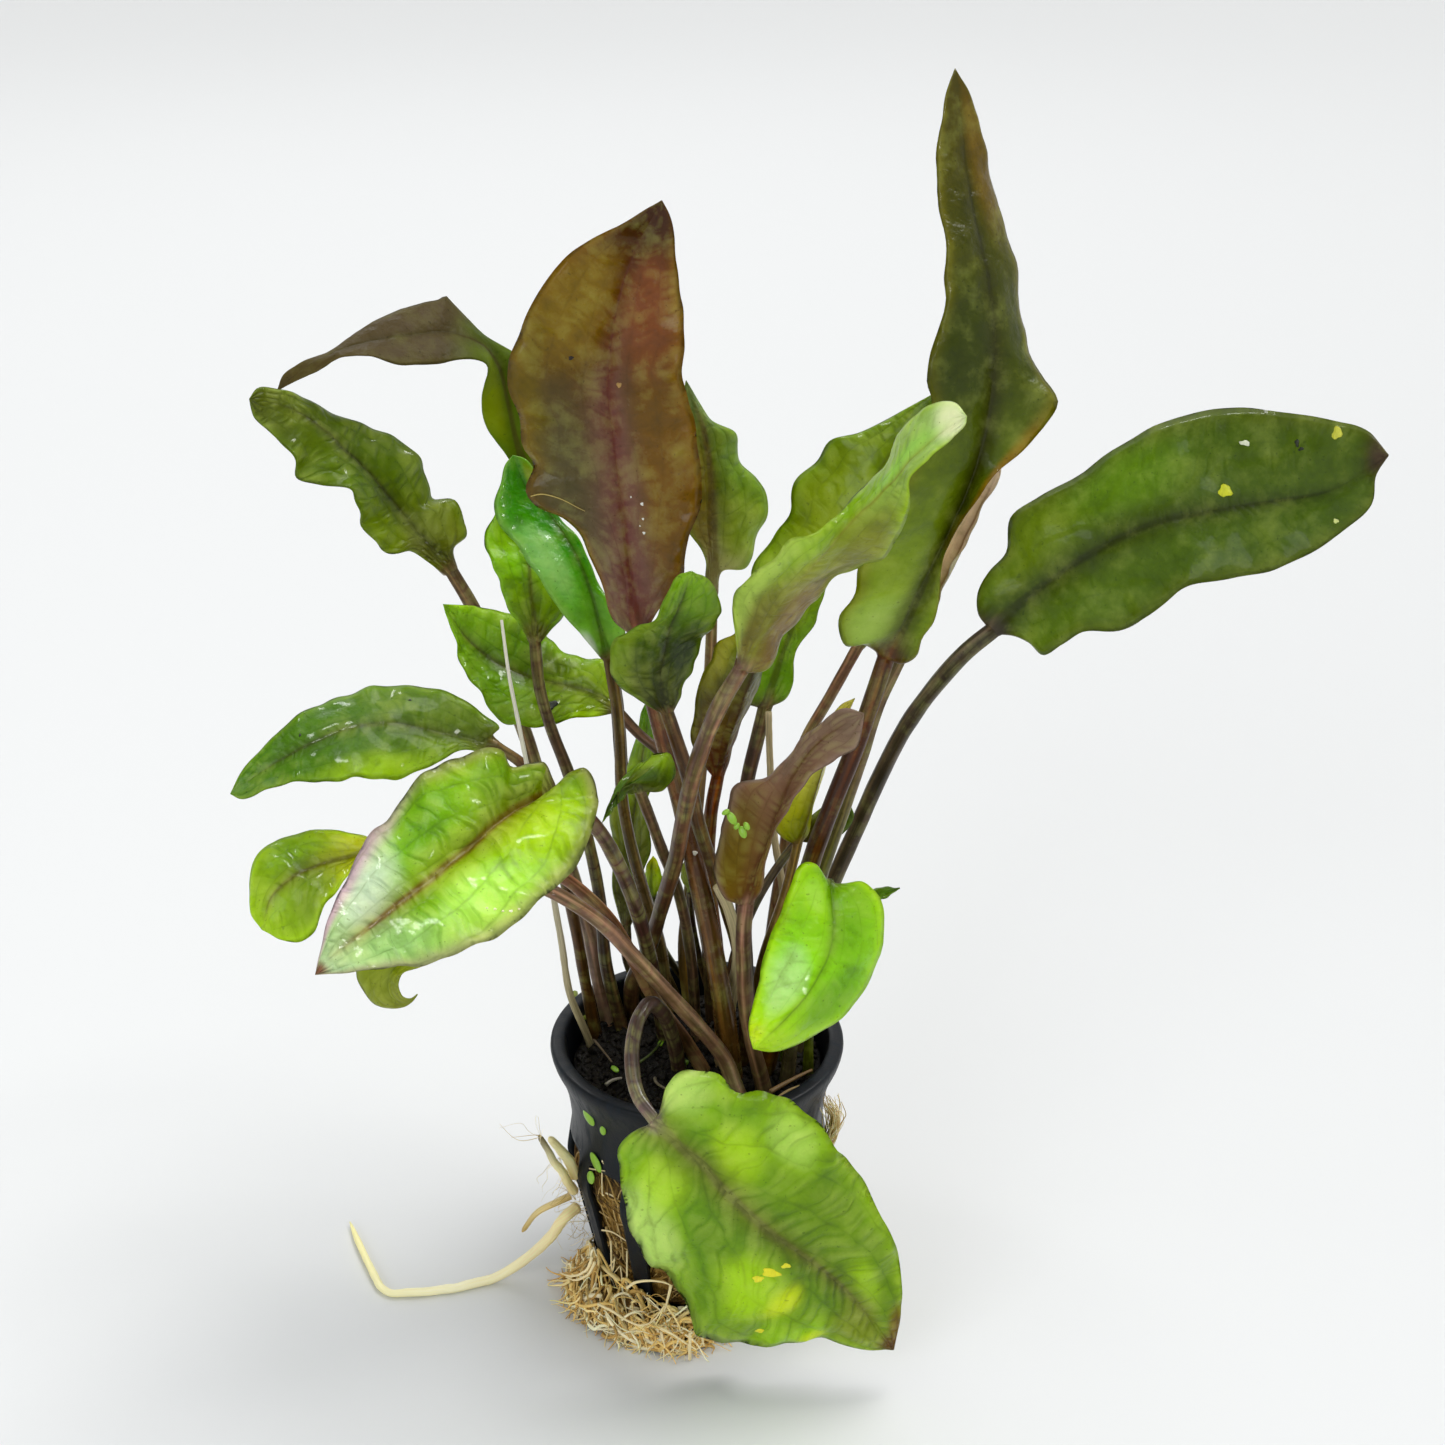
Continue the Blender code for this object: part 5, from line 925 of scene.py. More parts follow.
# the small green tip to the right of the leaf in front
leafBackRightSmall = {
    "soil": (18.8, -5), "width": (1.7, 1.5),
    "stalk": ((812, 1000, -6), (830, 940, -7), (846, 905, -8)),
    "midrib": ((862, 897, -9), (880, 892, -10), (900, 888, -11)),
    "left": ((850, 896), (866, 890), (884, 888)),
    "right": ((856, 906), (872, 903), (888, 896)),
    "liftLeft": (2, 3, 2), "liftRight": (-1, -2, -1),
    "blade": ("#669107", "#7eaa21", "#4c6e11"), "margin": "#74942a", "rib": "#5c8a1c", "under": "#627421",
    "stalkPaint": ("#5b6223", "#657923"), "wave": (0.2, 2),
}
addLeaf("leaf_back_right_small", leafBackRightSmall)

# a small dark green leaf in the middle of the crown
leafSmallCentre = {
    "soil": (-0.2, 5.4), "width": (1.9, 1.8),
    "stalk": ((690, 950, 1), (677, 888, -1.5), (662, 850, -5), (649, 815, -10), (640, 792, -15)),
    "midrib": ((636, 782, -16), (625, 785, -18), (613, 800, -20), (602, 823, -22)),
    "left": ((628, 797), (619, 803), (609, 816)),
    "right": ((665, 790), (675, 772), (668, 752), (648, 758), (628, 772), (610, 800)),
    "liftLeft": (-1, -1, -1), "liftRight": (3, 4, 2),
    "blade": ("#535807", "#476f0e", "#6b8c25"), "margin": "#76991a", "rib": "#33380e", "under": "#798524",
    "stalkPaint": ("#5d4a3d", "#6f5949"), "wave": (0.3, 2.5),
    "patchesAndSheen": ((0.9, 0.45, 0.3, 0.15, "#9ec20f", 0.7),),
}
addLeaf("leaf_small_centre", leafSmallCentre)

# a narrow upright leaf between the stalks
leafUprightOlive = {
    "soil": (-8.2, 16.8), "width": (2.2, 1.8),
    "stalk": ((628, 960, 18), (626, 925, 18)),
    "midrib": ((628, 880, 18), (632, 830, 20), (639, 780, 22), (646, 735, 23.5), (649, 697, 24)),
    "left": ((614, 895), (613, 850), (609, 820), (616, 790), (628, 760), (638, 730), (642, 710)),
    "right": ((640, 900), (644, 870), (651, 845), (646, 815), (650, 785), (655, 750), (656, 715)),
    "liftLeft": (1, 3, 2), "liftRight": (-2, -3, -2),
    "blade": ("#3c3107", "#7f8f07", "#7cac4c"), "margin": "#779025", "rib": "#3c3810", "under": "#75762a",
    "stalkPaint": ("#453023", "#503b2d"), "wave": (0.3, 3),
    "patchesAndSheen": ((-0.4, 0.62, 0.4, 0.12, "#a6c838", 0.6),),
}
addLeaf("leaf_upright_olive", leafUprightOlive)

# a leaf hidden behind the tall one
leafHiddenRight = {
    "soil": (12.2, 12.6), "width": (2.2, 1.9),
    "stalk": ((770, 950, 13), (783, 860, 18), (808, 735, 20), (828, 700, 20), (857, 648, 20)),
    "midrib": ((872, 615, 20), (890, 575, 21), (906, 540, 22), (922, 500, 23)),
    "left": ((862, 622), (868, 590), (884, 550), (904, 515)),
    "right": ((880, 632), (900, 600), (916, 560), (926, 525)),
    "liftLeft": (3, 5, 3), "liftRight": (1, 2, 1),
    "blade": ("#7c9a40", "#6c8c30", "#50660c"), "margin": "#7a8c3a", "rib": "#5a6a1c", "under": "#6e6e3a",
    "stalkPaint": ("#715440", "#916f5d"), "wave": (0.4, 3),
}
addLeaf("leaf_hidden_right", leafHiddenRight)

# two young leaves in the crown
sproutGreenLeft = {
    "soil": (-0.6, 19.2), "width": (1.4, 1.2),
    "stalk": ((658, 935, 17), (653, 897, 17)),
    "midrib": ((651, 884, 17), (652, 871, 17), (653, 856, 17)),
    "left": ((645, 886), (645, 874), (648, 863)),
    "right": ((660, 888), (661, 874), (657, 862)),
    "liftLeft": (1, 2, 1), "liftRight": (-1, -1, -1),
    "blade": ("#aeca0b", "#d0ef10", "#efef16"), "margin": "#aacf16", "rib": "#566c0c", "under": "#a0c81c",
    "stalkPaint": ("#48382a", "#54552d"), "wave": (0.1, 2),
}
addLeaf("sprout_green_left", sproutGreenLeft)

sproutGreenRight = {
    "soil": (2.6, 16.6), "width": (1.4, 1.2),
    "stalk": ((693, 930, 11), (689, 893, 9)),
    "midrib": ((688, 882, 9), (686, 872, 9), (684, 862, 9)),
    "left": ((683, 882), (680, 872), (681, 866)),
    "right": ((694, 882), (692, 872), (688, 865)),
    "liftLeft": (1, 2, 1), "liftRight": (-1, -1, -1),
    "blade": ("#6c7a10", "#8c9e18", "#8e9a38"), "margin": "#7c8a2c", "rib": "#76861c", "under": "#7a8a2c",
    "stalkPaint": ("#4a3b2e", "#4d3d2e"), "wave": (0.1, 2),
}
addLeaf("sprout_green_right", sproutGreenRight)

print("leaves are grown")

# ---- pot: injection moulded polypropylene, blue-black, satin, scuffed and slightly dusty

pot = {"height": 48.0, "rim": 25.0, "rimInner": 22.6, "waist": 21.7, "waistHeight": 32.5,
       "body": 22.8, "bodyHeight": 25.5, "foot": 17.5, "wall": 1.2, "floor": 1.6,
       "slots": 12, "slotBottom": 4.0, "slotTop": 30.5, "slotWidth": (6.4, 8.4), "slotCorner": 1.3,
       "paint": "#090e14", "worn": "#161f28", "roughness": 0.46, "grain": 0.35}


def plasticMaterial(name, look):
    # a satin moulded skin: a grain finer than half a millimetre, scuffs that are paler and rougher
    material, tree = newMaterial(name)
    coords = addNode(tree, "ShaderNodeTexCoord")
    inMm = addNode(tree, "ShaderNodeVectorMath", {"operation": "SCALE", "Scale": 1000.0},
                   {0: coords.outputs["Object"]})
    grain = addNode(tree, "ShaderNodeTexNoise", {"Scale": 1.0 / look["grain"], "Detail": 3.0},
                    {"Vector": inMm.outputs[0]})
    upright = addNode(tree, "ShaderNodeMapping", {"Scale": (1.0, 1.0, 0.16)}, {"Vector": inMm.outputs[0]})
    scuff = addNode(tree, "ShaderNodeTexNoise", {"Scale": 0.55, "Detail": 7.0, "Roughness": 0.7},
                    {"Vector": upright.outputs[0]})
    worn = addNode(tree, "ShaderNodeMapRange", {"From Min": 0.48, "From Max": 0.72}, {"Value": scuff.outputs["Fac"]})
    colour = addNode(tree, "ShaderNodeMix", {"data_type": "RGBA", 6: paint(look["paint"]), 7: paint(look["worn"])},
                     {0: worn.outputs[0]})
    rough = addNode(tree, "ShaderNodeMapRange", {"To Min": look["roughness"] - 0.06,
                                                 "To Max": look["roughness"] + 0.25}, {"Value": worn.outputs[0]})
    relief = addNode(tree, "ShaderNodeBump", {"Distance": 0.05 * mm, "Strength": 0.6},
                     {"Height": grain.outputs["Fac"]})
    shader = addNode(tree, "ShaderNodeBsdfPrincipled", {"IOR": 1.49, "Specular IOR Level": 0.2},
                     {"Base Color": colour.outputs[2], "Roughness": rough.outputs[0],
                      "Normal": relief.outputs[0]})
    addNode(tree, "ShaderNodeOutputMaterial", links={"Surface": shader.outputs[0]})
    return material


def potSurface(look):
    # one profile of (radius, height) from the foot's middle over the rim to the floor's middle, carried
    # round; in the slots' rows the columns slide so that a slot's edge lies on a column
    rim, height, wall = look["rim"], look["height"], look["wall"]
    outside = np.array(((0.0, 0.0), (8.0, 0.0), (14.0, 0.0), (16.2, 0.0), (16.9, 0.15), (17.3, 0.5), (17.5, 0.9),
                        (17.72, 2.0), (18.1, 4.0)))
    inSlots = np.linspace(0.0, 1.0, 13)
    inSlots = np.concatenate(((0.0, 0.012, 0.035), inSlots[1:-1], (0.965, 0.988, 1.0)))
    rows = look["slotBottom"] + inSlots * (look["slotTop"] - look["slotBottom"])

    def outer(z):
        return np.interp(z, (0.0, 0.8, 22.5, 24.6, 25.5, 26.6, 32.5, 36.0, 39.0),
                         (17.0, 17.5, 22.0, 22.65, 22.75, 22.6, 21.7, 21.85, 22.3))

    neck = np.array(((outer(31.2), 31.2), (21.7, 32.5), (21.75, 34.5), (22.0, 37.0), (22.35, 39.2), (22.9, 41.4),
                     (23.6, 43.2), (24.2, 44.5), (24.55, 45.3), (24.85, 46.3), (25.0, 47.1), (24.95, 47.6),
                     (24.75, 47.9), (24.4, 48.0), (23.4, 48.0), (22.75, 47.95), (22.5, 47.7), (22.3, 47.2),
                     (21.9, 44.0), (21.3, 40.0), (20.7, 36.0), (20.5, 32.5), (outer(31.2) - wall, 31.2)))
    inside = np.array(((outer(3.0) - wall, 3.0), (16.9, 2.2), (16.4, 1.75), (15.6, 1.6), (8.0, 1.6), (0.0, 1.6)))
    profile = np.concatenate((outside[1:-1], np.column_stack((outer(rows), rows)), neck,
                              np.column_stack((outer(rows) - wall, rows))[::-1], inside[:-1]))
    firstOut = len(outside) - 2
    firstIn = firstOut + len(rows) + len(neck)

    # columns of one sector: 6 steps of rib, 8 of slot, 6 of rib
    sector = turn / look["slots"]
    share = np.concatenate((np.linspace(-1.0, 0.0, 7)[:-1], np.linspace(0.0, 1.0, 9)[:-1],
                            np.linspace(1.0, 2.0, 7)[:-1]))
    z, radius = profile[:, 1], profile[:, 0]
    width = np.interp(z, (look["slotBottom"], look["slotTop"]), look["slotWidth"])
    nearEnd = np.minimum(z - look["slotBottom"], look["slotTop"] - z)
    corner = look["slotCorner"]
    width = width - 2.0 * np.where((nearEnd >= -0.01) & (nearEnd < corner),
                                   corner - np.sqrt(np.maximum(corner**2 - (corner - nearEnd)**2, 0.0)), 0.0)
    halfSlot = np.arcsin(np.clip(width / 2.0 / np.maximum(radius, 8.0), 0.0, 0.24))
    halfSlot = halfSlot[:, None]
    angle = np.where(share < 0.0, -sector / 2.0 + (share + 1.0) * (sector / 2.0 - halfSlot),
                     np.where(share <= 1.0, (share * 2.0 - 1.0) * halfSlot,
                              halfSlot + (share - 1.0) * (sector / 2.0 - halfSlot)))
    turns = np.arange(look["slots"]) * sector + sector / 2.0
    angle = (turns[None, :, None] + angle[:, None, :]).reshape(len(profile), -1)
    points = np.stack((radius[:, None] * np.sin(angle), -radius[:, None] * np.cos(angle),
                       z[:, None] + 0.0 * angle), axis=-1).reshape(-1, 3)
    columns = angle.shape[1]
    faces = gridFaces(len(profile), columns)

    # cells of the slots are left out of both walls, and the slots' edges are joined through the wall
    row, column = np.arange(len(faces)) // columns, np.arange(len(faces)) % columns
    openCells = (column % 20 >= 6) & (column % 20 < 14)
    inOut = (row >= firstOut) & (row < firstOut + len(rows) - 1)
    inIn = (row >= firstIn) & (row < firstIn + len(rows) - 1)
    faces = faces[~(openCells & (inOut | inIn))]

    def cornerOf(r, c):
        return r * columns + c % columns

    def innerRow(r):
        return firstIn + (len(rows) - 1) - (r - firstOut)

    r = np.arange(firstOut, firstOut + len(rows) - 1)
    walls = []
    for slot in range(look["slots"]):
        left, right = slot * 20 + 6, slot * 20 + 14
        walls.append(np.stack((cornerOf(r, left), cornerOf(innerRow(r), left),
                               cornerOf(innerRow(r + 1), left), cornerOf(r + 1, left)), axis=1))
        walls.append(np.stack((cornerOf(r, right), cornerOf(r + 1, right),
                               cornerOf(innerRow(r + 1), right), cornerOf(innerRow(r), right)), axis=1))
        c = np.arange(left, right)
        low, high = firstOut, firstOut + len(rows) - 1
        walls.append(np.stack((cornerOf(low, c), cornerOf(low, c + 1), cornerOf(innerRow(low), c + 1),
                               cornerOf(innerRow(low), c)), axis=1))
        walls.append(np.stack((cornerOf(high, c), cornerOf(innerRow(high), c), cornerOf(innerRow(high), c + 1),
                               cornerOf(high, c + 1)), axis=1))
    points = np.concatenate((points, [(0.0, 0.0, 0.0), (0.0, 0.0, look["floor"])]))
    last = (len(profile) - 1) * columns
    fans = np.concatenate((fanFaces(np.arange(columns)[::-1], len(points) - 2),
                           fanFaces(last + np.arange(columns), len(points) - 1)))
    return points, [faces] + walls + [fans]


potPlastic = plasticMaterial("mouldedPolypropylene", pot)
place(fillPiece("pot_moulded", *potSurface(pot)), potPlastic, "pot_plastic", "pot")
print("pot is moulded")

# ---- soil: wet peat with fibres, near black, with crumbs that glint where they are wet

soil = {"top": 44.0, "paint": ("#070503", "#130f08", "#2e2412"), "rootBound": ("#2a1c0c", "#7a5a22", "#c09a54"),
        "crumbs": 1500, "crumbSize": (0.35, 1.15), "crumbPaint": ("#0b0906", "#1d170d", "#4c3e24")}


def peatMaterial(name, tones, wet, deepTones=None):
    # peat: dark crumbs and paler fibres, rough, with a wet film in places; deep down it is bound with roots
    material, tree = newMaterial(name)
    coords = addNode(tree, "ShaderNodeTexCoord")
    inMm = addNode(tree, "ShaderNodeVectorMath", {"operation": "SCALE", "Scale": 1000.0},
                   {0: coords.outputs["Object"]})
    grain = addNode(tree, "ShaderNodeTexNoise", {"Scale": 0.9, "Detail": 8.0, "Roughness": 0.75},
                    {"Vector": inMm.outputs[0]})
    tone = addNode(tree, "ShaderNodeValToRGB", links={"Fac": grain.outputs["Fac"]})
    stopsOf(tone, [(0.35, paint(tones[0])), (0.6, paint(tones[1])), (0.78, paint(tones[2]))])
    base = tone.outputs["Color"]
    if deepTones:
        drawn = addNode(tree, "ShaderNodeMapping", {"Scale": (1.0, 1.0, 0.35)}, {"Vector": inMm.outputs[0]})
        strands = addNode(tree, "ShaderNodeTexNoise", {"Scale": 0.75, "Detail": 8.0, "Roughness": 0.7,
                                                       "Distortion": 1.4}, {"Vector": drawn.outputs[0]})
        deep = addNode(tree, "ShaderNodeValToRGB", links={"Fac": strands.outputs["Fac"]})
        stopsOf(deep, [(0.36, paint(deepTones[0])), (0.5, paint(deepTones[1])), (0.66, paint(deepTones[2]))])
        spot = addNode(tree, "ShaderNodeSeparateXYZ", links={0: inMm.outputs[0]})
        low = addNode(tree, "ShaderNodeMapRange", {"From Min": 33.0, "From Max": 24.0}, {"Value": spot.outputs[2]})
        base = addNode(tree, "ShaderNodeMix", {"data_type": "RGBA"},
                       {0: low.outputs[0], 6: base, 7: deep.outputs["Color"]}).outputs[2]
    film = addNode(tree, "ShaderNodeMapRange", {"From Min": 0.4, "From Max": 0.62, "To Min": wet, "To Max": 0.9},
                   {"Value": grain.outputs["Fac"]})
    relief = addNode(tree, "ShaderNodeBump", {"Distance": 0.35 * mm, "Strength": 1.0},
                     {"Height": grain.outputs["Fac"]})
    shader = addNode(tree, "ShaderNodeBsdfPrincipled", {"IOR": 1.4, "Specular IOR Level": 0.22},
                     {"Base Color": base, "Roughness": film.outputs[0], "Normal": relief.outputs[0]})
    addNode(tree, "ShaderNodeOutputMaterial", links={"Surface": shader.outputs[0]})
    return material


wetPeat = peatMaterial("wetPeat", soil["paint"], 0.35, soil["rootBound"])
peatCrumb = peatMaterial("peatCrumb", soil["crumbPaint"], 0.3)


def soilHeight(x, y):
    # lumps over the level top, sinking a little towards the wall
    flat = np.stack((x, y, np.zeros_like(x)), axis=-1)
    away = np.sqrt(x * x + y * y) / 21.3
    return soil["top"] - 0.2 + softNoise(flat, 9.0, 5) * 0.5 + softNoise(flat, 2.6, 6) * 0.35 - 1.1 * away ** 6


def addSoil():
    # the pot's inner profile a little inside the wall, closed by a lumpy top and a flat floor
    around = np.arange(144) * turn / 144
    side = np.array(((15.6, 2.1), (16.0, 2.6), (17.6, 9.0), (18.9, 15.5), (20.0, 20.5), (21.1, 25.3), (20.9, 27.5),
                     (20.1, 32.5), (20.6, 37.0), (21.1, 41.5)))
    side = np.column_stack([np.interp(np.linspace(0, 9, 46), np.arange(10), side[:, i]) for i in (0, 1)])
    wall = np.stack((side[:, :1] * np.cos(around), side[:, :1] * np.sin(around), side[:, 1:] + 0.0 * around), axis=-1)
    wall = wall * (1.0 + 0.012 * (softNoise(wall, 2.4, 8) - 0.6))[..., None] ** (1.0, 1.0, 0.0)
    inward = np.linspace(21.15, 0.6, 40)[:, None]
    x, y = inward * np.cos(around), inward * np.sin(around)
    top = np.stack((x, y, soilHeight(x, y)), axis=-1)
    rings = np.concatenate((wall, top))
    points = np.concatenate((rings.reshape(-1, 3), [(0.0, 0.0, 2.1), (0.0, 0.0, float(soilHeight(0.0, 0.0)))]))
    count = len(rings)
    faces = [gridFaces(count, 144), fanFaces(np.arange(144)[::-1], count * 144),
             fanFaces((count - 1) * 144 + np.arange(144), count * 144 + 1)]
    place(fillPiece("soil_lumpy", points, faces), wetPeat, "planting_medium", "soil")


def addCrumbs():
    # a twelve-cornered lump, copied with its own size, squash and turn over the soil's top
    dice = np.random.default_rng(11)
    gold = (1.0 + math.sqrt(5.0)) / 2.0
    lump = unit(np.array([(0, a, b * gold) for a in (-1, 1) for b in (-1, 1)]
                         + [(a, b * gold, 0) for a in (-1, 1) for b in (-1, 1)]
                         + [(b * gold, 0, a) for a in (-1, 1) for b in (-1, 1)], float))
    near = np.linalg.norm(lump[:, None] - lump[None], axis=-1) < 1.1
    faces = np.array([(i, j, k) for i in range(12) for j in range(i + 1, 12) for k in range(j + 1, 12)
                      if near[i, j] and near[j, k] and near[i, k]])
    outward = np.einsum("ij,ij->i", lump[faces[:, 0]], np.cross(lump[faces[:, 1]], lump[faces[:, 2]])) > 0.0
    faces = np.where(outward[:, None], faces, faces[:, ::-1])
    count = soil["crumbs"]
    radius, angle = 20.6 * np.sqrt(dice.uniform(0.0, 1.0, count)), dice.uniform(0.0, turn, count)
    x, y = radius * np.cos(angle), radius * np.sin(angle)
    size = dice.uniform(*soil["crumbSize"], count) ** 1.4
    squash = dice.uniform(0.45, 1.0, (count, 3))
    squash[:, 0] *= dice.uniform(1.0, 2.2, count)
    bumpy = lump[None] * dice.uniform(0.75, 1.2, (count, 12, 1)) * squash[:, None]
    spin = dice.uniform(0.0, turn, count)[:, None]
    tilt = dice.uniform(-0.7, 0.7, count)[:, None]
    bx = bumpy[..., 0] * np.cos(spin) - bumpy[..., 1] * np.sin(spin)
    by = bumpy[..., 0] * np.sin(spin) + bumpy[..., 1] * np.cos(spin)
    bz = bumpy[..., 2] + bx * tilt
    points = np.stack((bx, by, bz), axis=-1) * size[:, None, None]
    points += np.stack((x, y, soilHeight(x, y) + 0.1), axis=-1)[:, None]
    allFaces = (faces[None] + np.arange(count)[:, None, None] * 12).reshape(-1, 3)
    place(fillPiece("soil_crumbs", points.reshape(-1, 3), [allFaces]), peatCrumb, "planting_medium")


addSoil()
addCrumbs()
print("soil is in")

# ---- bare stalks: a bleached dead stalk, a cut one and a thin pale one

dryStalk = {"soil": (-18.6, 3.8), "width": (1.35, 0.45), "flat": 0.35, "ends": ("#b5a67a", "#e9e4d2"),
            "picks": ((572, 1000, -2), (560, 930, -6), (540, 830, -11), (521, 732, -14), (508, 670, -16),
                      (502, 620, -17))}
brokenStub = {"soil": (4.0, -2.5), "width": (2.4, 1.7), "flat": 0.8, "ends": ("#8a744a", "#c8b890"),
              "picks": ((731, 1000, -3), (738, 950, -6.5), (729, 910, -9), (718, 886, -10))}
paleStalk = {"soil": (14.5, 6.6), "width": (1.5, 1.1), "flat": 0.8, "ends": ("#7c6c42", "#cbb98e"),
             "picks": ((788, 950, 9), (783, 890, 11), (774, 835, 13), (770, 770, 14), (769, 712, 14))}


def fibreMaterial(name, look):
    # dead plant fibre: bleached streaks along the stalk, dull, with a fine fibrous relief
    material, tree = newMaterial(name)
    mark = addNode(tree, "ShaderNodeAttribute", {"attribute_name": "alongMm"})
    tint = addNode(tree, "ShaderNodeAttribute", {"attribute_name": "tint"})
    squeezed = addNode(tree, "ShaderNodeMapping", {"Scale": (3.0, 3.0, 0.12)}, {"Vector": mark.outputs["Vector"]})
    streak = addNode(tree, "ShaderNodeTexNoise", {"Scale": 1.0, "Detail": 4.0, "Roughness": 0.6},
                     {"Vector": squeezed.outputs[0]})
    shade = addNode(tree, "ShaderNodeMapRange", {"From Min": 0.3, "From Max": 0.7,
                                                 "To Min": look["lift"] - look["streak"], "To Max": look["lift"] + look["streak"]},
                    {"Value": streak.outputs["Fac"]})
    colour = addNode(tree, "ShaderNodeVectorMath", {"operation": "SCALE"},
                     {0: tint.outputs["Color"], "Scale": shade.outputs[0]})
    relief = addNode(tree, "ShaderNodeBump", {"Distance": 0.12 * mm, "Strength": 0.8},
                     {"Height": streak.outputs["Fac"]})
    rough = addNode(tree, "ShaderNodeMapRange", {"To Min": look["roughness"] - 0.12, "To Max": look["roughness"] + 0.12},
                    {"Value": streak.outputs["Fac"]})
    shader = addNode(tree, "ShaderNodeBsdfPrincipled", {"IOR": 1.45, "Coat Weight": look["film"],
                                                        "Coat Roughness": 0.2},
                     {"Base Color": colour.outputs[0], "Roughness": rough.outputs[0],
                      "Normal": relief.outputs[0]})
    through = addNode(tree, "ShaderNodeBsdfTranslucent", links={"Color": colour.outputs[0]})
    both = addNode(tree, "ShaderNodeMixShader", {0: look["throughLight"]},
                   {1: shader.outputs[0], 2: through.outputs[0]})
    addNode(tree, "ShaderNodeOutputMaterial", links={"Surface": both.outputs[0]})
    return material


driedFibre = fibreMaterial("bleachedStalkFibre", {"lift": 1.0, "streak": 0.30, "roughness": 0.6, "film": 0.05,
                                                  "throughLight": 0.15})
# rootSkin and rootFibre lift their tints above the paint: painted light that brightens the roots against the shade the
# plant casts on them
rootSkin = fibreMaterial("creamRootSkin", {"lift": 1.12, "streak": 0.14, "roughness": 0.42, "film": 0.15,
                                           "throughLight": 0.20})
rootFibre = fibreMaterial("driedRootFibre", {"lift": 1.25, "streak": 0.28, "roughness": 0.62, "film": 0.0,
                                             "throughLight": 0.12})


def tubeMarks(paths, block, sides, tints):
    # place along each tube in mm and its tint from one end to the other
    count, length = paths.shape[:2]
    run = np.concatenate((np.zeros((count, 1)),
                          np.cumsum(np.linalg.norm(np.diff(paths, axis=1), axis=2), axis=1)), axis=1)
    around = np.arange(sides) * turn / sides
    marks = np.zeros((count, block, 3))
    marks[:, :-2, 0] = np.tile(np.cos(around), length)
    marks[:, :-2, 1] = np.tile(np.sin(around), length)
    marks[:, :-2, 2] = np.repeat(run, sides, axis=1)
    marks[:, -1, 2] = run[:, -1]
    marks += np.arange(count)[:, None, None] * 7.3
    colour = np.zeros((count, block, 4))
    colour[:, :-2] = np.repeat(tints, sides, axis=1)
    colour[:, -2], colour[:, -1] = tints[:, 0], tints[:, -1]
    return {"alongMm": marks.reshape(-1, 3), "tint": colour.reshape(-1, 4)}


def addBareStalk(node, look, material, slot):
    # a tube through the picks, flattened towards its end like a dried petiole
    foot = np.array((*look["soil"], leafMesh["soilTop"]))
    path = atDepth(smoothCurve([(*seenAt(foot), foot[1]), *look["picks"]], np.linspace(0.0, 1.0, 60)))
    path = np.concatenate(([foot - (0.0, 0.0, leafMesh["socket"])], path))[None]
    path = path + softNoise(path, 20.0, len(node))[..., None] * (0.12, 0.12, 0.0)
    share = np.linspace(0.0, 1.0, path.shape[1])
    radii = np.interp(share, (0.0, 1.0), look["width"])[None] / 2.0
    points, faces, block = tubes(path, radii * (1.0 + 0.08 * softNoise(path, 3.0, 4)), 14)
    centre = np.repeat(path[0], 14, axis=0)
    body = points[:-2]
    squash = 1.0 - (1.0 - look["flat"]) * swell(np.repeat(share, 14), 0.05, 0.5)
    body[:, 1] = centre[:, 1] + (body[:, 1] - centre[:, 1]) * squash
    low, high = (np.array(paint(code)) for code in look["ends"])
    tints = (low + (high - low) * swell(share, 0.0, 0.75)[:, None])[None]
    piece = fillPiece(node + "_fibrous", np.concatenate((body, points[-2:])), faces, tubeMarks(path, block, 14, tints))
    place(piece, material, slot, node)


addBareStalk("dry_stalk", dryStalk, driedFibre, "dry_stalk")
addBareStalk("broken_stub", brokenStub, driedFibre, "dry_stalk")
addBareStalk("pale_stalk", paleStalk, driedFibre, "dry_stalk")
print("bare stalks stand")

# ---- thick roots: cream, smooth, growing out of the slots

longRoot = {"width": (2.0, 1.6, 1.1), "paint": ("#f8e8ac", "#fffbd8", "#fdf6b4"),
            "picks": ((577, 1207, -8), (565, 1217, -10), (552, 1235, -8.5), (527, 1258, -5.5),
                      (492, 1279, -6.2), (450, 1289, -8.6), (410, 1292, -9.6), (388, 1292, -9.4), (380, 1287, -8.2),
                      (374, 1274, -4.8), (362, 1250, 2.0), (350, 1222, 10.4))}
shortRoot = {"width": (1.4, 1.1, 0.8), "paint": ("#e6cf8c", "#f0dc9c", "#c2a45c"),
             "picks": ((570, 1196, -4.5), (555, 1203, -6), (538, 1212, -7), (522, 1232, -8))}
rootStubUpper = {"width": (2.0, 1.8, 1.2), "paint": ("#f2e2a0", "#fffad0", "#f8ecb8"),
                 "picks": ((575, 1175, -8.8), (569, 1162, -10.5), (560, 1150, -11.5), (549, 1137, -12))}
rootStubLower = {"width": (1.7, 1.4, 0.9), "paint": ("#f0dfa0", "#fdf4c4", "#7a6a48"),
                 "picks": ((574, 1191, -8.6), (563, 1174, -12.5), (551, 1155, -15), (539, 1135, -17))}


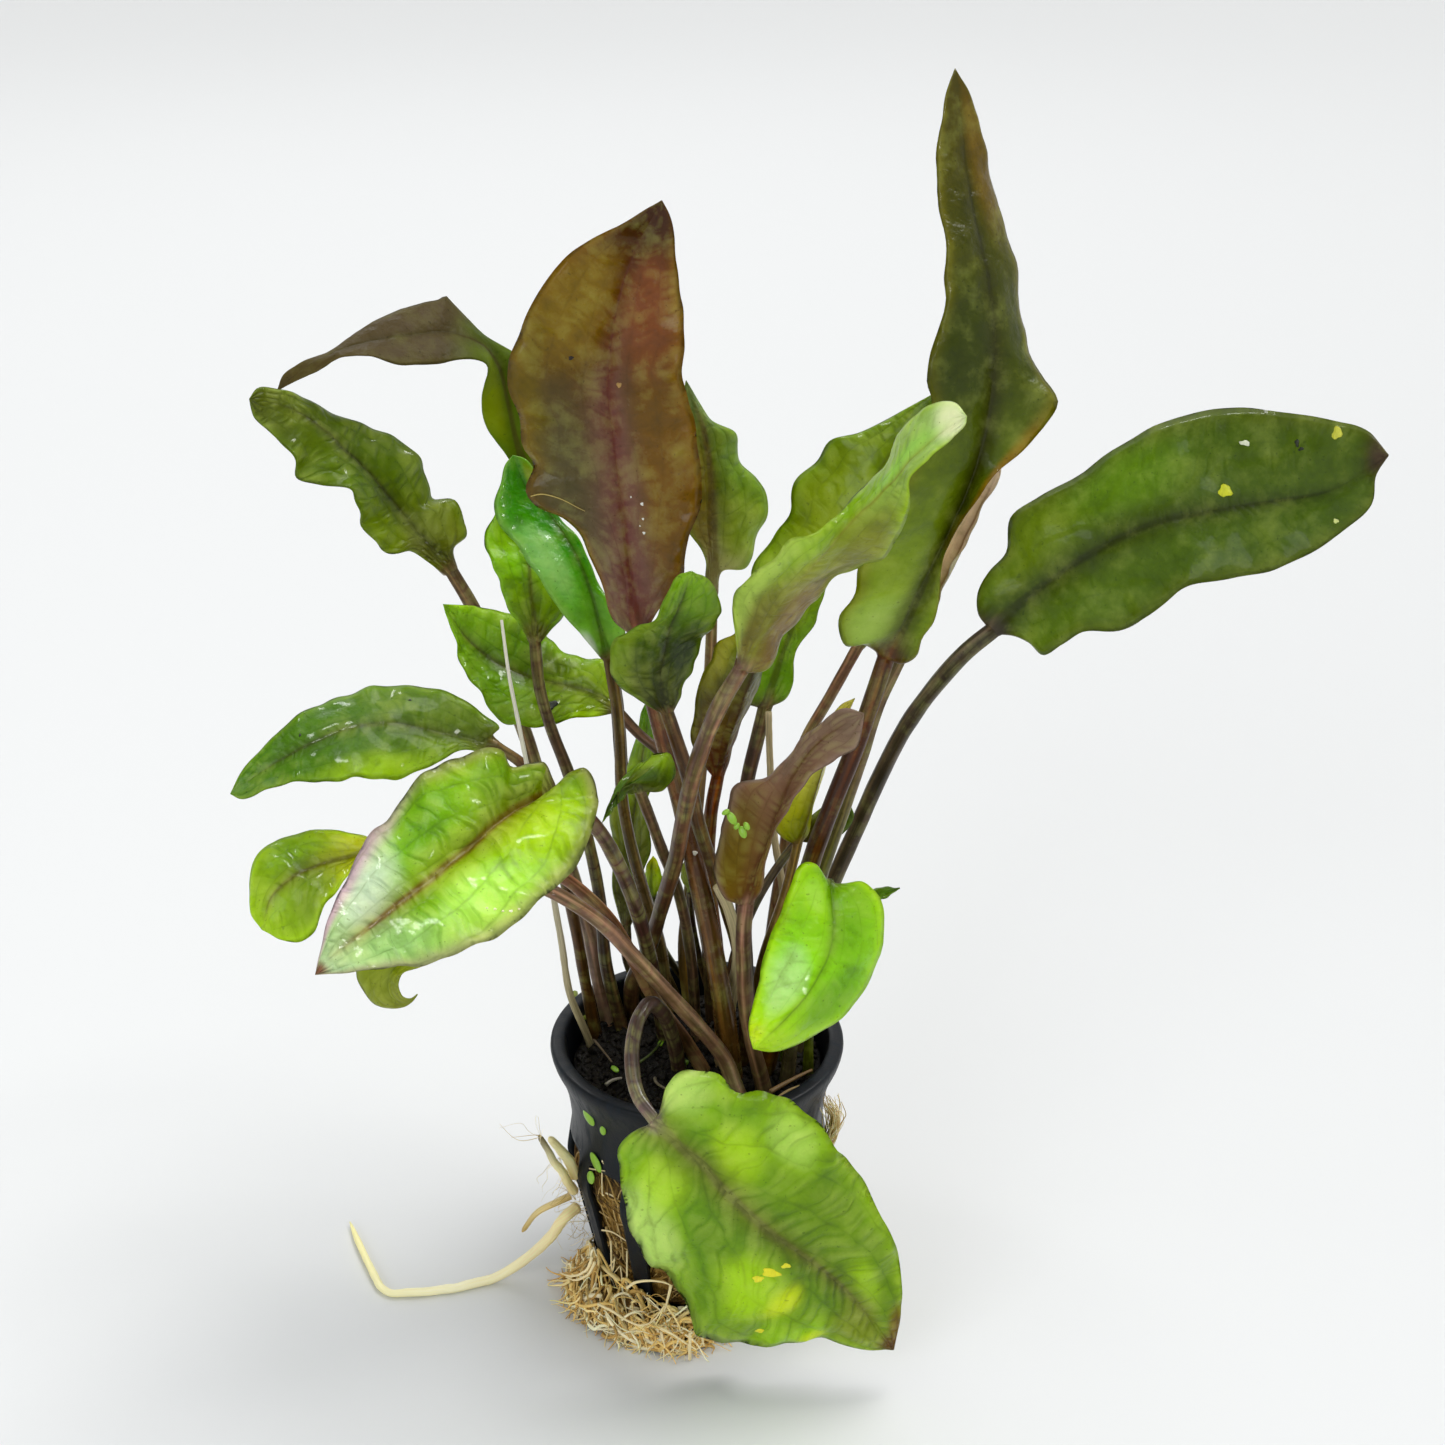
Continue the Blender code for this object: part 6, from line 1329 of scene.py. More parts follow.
def addRoot(node, root):
    # a tube through the picks with small knots, drawn to a rounded tip
    path = atDepth(smoothCurve(root["picks"], np.linspace(0.0, 1.0, 90)))[None]
    share = np.linspace(0.0, 1.0, 90)
    wander = softNoise(path, 6.0, len(node) + 3)[..., None] * (0.18, 0.18, 0.0)
    path = path + wander * np.sin(math.pi * share)[None, :, None]
    radius = np.interp(share, (0.0, 0.5, 1.0), root["width"]) / 2.0
    radius = radius * (1.0 + 0.07 * softNoise(path[0], 2.2, 9)) * np.sqrt(np.clip((1.0 - share) * 14.0 + 0.04, 0, 1))
    path[..., 2] = np.maximum(path[..., 2], radius + 0.05)
    points, faces, block = tubes(path, radius[None], 16)
    tones = np.array([paint(code) for code in root["paint"]])
    tints = np.stack([np.interp(share, (0.0, 0.5, 1.0), tones[:, i]) for i in range(4)], axis=-1)[None]
    piece = fillPiece(node + "_grown", points, faces, tubeMarks(path, block, 16, tints))
    place(piece, rootSkin, "cream_root", node)


addRoot("long_root", longRoot)
addRoot("short_root", shortRoot)
addRoot("root_stub_upper", rootStubUpper)
addRoot("root_stub_lower", rootStubLower)
print("thick roots lie out")

# ---- fine roots: a straw-coloured tangle round the left and the front of the foot

rootMat = {"angles": (-96, -78, -60, -42, -24, -6, 10), "reach": (20.0, 23.5, 25.5, 26.0, 25.5, 25.0, 21.5),
           "height": (4.0, 7.0, 9.5, 8.0, 6.5, 5.0, 3.0), "inner": 18.3, "strands": 230, "thickness": (0.24, 0.85),
           "spikes": 150, "paint": ("#ecca78", "#f8e2a0", "#fff4cc", "#cca458"),
           "core": ("#4a3618", "#93713a", "#d6b87c")}


def drumPath(angle, radius, height):
    # angle in degrees from the front, left negative
    a = np.radians(angle)
    return np.stack((radius * np.sin(a), -radius * np.cos(a), height), axis=-1)


def strandTints(look, dice, t, count):
    # every strand has one of the tones, darker at its root
    tones = np.array([paint(code) for code in look["paint"]])
    tints = tones[dice.integers(0, len(tones), count)][:, None, :] * (0.86 + 0.22 * t[..., None])
    tints = np.minimum(tints * dice.uniform(0.78, 1.12, (count, 1, 1)), 0.95)
    tints[..., 3] = 1.0
    return tints


def addRootMat(look):
    # strands that run round the foot, each a low wandering arc over the tangle, and short ones that spike out
    dice = np.random.default_rng(23)
    count, length = look["strands"], 30
    t = np.linspace(0.0, 1.0, length)[None, :]
    start = dice.uniform(look["angles"][0] + 4, look["angles"][-1] + 2, (count, 1))
    span = dice.normal(0.0, 24.0, (count, 1))
    bend = dice.normal(0.0, 3.2, (count, 3, 1))
    angle = start + span * (t - 0.5) + bend[:, 0] * np.sin(turn * t * 0.7) + bend[:, 1] * np.sin(turn * 1.6 * t) * 0.5
    angle = np.clip(angle, look["angles"][0] - 6, look["angles"][-1] + 6)
    reach = np.interp(angle, look["angles"], look["reach"])
    tall = np.interp(angle, look["angles"], look["height"])
    depth = dice.uniform(0.0, 1.0, (count, 1)) ** 0.8
    drift = dice.normal(0.0, 0.28, (count, 1)) * (t - 0.5) + 0.12 * np.sin(turn * (1.1 * t + dice.uniform(size=(count, 1))))
    share = np.clip(depth + drift, 0.0, 1.0)
    radius = look["inner"] + (reach + 0.4 - look["inner"]) * share
    crest = tall * (1.0 - share) ** 0.7 + 0.8
    height = crest * (0.55 + 0.42 * np.sin(turn * (0.8 * t + dice.uniform(size=(count, 1)))))
    height = height + np.abs(dice.normal(0.0, 0.9, (count, 1))) * np.sin(math.pi * t)
    radius = np.maximum(radius, 17.7 + height / 25.5 * 5.3 + 0.35)
    thick = (dice.uniform(0.0, 1.0, (count, 1)) ** 2.0 * (look["thickness"][1] - look["thickness"][0])
             + look["thickness"][0]) * (1.0 - 0.6 * t ** 2) / 2.0
    paths = drumPath(angle, radius, np.maximum(height, thick + 0.02))
    points, faces, block = tubes(paths, thick, 6)
    piece = fillPiece("root_mat_strands", points, faces,
                      tubeMarks(paths, block, 6, strandTints(look, dice, t, count)))
    place(piece, rootFibre, "root_fibre", "root_mat")

    # spikes: from inside the tangle outwards and down to the ground, a little bent
    count = look["spikes"]
    angle = dice.uniform(look["angles"][0] + 8, look["angles"][-1] - 2, (count, 1))
    lean = angle + dice.normal(0.0, 9.0, (count, 1)) * t + 2.0 * np.sin(turn * t * dice.uniform(0.3, 0.9, (count, 1)))
    reach = np.interp(angle, look["angles"], look["reach"])
    begin = dice.uniform(0.3, 0.9, (count, 1))
    out = 18.6 + (reach + dice.uniform(-1.0, 2.6, (count, 1)) - 18.6) * (begin + (1.0 - begin) * t)
    first = np.interp(angle, look["angles"], look["height"]) * (1.0 - begin) ** 0.7
    height = first * (1.0 - t) ** 1.3 + 0.9 * np.sin(math.pi * t) * dice.uniform(0.0, 1.0, (count, 1))
    thick = dice.uniform(0.22, 0.6, (count, 1)) * (1.0 - 0.75 * t) / 2.0
    paths = drumPath(lean, out, np.maximum(height, thick + 0.02))
    points, faces, block = tubes(paths, thick, 6)
    piece = fillPiece("root_mat_spikes", points, faces,
                      tubeMarks(paths, block, 6, strandTints(look, dice, t, count)))
    place(piece, rootFibre, "root_fibre")


def addRootCore(look):
    # the heart of the tangle, a low lumpy bank that fills the space behind the strands
    angle = np.linspace(look["angles"][0] + 3, look["angles"][-1] - 2, 70)
    reach = np.interp(angle, look["angles"], look["reach"]) - 2.6
    tall = np.interp(angle, look["angles"], look["height"]) * 0.62
    fadeEnds = np.sin(math.pi * np.linspace(0.02, 0.98, 70)) ** 0.4
    turnStep = np.linspace(0.0, math.pi, 16)
    out = 18.5 + (reach[:, None] - 18.5) * (0.5 - 0.5 * np.cos(turnStep))
    high = tall[:, None] * np.sin(turnStep) ** 0.9 * fadeEnds[:, None] * (1.25 - 0.5 * turnStep / math.pi) + 0.05
    out = np.maximum(out, 18.15 + high * 0.21)
    rings = drumPath(angle[:, None] + 0.0 * out, out, high)
    rings = rings + unit(rings * (1, 1, 0)) * (softNoise(rings, 1.7, 31) * 0.45)[..., None]
    rings[..., 2] = np.maximum(rings[..., 2] + softNoise(rings, 1.3, 32) * 0.35 * (high > 0.3), 0.04)
    count, loop = rings.shape[:2]
    ends = rings[[0, -1]].mean(axis=1)
    points = np.concatenate((rings.reshape(-1, 3), ends))
    faces = [gridFaces(count, loop), fanFaces(np.arange(loop)[::-1], count * loop),
             fanFaces((count - 1) * loop + np.arange(loop), count * loop + 1)]
    place(fillPiece("root_mat_core", points, faces), peatMaterial("packedRootlets", look["core"], 0.6), "root_fibre")


addRootMat(rootMat)
addRootCore(rootMat)

# fine roots that fill the slots just inside the wall, all round the pot
slotRoots = {"count": 620, "heights": (4.5, 30.0), "thickness": (0.12, 0.5),
             "paint": ("#8a6a2c", "#b08e48", "#5f4418", "#d2b474")}


def addSlotRoots(look):
    # short wandering threads on a drum that narrows like the pot, at the depth of its inner wall
    dice = np.random.default_rng(83)
    count, length = look["count"], 16
    t = np.linspace(0.0, 1.0, length)[None, :]
    low, high = look["heights"]
    angle = dice.uniform(-180.0, 180.0, (count, 1)) + dice.normal(0.0, 13.0, (count, 1)) * t \
        + dice.normal(0.0, 3.0, (count, 1)) * np.sin(turn * t * dice.uniform(0.5, 1.3, (count, 1)))
    height = dice.uniform(low, high, (count, 1)) + dice.normal(0.0, 7.0, (count, 1)) * (t - 0.5) \
        + dice.normal(0.0, 0.9, (count, 1)) * np.sin(turn * t * dice.uniform(0.6, 1.6, (count, 1)))
    height = np.clip(height, low, high)
    wall = np.interp(height, (2.6, 9.0, 15.5, 20.5, 25.3, 27.5, 32.5), (16.2, 17.75, 19.05, 20.15, 21.25, 21.05, 20.3))
    radius = wall + dice.uniform(-0.25, 0.35, (count, 1)) + 0.2 * np.sin(turn * t * dice.uniform(0.5, 2.0, (count, 1)))
    thick = dice.uniform(*look["thickness"], (count, 1)) * (1.0 - 0.4 * t) / 2.0
    paths = drumPath(angle, radius, height)
    points, faces, block = tubes(paths, thick, 5)
    piece = fillPiece("slot_roots", points, faces,
                      tubeMarks(paths, block, 5, strandTints(look, dice, t, count)))
    place(piece, rootFibre, "root_fibre")


addSlotRoots(slotRoots)

# single threads that catch the eye: each is a line of picks on a drum of the radius that is named first
threads = {"thickness": 0.34, "paint": "#ead9a8",
           "onPot": ((21.6, (604, 1163), (602, 1174), (602, 1184), (604, 1196)),
                     (21.0, (606, 1193), (613, 1196), (619, 1201), (624, 1207)),
                     (22.0, (585, 1167), (592, 1169), (598, 1170), (605, 1171)),
                     (20.4, (602, 1230), (612, 1232), (622, 1238), (633, 1246)),
                     (19.6, (611, 1241), (611, 1249), (615, 1257), (611, 1264), (607, 1269)),
                     (19.4, (627, 1251), (627, 1260), (620, 1266), (614, 1273)),
                     (20.2, (620, 1182), (619, 1188), (621, 1194), (624, 1200))),
           "arch": ((25.2, (627, 1288), (634, 1283), (643, 1281), (655, 1281), (666, 1283), (672, 1286)),
                    (25.4, (671, 1286), (669, 1294), (667, 1302), (664, 1312)),
                    (26.0, (598, 1304), (612, 1311), (628, 1321), (645, 1325), (656, 1318), (664, 1306)),
                    (26.4, (592, 1257), (589, 1266), (582, 1273), (572, 1276), (560, 1273)),
                    (26.2, (595, 1262), (590, 1272), (582, 1278), (574, 1280), (566, 1277)),
                    (26.6, (660, 1328), (672, 1334), (684, 1342), (697, 1350)),
                    (26.6, (690, 1333), (690, 1340), (689, 1345), (688, 1350)),
                    (26.4, (661, 1332), (663, 1340), (665, 1347)),
                    (26.0, (700, 1330), (702, 1338), (704, 1346)))}


def addThreads(look):
    # smooth curves through the picks, thinner towards the end
    share = np.linspace(0.0, 1.0, 22)
    paths, radii = [], []
    for group, width in (("onPot", 1.0), ("arch", 1.6)):
        for radius, *picks in look[group]:
            spots = np.array([onDrum(*pick, radius) for pick in picks])
            line = smoothCurve(spots + (0.0, 0.0, 0.0), share)
            line[:, 2] = np.maximum(line[:, 2], 0.3)
            paths.append(line)
            radii.append(look["thickness"] * width / 2.0 * (1.0 - 0.55 * share))
    paths = np.array(paths)
    points, faces, block = tubes(paths, np.array(radii), 7)
    tints = np.tile(paint(look["paint"]), (len(paths), 22, 1))
    piece = fillPiece("root_threads", points, faces, tubeMarks(paths, block, 7, tints))
    place(piece, rootFibre, "root_fibre")


addThreads(threads)

# finer hairs that hang from the slots and lie off the pot: each runs from one pick to another
hairs = {"thickness": (0.05, 0.14), "paint": ("#d8c490", "#efe4c0", "#bfa468"),
         "leftSide": ((583, 1185, 26, 8), (586, 1215, 26, 8), (592, 1248, 22, 7), (600, 1288, 16, 6)),
         "fromStub": ((540, 1135, -17, 536, 1120, -17), (541, 1137, -17, 503, 1130, -19),
                      (560, 1158, -13, 545, 1188, -13), (566, 1170, -11, 549, 1198, -11),
                      (572, 1186, -9, 552, 1205, -9), (576, 1200, -8, 560, 1184, -10))}


def addHairs(look):
    # thin bent threads round the places named, sagging as they leave the pot
    dice = np.random.default_rng(41)
    t = np.linspace(0.0, 1.0, 14)[None, :, None]
    starts, ends = [], []
    for column, row, count, spread in look["leftSide"]:
        for _ in range(count):
            c, r = column + dice.normal(0, 4), row + dice.normal(0, 14)
            first = onDrum(c, r, 20.6 - max(0.0, (r - 1190) * 0.03))
            outward = unit(first * (1, 1, 0))
            starts.append(first)
            ends.append(first + outward * dice.uniform(0.8, spread * 0.45) + dice.normal(0, 1.5, 3) + (0, 0, -1.8))
    for c0, r0, d0, c1, r1, d1 in look["fromStub"]:
        for _ in range(3):
            starts.append(atDepth((c0, r0, d0))[0])
            ends.append(atDepth((c1, r1, d1))[0] + dice.normal(0, 0.7, 3))
    starts, ends = np.array(starts), np.array(ends)
    ends[:, 2] = np.maximum(ends[:, 2], 0.2)
    count = len(starts)
    sag = dice.normal(0.0, 0.8, (count, 1, 3)) * np.sin(math.pi * t)
    curl = dice.normal(0.0, 0.18, (count, 1, 3)) * np.sin(2.0 * turn * t * dice.uniform(0.4, 1.0, (count, 1, 1)))
    paths = starts[:, None] + (ends - starts)[:, None] * t + sag + curl
    paths[..., 2] = np.maximum(paths[..., 2], 0.15)
    thick = dice.uniform(*look["thickness"], (count, 1)) * (1.0 - 0.6 * t[..., 0]) / 2.0
    points, faces, block = tubes(paths, thick, 5)
    tints = np.minimum(strandTints(look, dice, 0.5 + 0.0 * thick, count), 0.95)
    piece = fillPiece("root_hairs", points, faces, tubeMarks(paths, block, 5, tints))
    place(piece, rootFibre, "root_fibre")


addHairs(hairs)

# the tuft that creeps out under the rim at the right
tuft = {"picks": ((820, 1152, -8), (828, 1138, -8), (834, 1126, -9), (835, 1114, -9), (829, 1104, -9)),
        "strands": 60, "thickness": (0.12, 0.34), "loose": 0.75, "paint": ("#ecd8a0", "#faf0cc", "#cfb074")}


def addTuft(look):
    # strands that follow one short path loosely, fanned out towards its end
    dice = np.random.default_rng(53)
    count = look["strands"]
    share = np.linspace(0.0, 1.0, 16)
    spine = atDepth(smoothCurve(look["picks"], share))
    t = share[None, :, None]
    shift = dice.normal(0.0, look["loose"], (count, 1, 3)) * (0.35 + 0.9 * t)
    curl = dice.normal(0.0, 0.35, (count, 1, 3)) * np.sin(turn * t * dice.uniform(0.6, 2.0, (count, 1, 1)))
    paths = spine[None] + shift + curl
    off = np.linalg.norm(paths[..., :2], axis=-1)
    paths[..., :2] *= (np.maximum(off, 22.9) / off)[..., None]
    thick = dice.uniform(*look["thickness"], (count, 1)) * (1.0 - 0.5 * share[None]) / 2.0
    points, faces, block = tubes(paths, thick, 5)
    tones = np.array([paint(code) for code in look["paint"]])
    tints = np.repeat(tones[dice.integers(0, len(tones), count)][:, None, :], 16, axis=1)
    piece = fillPiece("root_tuft_strands", points, faces, tubeMarks(paths, block, 5, tints))
    place(piece, rootFibre, "root_fibre", "root_tuft_right")


addTuft(tuft)
print("fine roots are tangled")

# ---- duckweed and seedlings: small oval green fronds stuck to the pot, the soil and a leaf

fronds = {"onPot": ((590, 1117, 1.7, 1.1), (597, 1162, 1.9, 1.2), (592, 1177, 1.5, 1.0), (604, 1130, 0.9, 0.7)),
          "onSoil": ((615, 1070, 0.9, 0.5), (661, 1044, 0.8, 0.5), (684, 1064, 0.9, 0.6), 
                     (790, 1080, 0.8, 0.5)),
          "onLeaf": ((732, 818, -20.5, 1.1, 0.65), (743, 832, -20.5, 1.0, 0.6), (737, 826, -20.5, 0.6, 0.4),
                     (726, 812, -20.5, 0.7, 0.4), (747, 826, -20.5, 0.7, 0.45)),
          "paint": "#98c832", "rimPaint": "#6f9e22", "roughness": 0.35}


def frondMaterial(name, look):
    # duckweed: a smooth waxy frond, paler in its middle
    material, tree = newMaterial(name)
    coords = addNode(tree, "ShaderNodeTexCoord")
    inMm = addNode(tree, "ShaderNodeVectorMath", {"operation": "SCALE", "Scale": 1000.0},
                   {0: coords.outputs["Object"]})
    cells = addNode(tree, "ShaderNodeTexNoise", {"Scale": 1.6, "Detail": 3.0}, {"Vector": inMm.outputs[0]})
    colour = addNode(tree, "ShaderNodeMix", {"data_type": "RGBA", 6: paint(look["rimPaint"]), 7: paint(look["paint"])},
                     {0: cells.outputs["Fac"]})
    relief = addNode(tree, "ShaderNodeBump", {"Distance": 0.05 * mm}, {"Height": cells.outputs["Fac"]})
    shader = addNode(tree, "ShaderNodeBsdfPrincipled", {"IOR": 1.42, "Roughness": look["roughness"],
                                                        "Coat Weight": 0.2},
                     {"Base Color": colour.outputs[2], "Normal": relief.outputs[0]})
    addNode(tree, "ShaderNodeOutputMaterial", links={"Surface": shader.outputs[0]})
    return material


def addFronds(look):
    # each frond is a flat closed oval: rings of sin and cos of two angles, thin along its own normal
    dice = np.random.default_rng(61)
    outside = ((20.0, 25.5, 32.5, 36.0, 39.0, 41.4, 43.2), (21.4, 22.75, 21.7, 21.85, 22.3, 22.9, 23.6))
    places = [(onDrum(c, r, np.interp(onDrum(c, r, 22.2)[2], *outside)), None, a, b) for c, r, a, b in look["onPot"]]
    places = [(spot, unit(spot * (1, 1, 0)), a, b) for spot, _, a, b in places]
    places += [(atHeight(c, r, 44.6), np.array((0.0, -0.25, 0.97)), a, b) for c, r, a, b in look["onSoil"]]
    places += [(atDepth((c, r, d))[0], unit(np.array((-0.2, -0.9, 0.4))), a, b) for c, r, d, a, b in look["onLeaf"]]
    rings, loop = 9, 22
    latitude = np.linspace(0.0, math.pi, rings + 2)[1:-1, None]
    around = np.arange(loop) * turn / loop
    blocks, faces = [], []
    for index, (spot, outward, long, wide) in enumerate(places):
        sideA = unit(np.cross(outward, unit(dice.normal(size=3))))
        sideB = np.cross(outward, sideA)
        flat = (np.sin(latitude) * np.cos(around) * long)[..., None] * sideA + \
               (np.sin(latitude) * np.sin(around) * wide)[..., None] * sideB
        dome = (np.cos(latitude) * 0.28 + 0.25 + 0.0 * around)[..., None] * outward
        poles = np.array((spot + outward * 0.53, spot - outward * 0.03))
        blocks.append(np.concatenate(((spot + flat + dome).reshape(-1, 3), poles)))
        first = index * (rings * loop + 2)
        faces += [gridFaces(rings, loop, first), fanFaces(first + np.arange(loop)[::-1], first + rings * loop),
                  fanFaces(first + (rings - 1) * loop + np.arange(loop), first + rings * loop + 1)]
    quads = np.concatenate([f for f in faces if f.shape[1] == 4])
    fans = np.concatenate([f for f in faces if f.shape[1] == 3])
    place(fillPiece("duckweed", np.concatenate(blocks), [quads, fans]),
          frondMaterial("duckweedFrond", look), "green_leaf")


addFronds(fronds)

# specks and one stray fibre that lie on leaves: column, row, half length, half width in mm, turn, colour
specks = {"dots": ((1225, 491, 1.1, 0.95, 0.2, "#d8dc20"), (1225, 491, 0.6, 0.5, 0.2, "#fbf890"),
                   (1337, 433, 0.75, 0.95, 0.0, "#cfcf3c"), (1245, 443, 0.9, 0.4, 0.1, "#e8ecd0"),
                   (1297, 443, 0.35, 0.6, 0.3, "#1c2408"), (1301, 449, 0.5, 0.25, 0.5, "#1c2408"),
                   (1336, 521, 0.4, 0.35, 0.0, "#dfe68c"), (771, 1273, 1.5, 0.9, -0.3, "#f6ee20"),
                   (758, 1279, 0.9, 0.7, 0.2, "#f4ec28"), (786, 1266, 0.8, 0.5, 0.3, "#f4ec28"),
                   (760, 1331, 1.2, 0.8, -0.4, "#f6ee20"), (642, 504, 0.28, 0.28, 0.0, "#fffdf4"),
                   (643, 519, 0.22, 0.22, 0.0, "#fffdf4"), (644, 533, 0.26, 0.22, 0.0, "#fffdf4"),
                   (631, 497, 0.16, 0.16, 0.0, "#fffdf4"), (640, 526, 0.14, 0.14, 0.0, "#fffdf4"),
                   (571, 358, 0.4, 0.32, 0.4, "#20140a"), (619, 385, 0.5, 0.4, 0.2, "#b08a4c"),
                   (551, 705, 1.2, 0.75, 0.3, "#1a2208"), (695, 853, 0.4, 0.4, 0.0, "#f4efe0"),
                   (487, 908, 0.2, 0.16, 0.0, "#f4f0c0"),
                   (495, 909, 0.26, 0.2, 0.0, "#f4f0c0"), (503, 911, 0.2, 0.16, 0.0, "#f4f0c0"),
                   (511, 911, 0.3, 0.2, 0.0, "#fbf8dc"), (519, 909, 0.2, 0.16, 0.0, "#f4f0c0"), (300, 735, 0.2, 0.3, 0.0, "#22300c"), (410, 700, 0.25, 0.2, 0.0, "#22300c")),
          "fibre": ((531, 496), (540, 494), (553, 496), (566, 501), (577, 507), (585, 511)),
          "fibreWidth": 0.2, "fibrePaint": "#d8c068"}


def addSpecks(look):
    # each pick's line of sight is followed to the first leaf that it meets; a flat dome or a tube lies there
    bpy.context.view_layer.update()
    start = Vector([value * mm for value in view["eye"]])

    def onLeaf(column, row):
        way = Vector(unit(atDepth((column, row, 0.0))[0] - view["eye"]))
        hits = [piece.ray_cast(start, way) for piece in grown]
        hits = sorted(((hit[1] - start).length, tuple(hit[1]), tuple(hit[2])) for hit in hits if hit[0])
        return (np.array(hits[0][1]) / mm, np.array(hits[0][2])) if hits else (None, None)

    rings, loop = 5, 18
    latitude = np.linspace(0.0, math.pi, rings + 2)[1:-1, None]
    around = np.arange(loop) * turn / loop
    blocks, quads, fans, tints = [], [], [], []
    for column, row, long, wide, lean, code in look["dots"]:
        spot, outward = onLeaf(column, row)
        if spot is None:
            continue
        level = unit(np.cross(outward, (0.0, 0.0, 1.0)))
        rise = np.cross(outward, level)
        sideA, sideB = level * math.cos(lean) + rise * math.sin(lean), rise * math.cos(lean) - level * math.sin(lean)
        wavy = 1.0 + 0.16 * np.sin(3.0 * around + column) + 0.1 * np.sin(5.0 * around + row)
        flat = (np.sin(latitude) * np.cos(around) * wavy * long)[..., None] * sideA + \
               (np.sin(latitude) * np.sin(around) * wavy * wide)[..., None] * sideB
        dome = (np.cos(latitude) * 0.12 + 0.0 * around)[..., None] * outward
        first = len(blocks) * (rings * loop + 2)
        blocks.append(np.concatenate(((spot + flat + dome).reshape(-1, 3),
                                      [spot + outward * 0.12, spot - outward * 0.12])))
        quads.append(gridFaces(rings, loop, first))
        fans += [fanFaces(first + np.arange(loop)[::-1], first + rings * loop),
                 fanFaces(first + (rings - 1) * loop + np.arange(loop), first + rings * loop + 1)]
        tints.append(np.tile(paint(code), (rings * loop + 2, 1)))
    points = np.concatenate(blocks)
    piece = fillPiece("leaf_specks", points, [np.concatenate(quads), np.concatenate(fans)],
                      {"alongMm": points, "tint": np.concatenate(tints)})
    place(piece, rootSkin, "green_leaf")
    picks = smoothCurve([(*pick, 0.0) for pick in look["fibre"]], np.linspace(0.0, 1.0, 24))
    found = [onLeaf(column, row) for column, row, _ in picks]
    path = np.array([spot + outward * 0.12 for spot, outward in found if spot is not None])[None]
    radii = look["fibreWidth"] / 2.0 * np.linspace(1.0, 0.6, path.shape[1])[None]
    points, faces, block = tubes(path, radii, 8)
    piece = fillPiece("leaf_fibre", points, faces,
                      tubeMarks(path, block, 8, np.tile(paint(look["fibrePaint"]), (1, path.shape[1], 1))))
    place(piece, driedFibre, "root_fibre")


addSpecks(specks)

# bits of stalk and bark that lie on the soil, each from one pick to another, and a curled shoot
litter = {"soilBits": (((770, 1092), (812, 1070), 0.9, "#8a6a3c"), ((776, 1100), (800, 1086), 0.7, "#b0935c"),
                       ((640, 1062), (668, 1030), 0.5, "#5a6a24"), ((594, 1040), (612, 1062), 0.5, "#6a5a44"),
                       ((606, 1085), (622, 1078), 0.7, "#9c9484"),
                       ((655, 1078), (668, 1090), 0.6, "#7c7058")),
          "shoot": ((575, 993), (574, 1006), (577, 1016), (584, 1018), (591, 1012), (593, 1004)),
          "shootWidth": 1.1, "shootPaint": "#8c9a2c"}


def addLitter(look):
    # short bent sticks just over the soil
    dice = np.random.default_rng(71)
    t = np.linspace(0.0, 1.0, 14)
    paths, radii, tints = [], [], []
    for first, last, width, code in look["soilBits"]:
        a, b = atHeight(*first, 44.9), atHeight(*last, 45.3)
        away = np.linalg.norm(b[:2])
        b[:2] *= min(1.0, 21.0 / away)
        path = a + (b - a) * t[:, None] + np.sin(math.pi * t)[:, None] * dice.normal(0, 0.6, 3) * (1, 1, 0.5)
        paths.append(path)
        radii.append(width / 2.0 * (1.0 - 0.4 * t))
        tints.append(np.tile(paint(code), (14, 1)))
    curl = smoothCurve([(*pick, 0.0) for pick in look["shoot"]], t)
    paths.append(np.array([atHeight(c, r, 45.0 + 0.6 * s) for (c, r, _), s in zip(curl, t)]))
    radii.append(look["shootWidth"] / 2.0 * (1.0 - 0.3 * t))
    tints.append(np.tile(paint(look["shootPaint"]), (14, 1)))
    paths = np.array(paths)
    points, faces, block = tubes(paths, np.array(radii), 8)
    piece = fillPiece("soil_litter", points, faces, tubeMarks(paths, block, 8, np.array(tints)))
    place(piece, driedFibre, "planting_medium")


addLitter(litter)
print("small growth is set")

# ---- floor, light and camera

floorLook = {"half": 10.0, "cells": 96, "flat": 1.6, "lift": 0.05, "paint": "#dcdee0", "roughness": 0.6}
sunLook = {"from": (0.34, 0.16, 1.0), "spread": 40.0, "strength": 2.3, "colour": (1.0, 0.98, 0.94)}
softBoxes = {"front": {"at": (-0.45, -0.80, 0.60), "to": (0.0, 0.0, 0.05), "size": 0.5, "power": 2.6, "colour": (0.96, 0.98, 1.0)},
             "back": {"at": (-0.15, 0.85, 0.75), "to": (0.0, 0.0, 0.1), "size": 0.8, "power": 1.4, "colour": (1.0, 1.0, 1.0)}}
# lights that show only as gloss: narrow strips that glint on wet cells
glints = {"glintBack": {"at": (-0.35, 0.8, 0.95), "to": (0.0, 0.0, 0.1), "size": 0.16, "power": 2.2, "colour": (1.0, 1.0, 1.0)},
          "glintFront": {"at": (-0.25, -0.15, 1.1), "to": (0.0, 0.0, 0.1), "size": 0.14, "power": 2.6, "colour": (1.0, 1.0, 1.0)},
          "glintEye": {"at": (0.2, -0.8, 0.8), "to": (0.0, 0.0, 0.12), "size": 0.12, "power": 2.4, "colour": (1.0, 0.98, 0.95)},
          "glintRight": {"at": (0.6, 0.1, 0.8), "to": (0.0, 0.0, 0.1), "size": 0.14, "power": 3.0, "colour": (1.0, 1.0, 1.0)}}
worldLook = {"paint": "#f4f6f8", "strength": 0.40}


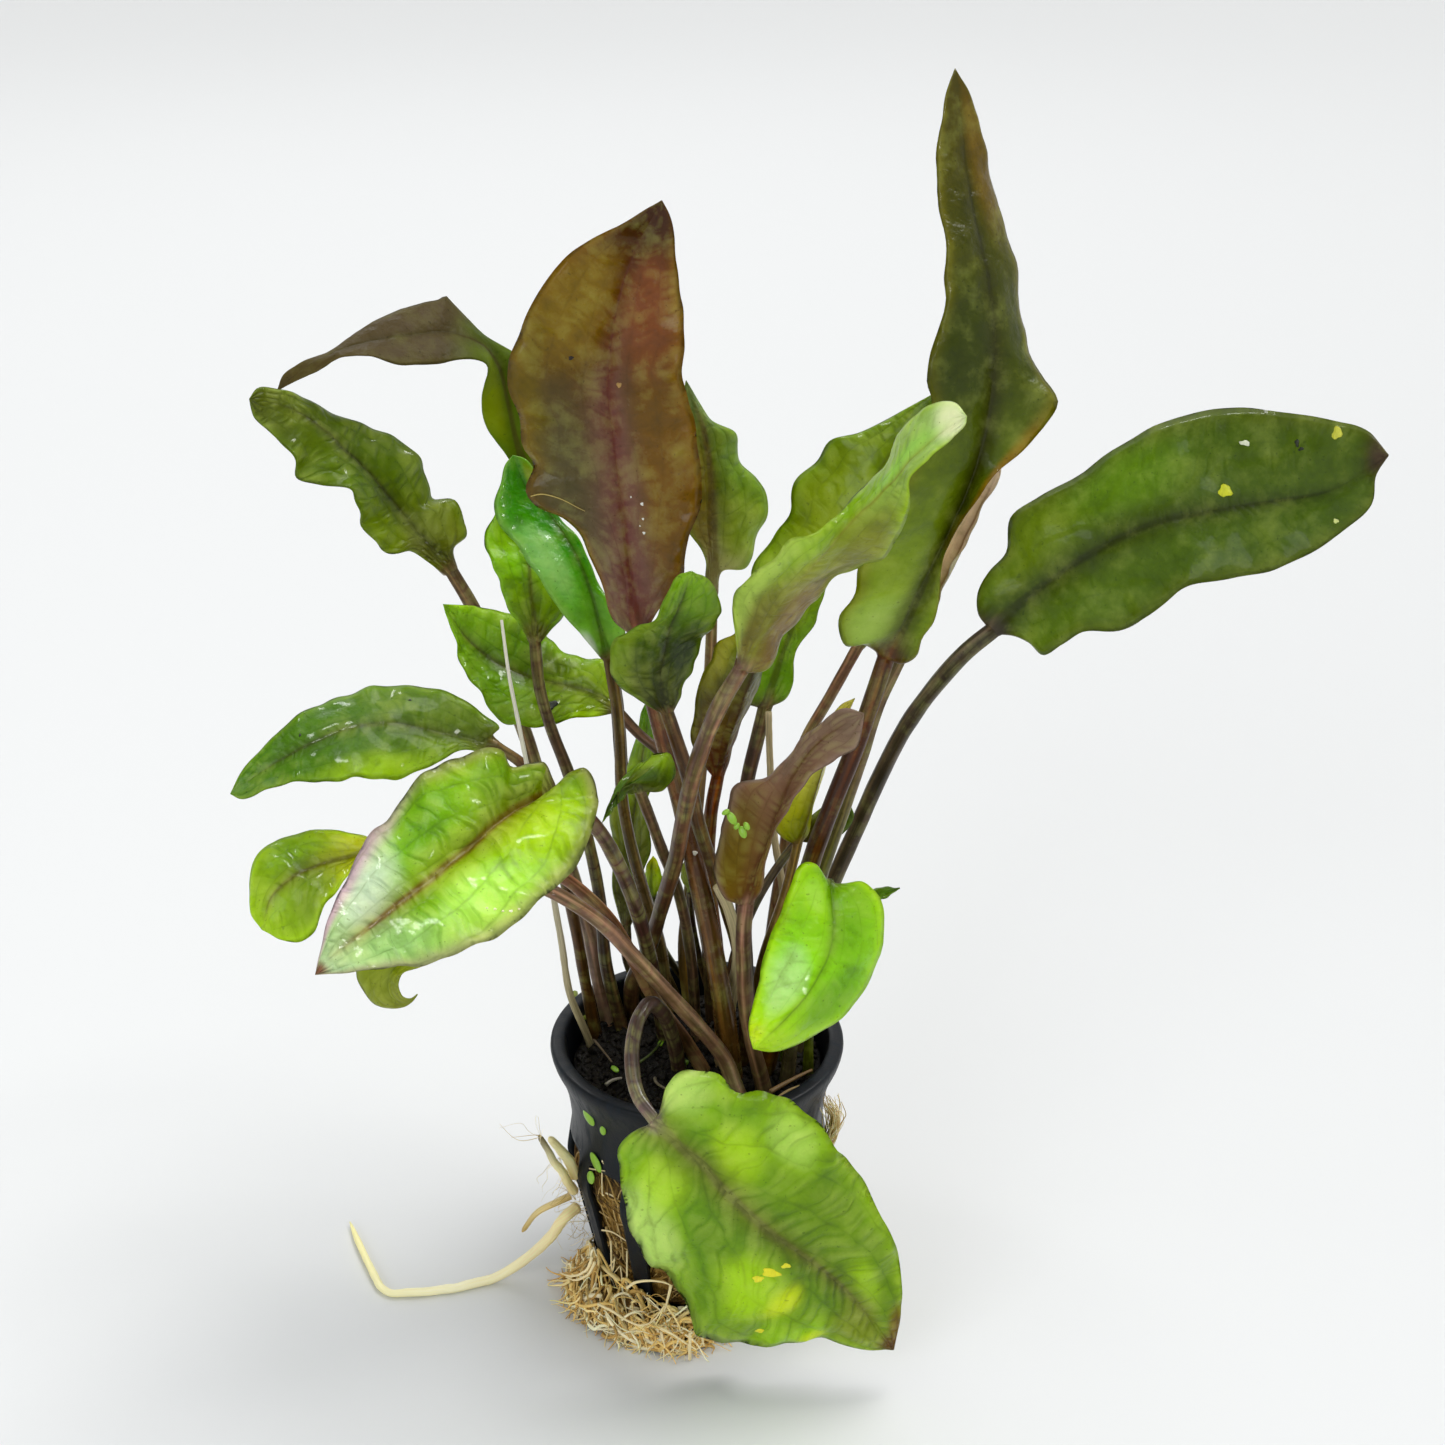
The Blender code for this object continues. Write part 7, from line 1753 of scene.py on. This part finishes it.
def addFloor(look):
    # painted board, flat round the plant and lifted far out like a studio sweep:
    # z = lift * max(0, distance - flat)^2, all in metres
    steps = np.linspace(-look["half"], look["half"], look["cells"] + 1)
    y, x = np.meshgrid(steps, steps, indexing="ij")
    z = look["lift"] * np.maximum(np.hypot(x, y) - look["flat"], 0.0) ** 2
    mesh = bpy.data.meshes.new("floor")
    row = np.arange(look["cells"] ** 2) // look["cells"] * (look["cells"] + 1) + np.arange(look["cells"] ** 2) % look["cells"]
    corners = np.column_stack((row, row + 1, row + look["cells"] + 2, row + look["cells"] + 1))
    mesh.from_pydata(np.column_stack((x.ravel(), y.ravel(), z.ravel())), [], corners.tolist())
    mesh.shade_smooth()
    floor = bpy.data.objects.new("floor", mesh)
    bpy.context.collection.objects.link(floor)
    material, tree = newMaterial("palePaintedBoard")
    shader = addNode(tree, "ShaderNodeBsdfPrincipled", {"Base Color": paint(look["paint"]),
                                                        "Roughness": look["roughness"]})
    addNode(tree, "ShaderNodeOutputMaterial", links={"Surface": shader.outputs[0]})
    mesh.materials.append(material)


def aim(thing, standing, target):
    # stands at a place and looks at a target, with its own up kept upright
    thing.location = standing
    way = np.array(target) - np.array(standing)
    flat = math.hypot(way[0], way[1])
    thing.rotation_euler = (math.atan2(flat, -way[2]), 0.0, math.atan2(-way[0], way[1]))


addFloor(floorLook)
sun = bpy.data.lights.new("sun", "SUN")
sun.energy, sun.angle, sun.color = sunLook["strength"], math.radians(sunLook["spread"]), sunLook["colour"]
sunHolder = bpy.data.objects.new("sun", sun)
bpy.context.collection.objects.link(sunHolder)
aim(sunHolder, sunLook["from"], (0.0, 0.0, 0.0))
for lightName, look in (softBoxes | glints).items():
    lamp = bpy.data.lights.new(lightName, "AREA")
    lamp.energy, lamp.size, lamp.color = look["power"], look["size"], look["colour"]
    holder = bpy.data.objects.new(lightName, lamp)
    holder.visible_diffuse = holder.visible_transmission = lightName not in glints
    holder.visible_camera = False
    bpy.context.collection.objects.link(holder)
    aim(holder, look["at"], look["to"])
world = bpy.data.worlds.new("softStudio")
world.use_nodes = True
sky = world.node_tree.nodes["Background"]
sky.inputs["Color"].default_value = paint(worldLook["paint"])
sky.inputs["Strength"].default_value = worldLook["strength"]
bpy.context.scene.world = world

lens = bpy.data.cameras.new("camera")
lens.lens, lens.sensor_width, lens.sensor_fit = 60.0, 36.0, "HORIZONTAL"
lens.clip_start, lens.clip_end = 0.02, 20.0
camera = bpy.data.objects.new("camera", lens)
bpy.context.collection.objects.link(camera)
camera.location = [value * mm for value in view["eye"]]
camera.rotation_euler = (math.pi / 2.0 - view["pitch"], 0.0, 0.0)
bpy.context.scene.camera = camera
bpy.context.scene.view_settings.view_transform = "Standard"
print("floor, light and camera are set")
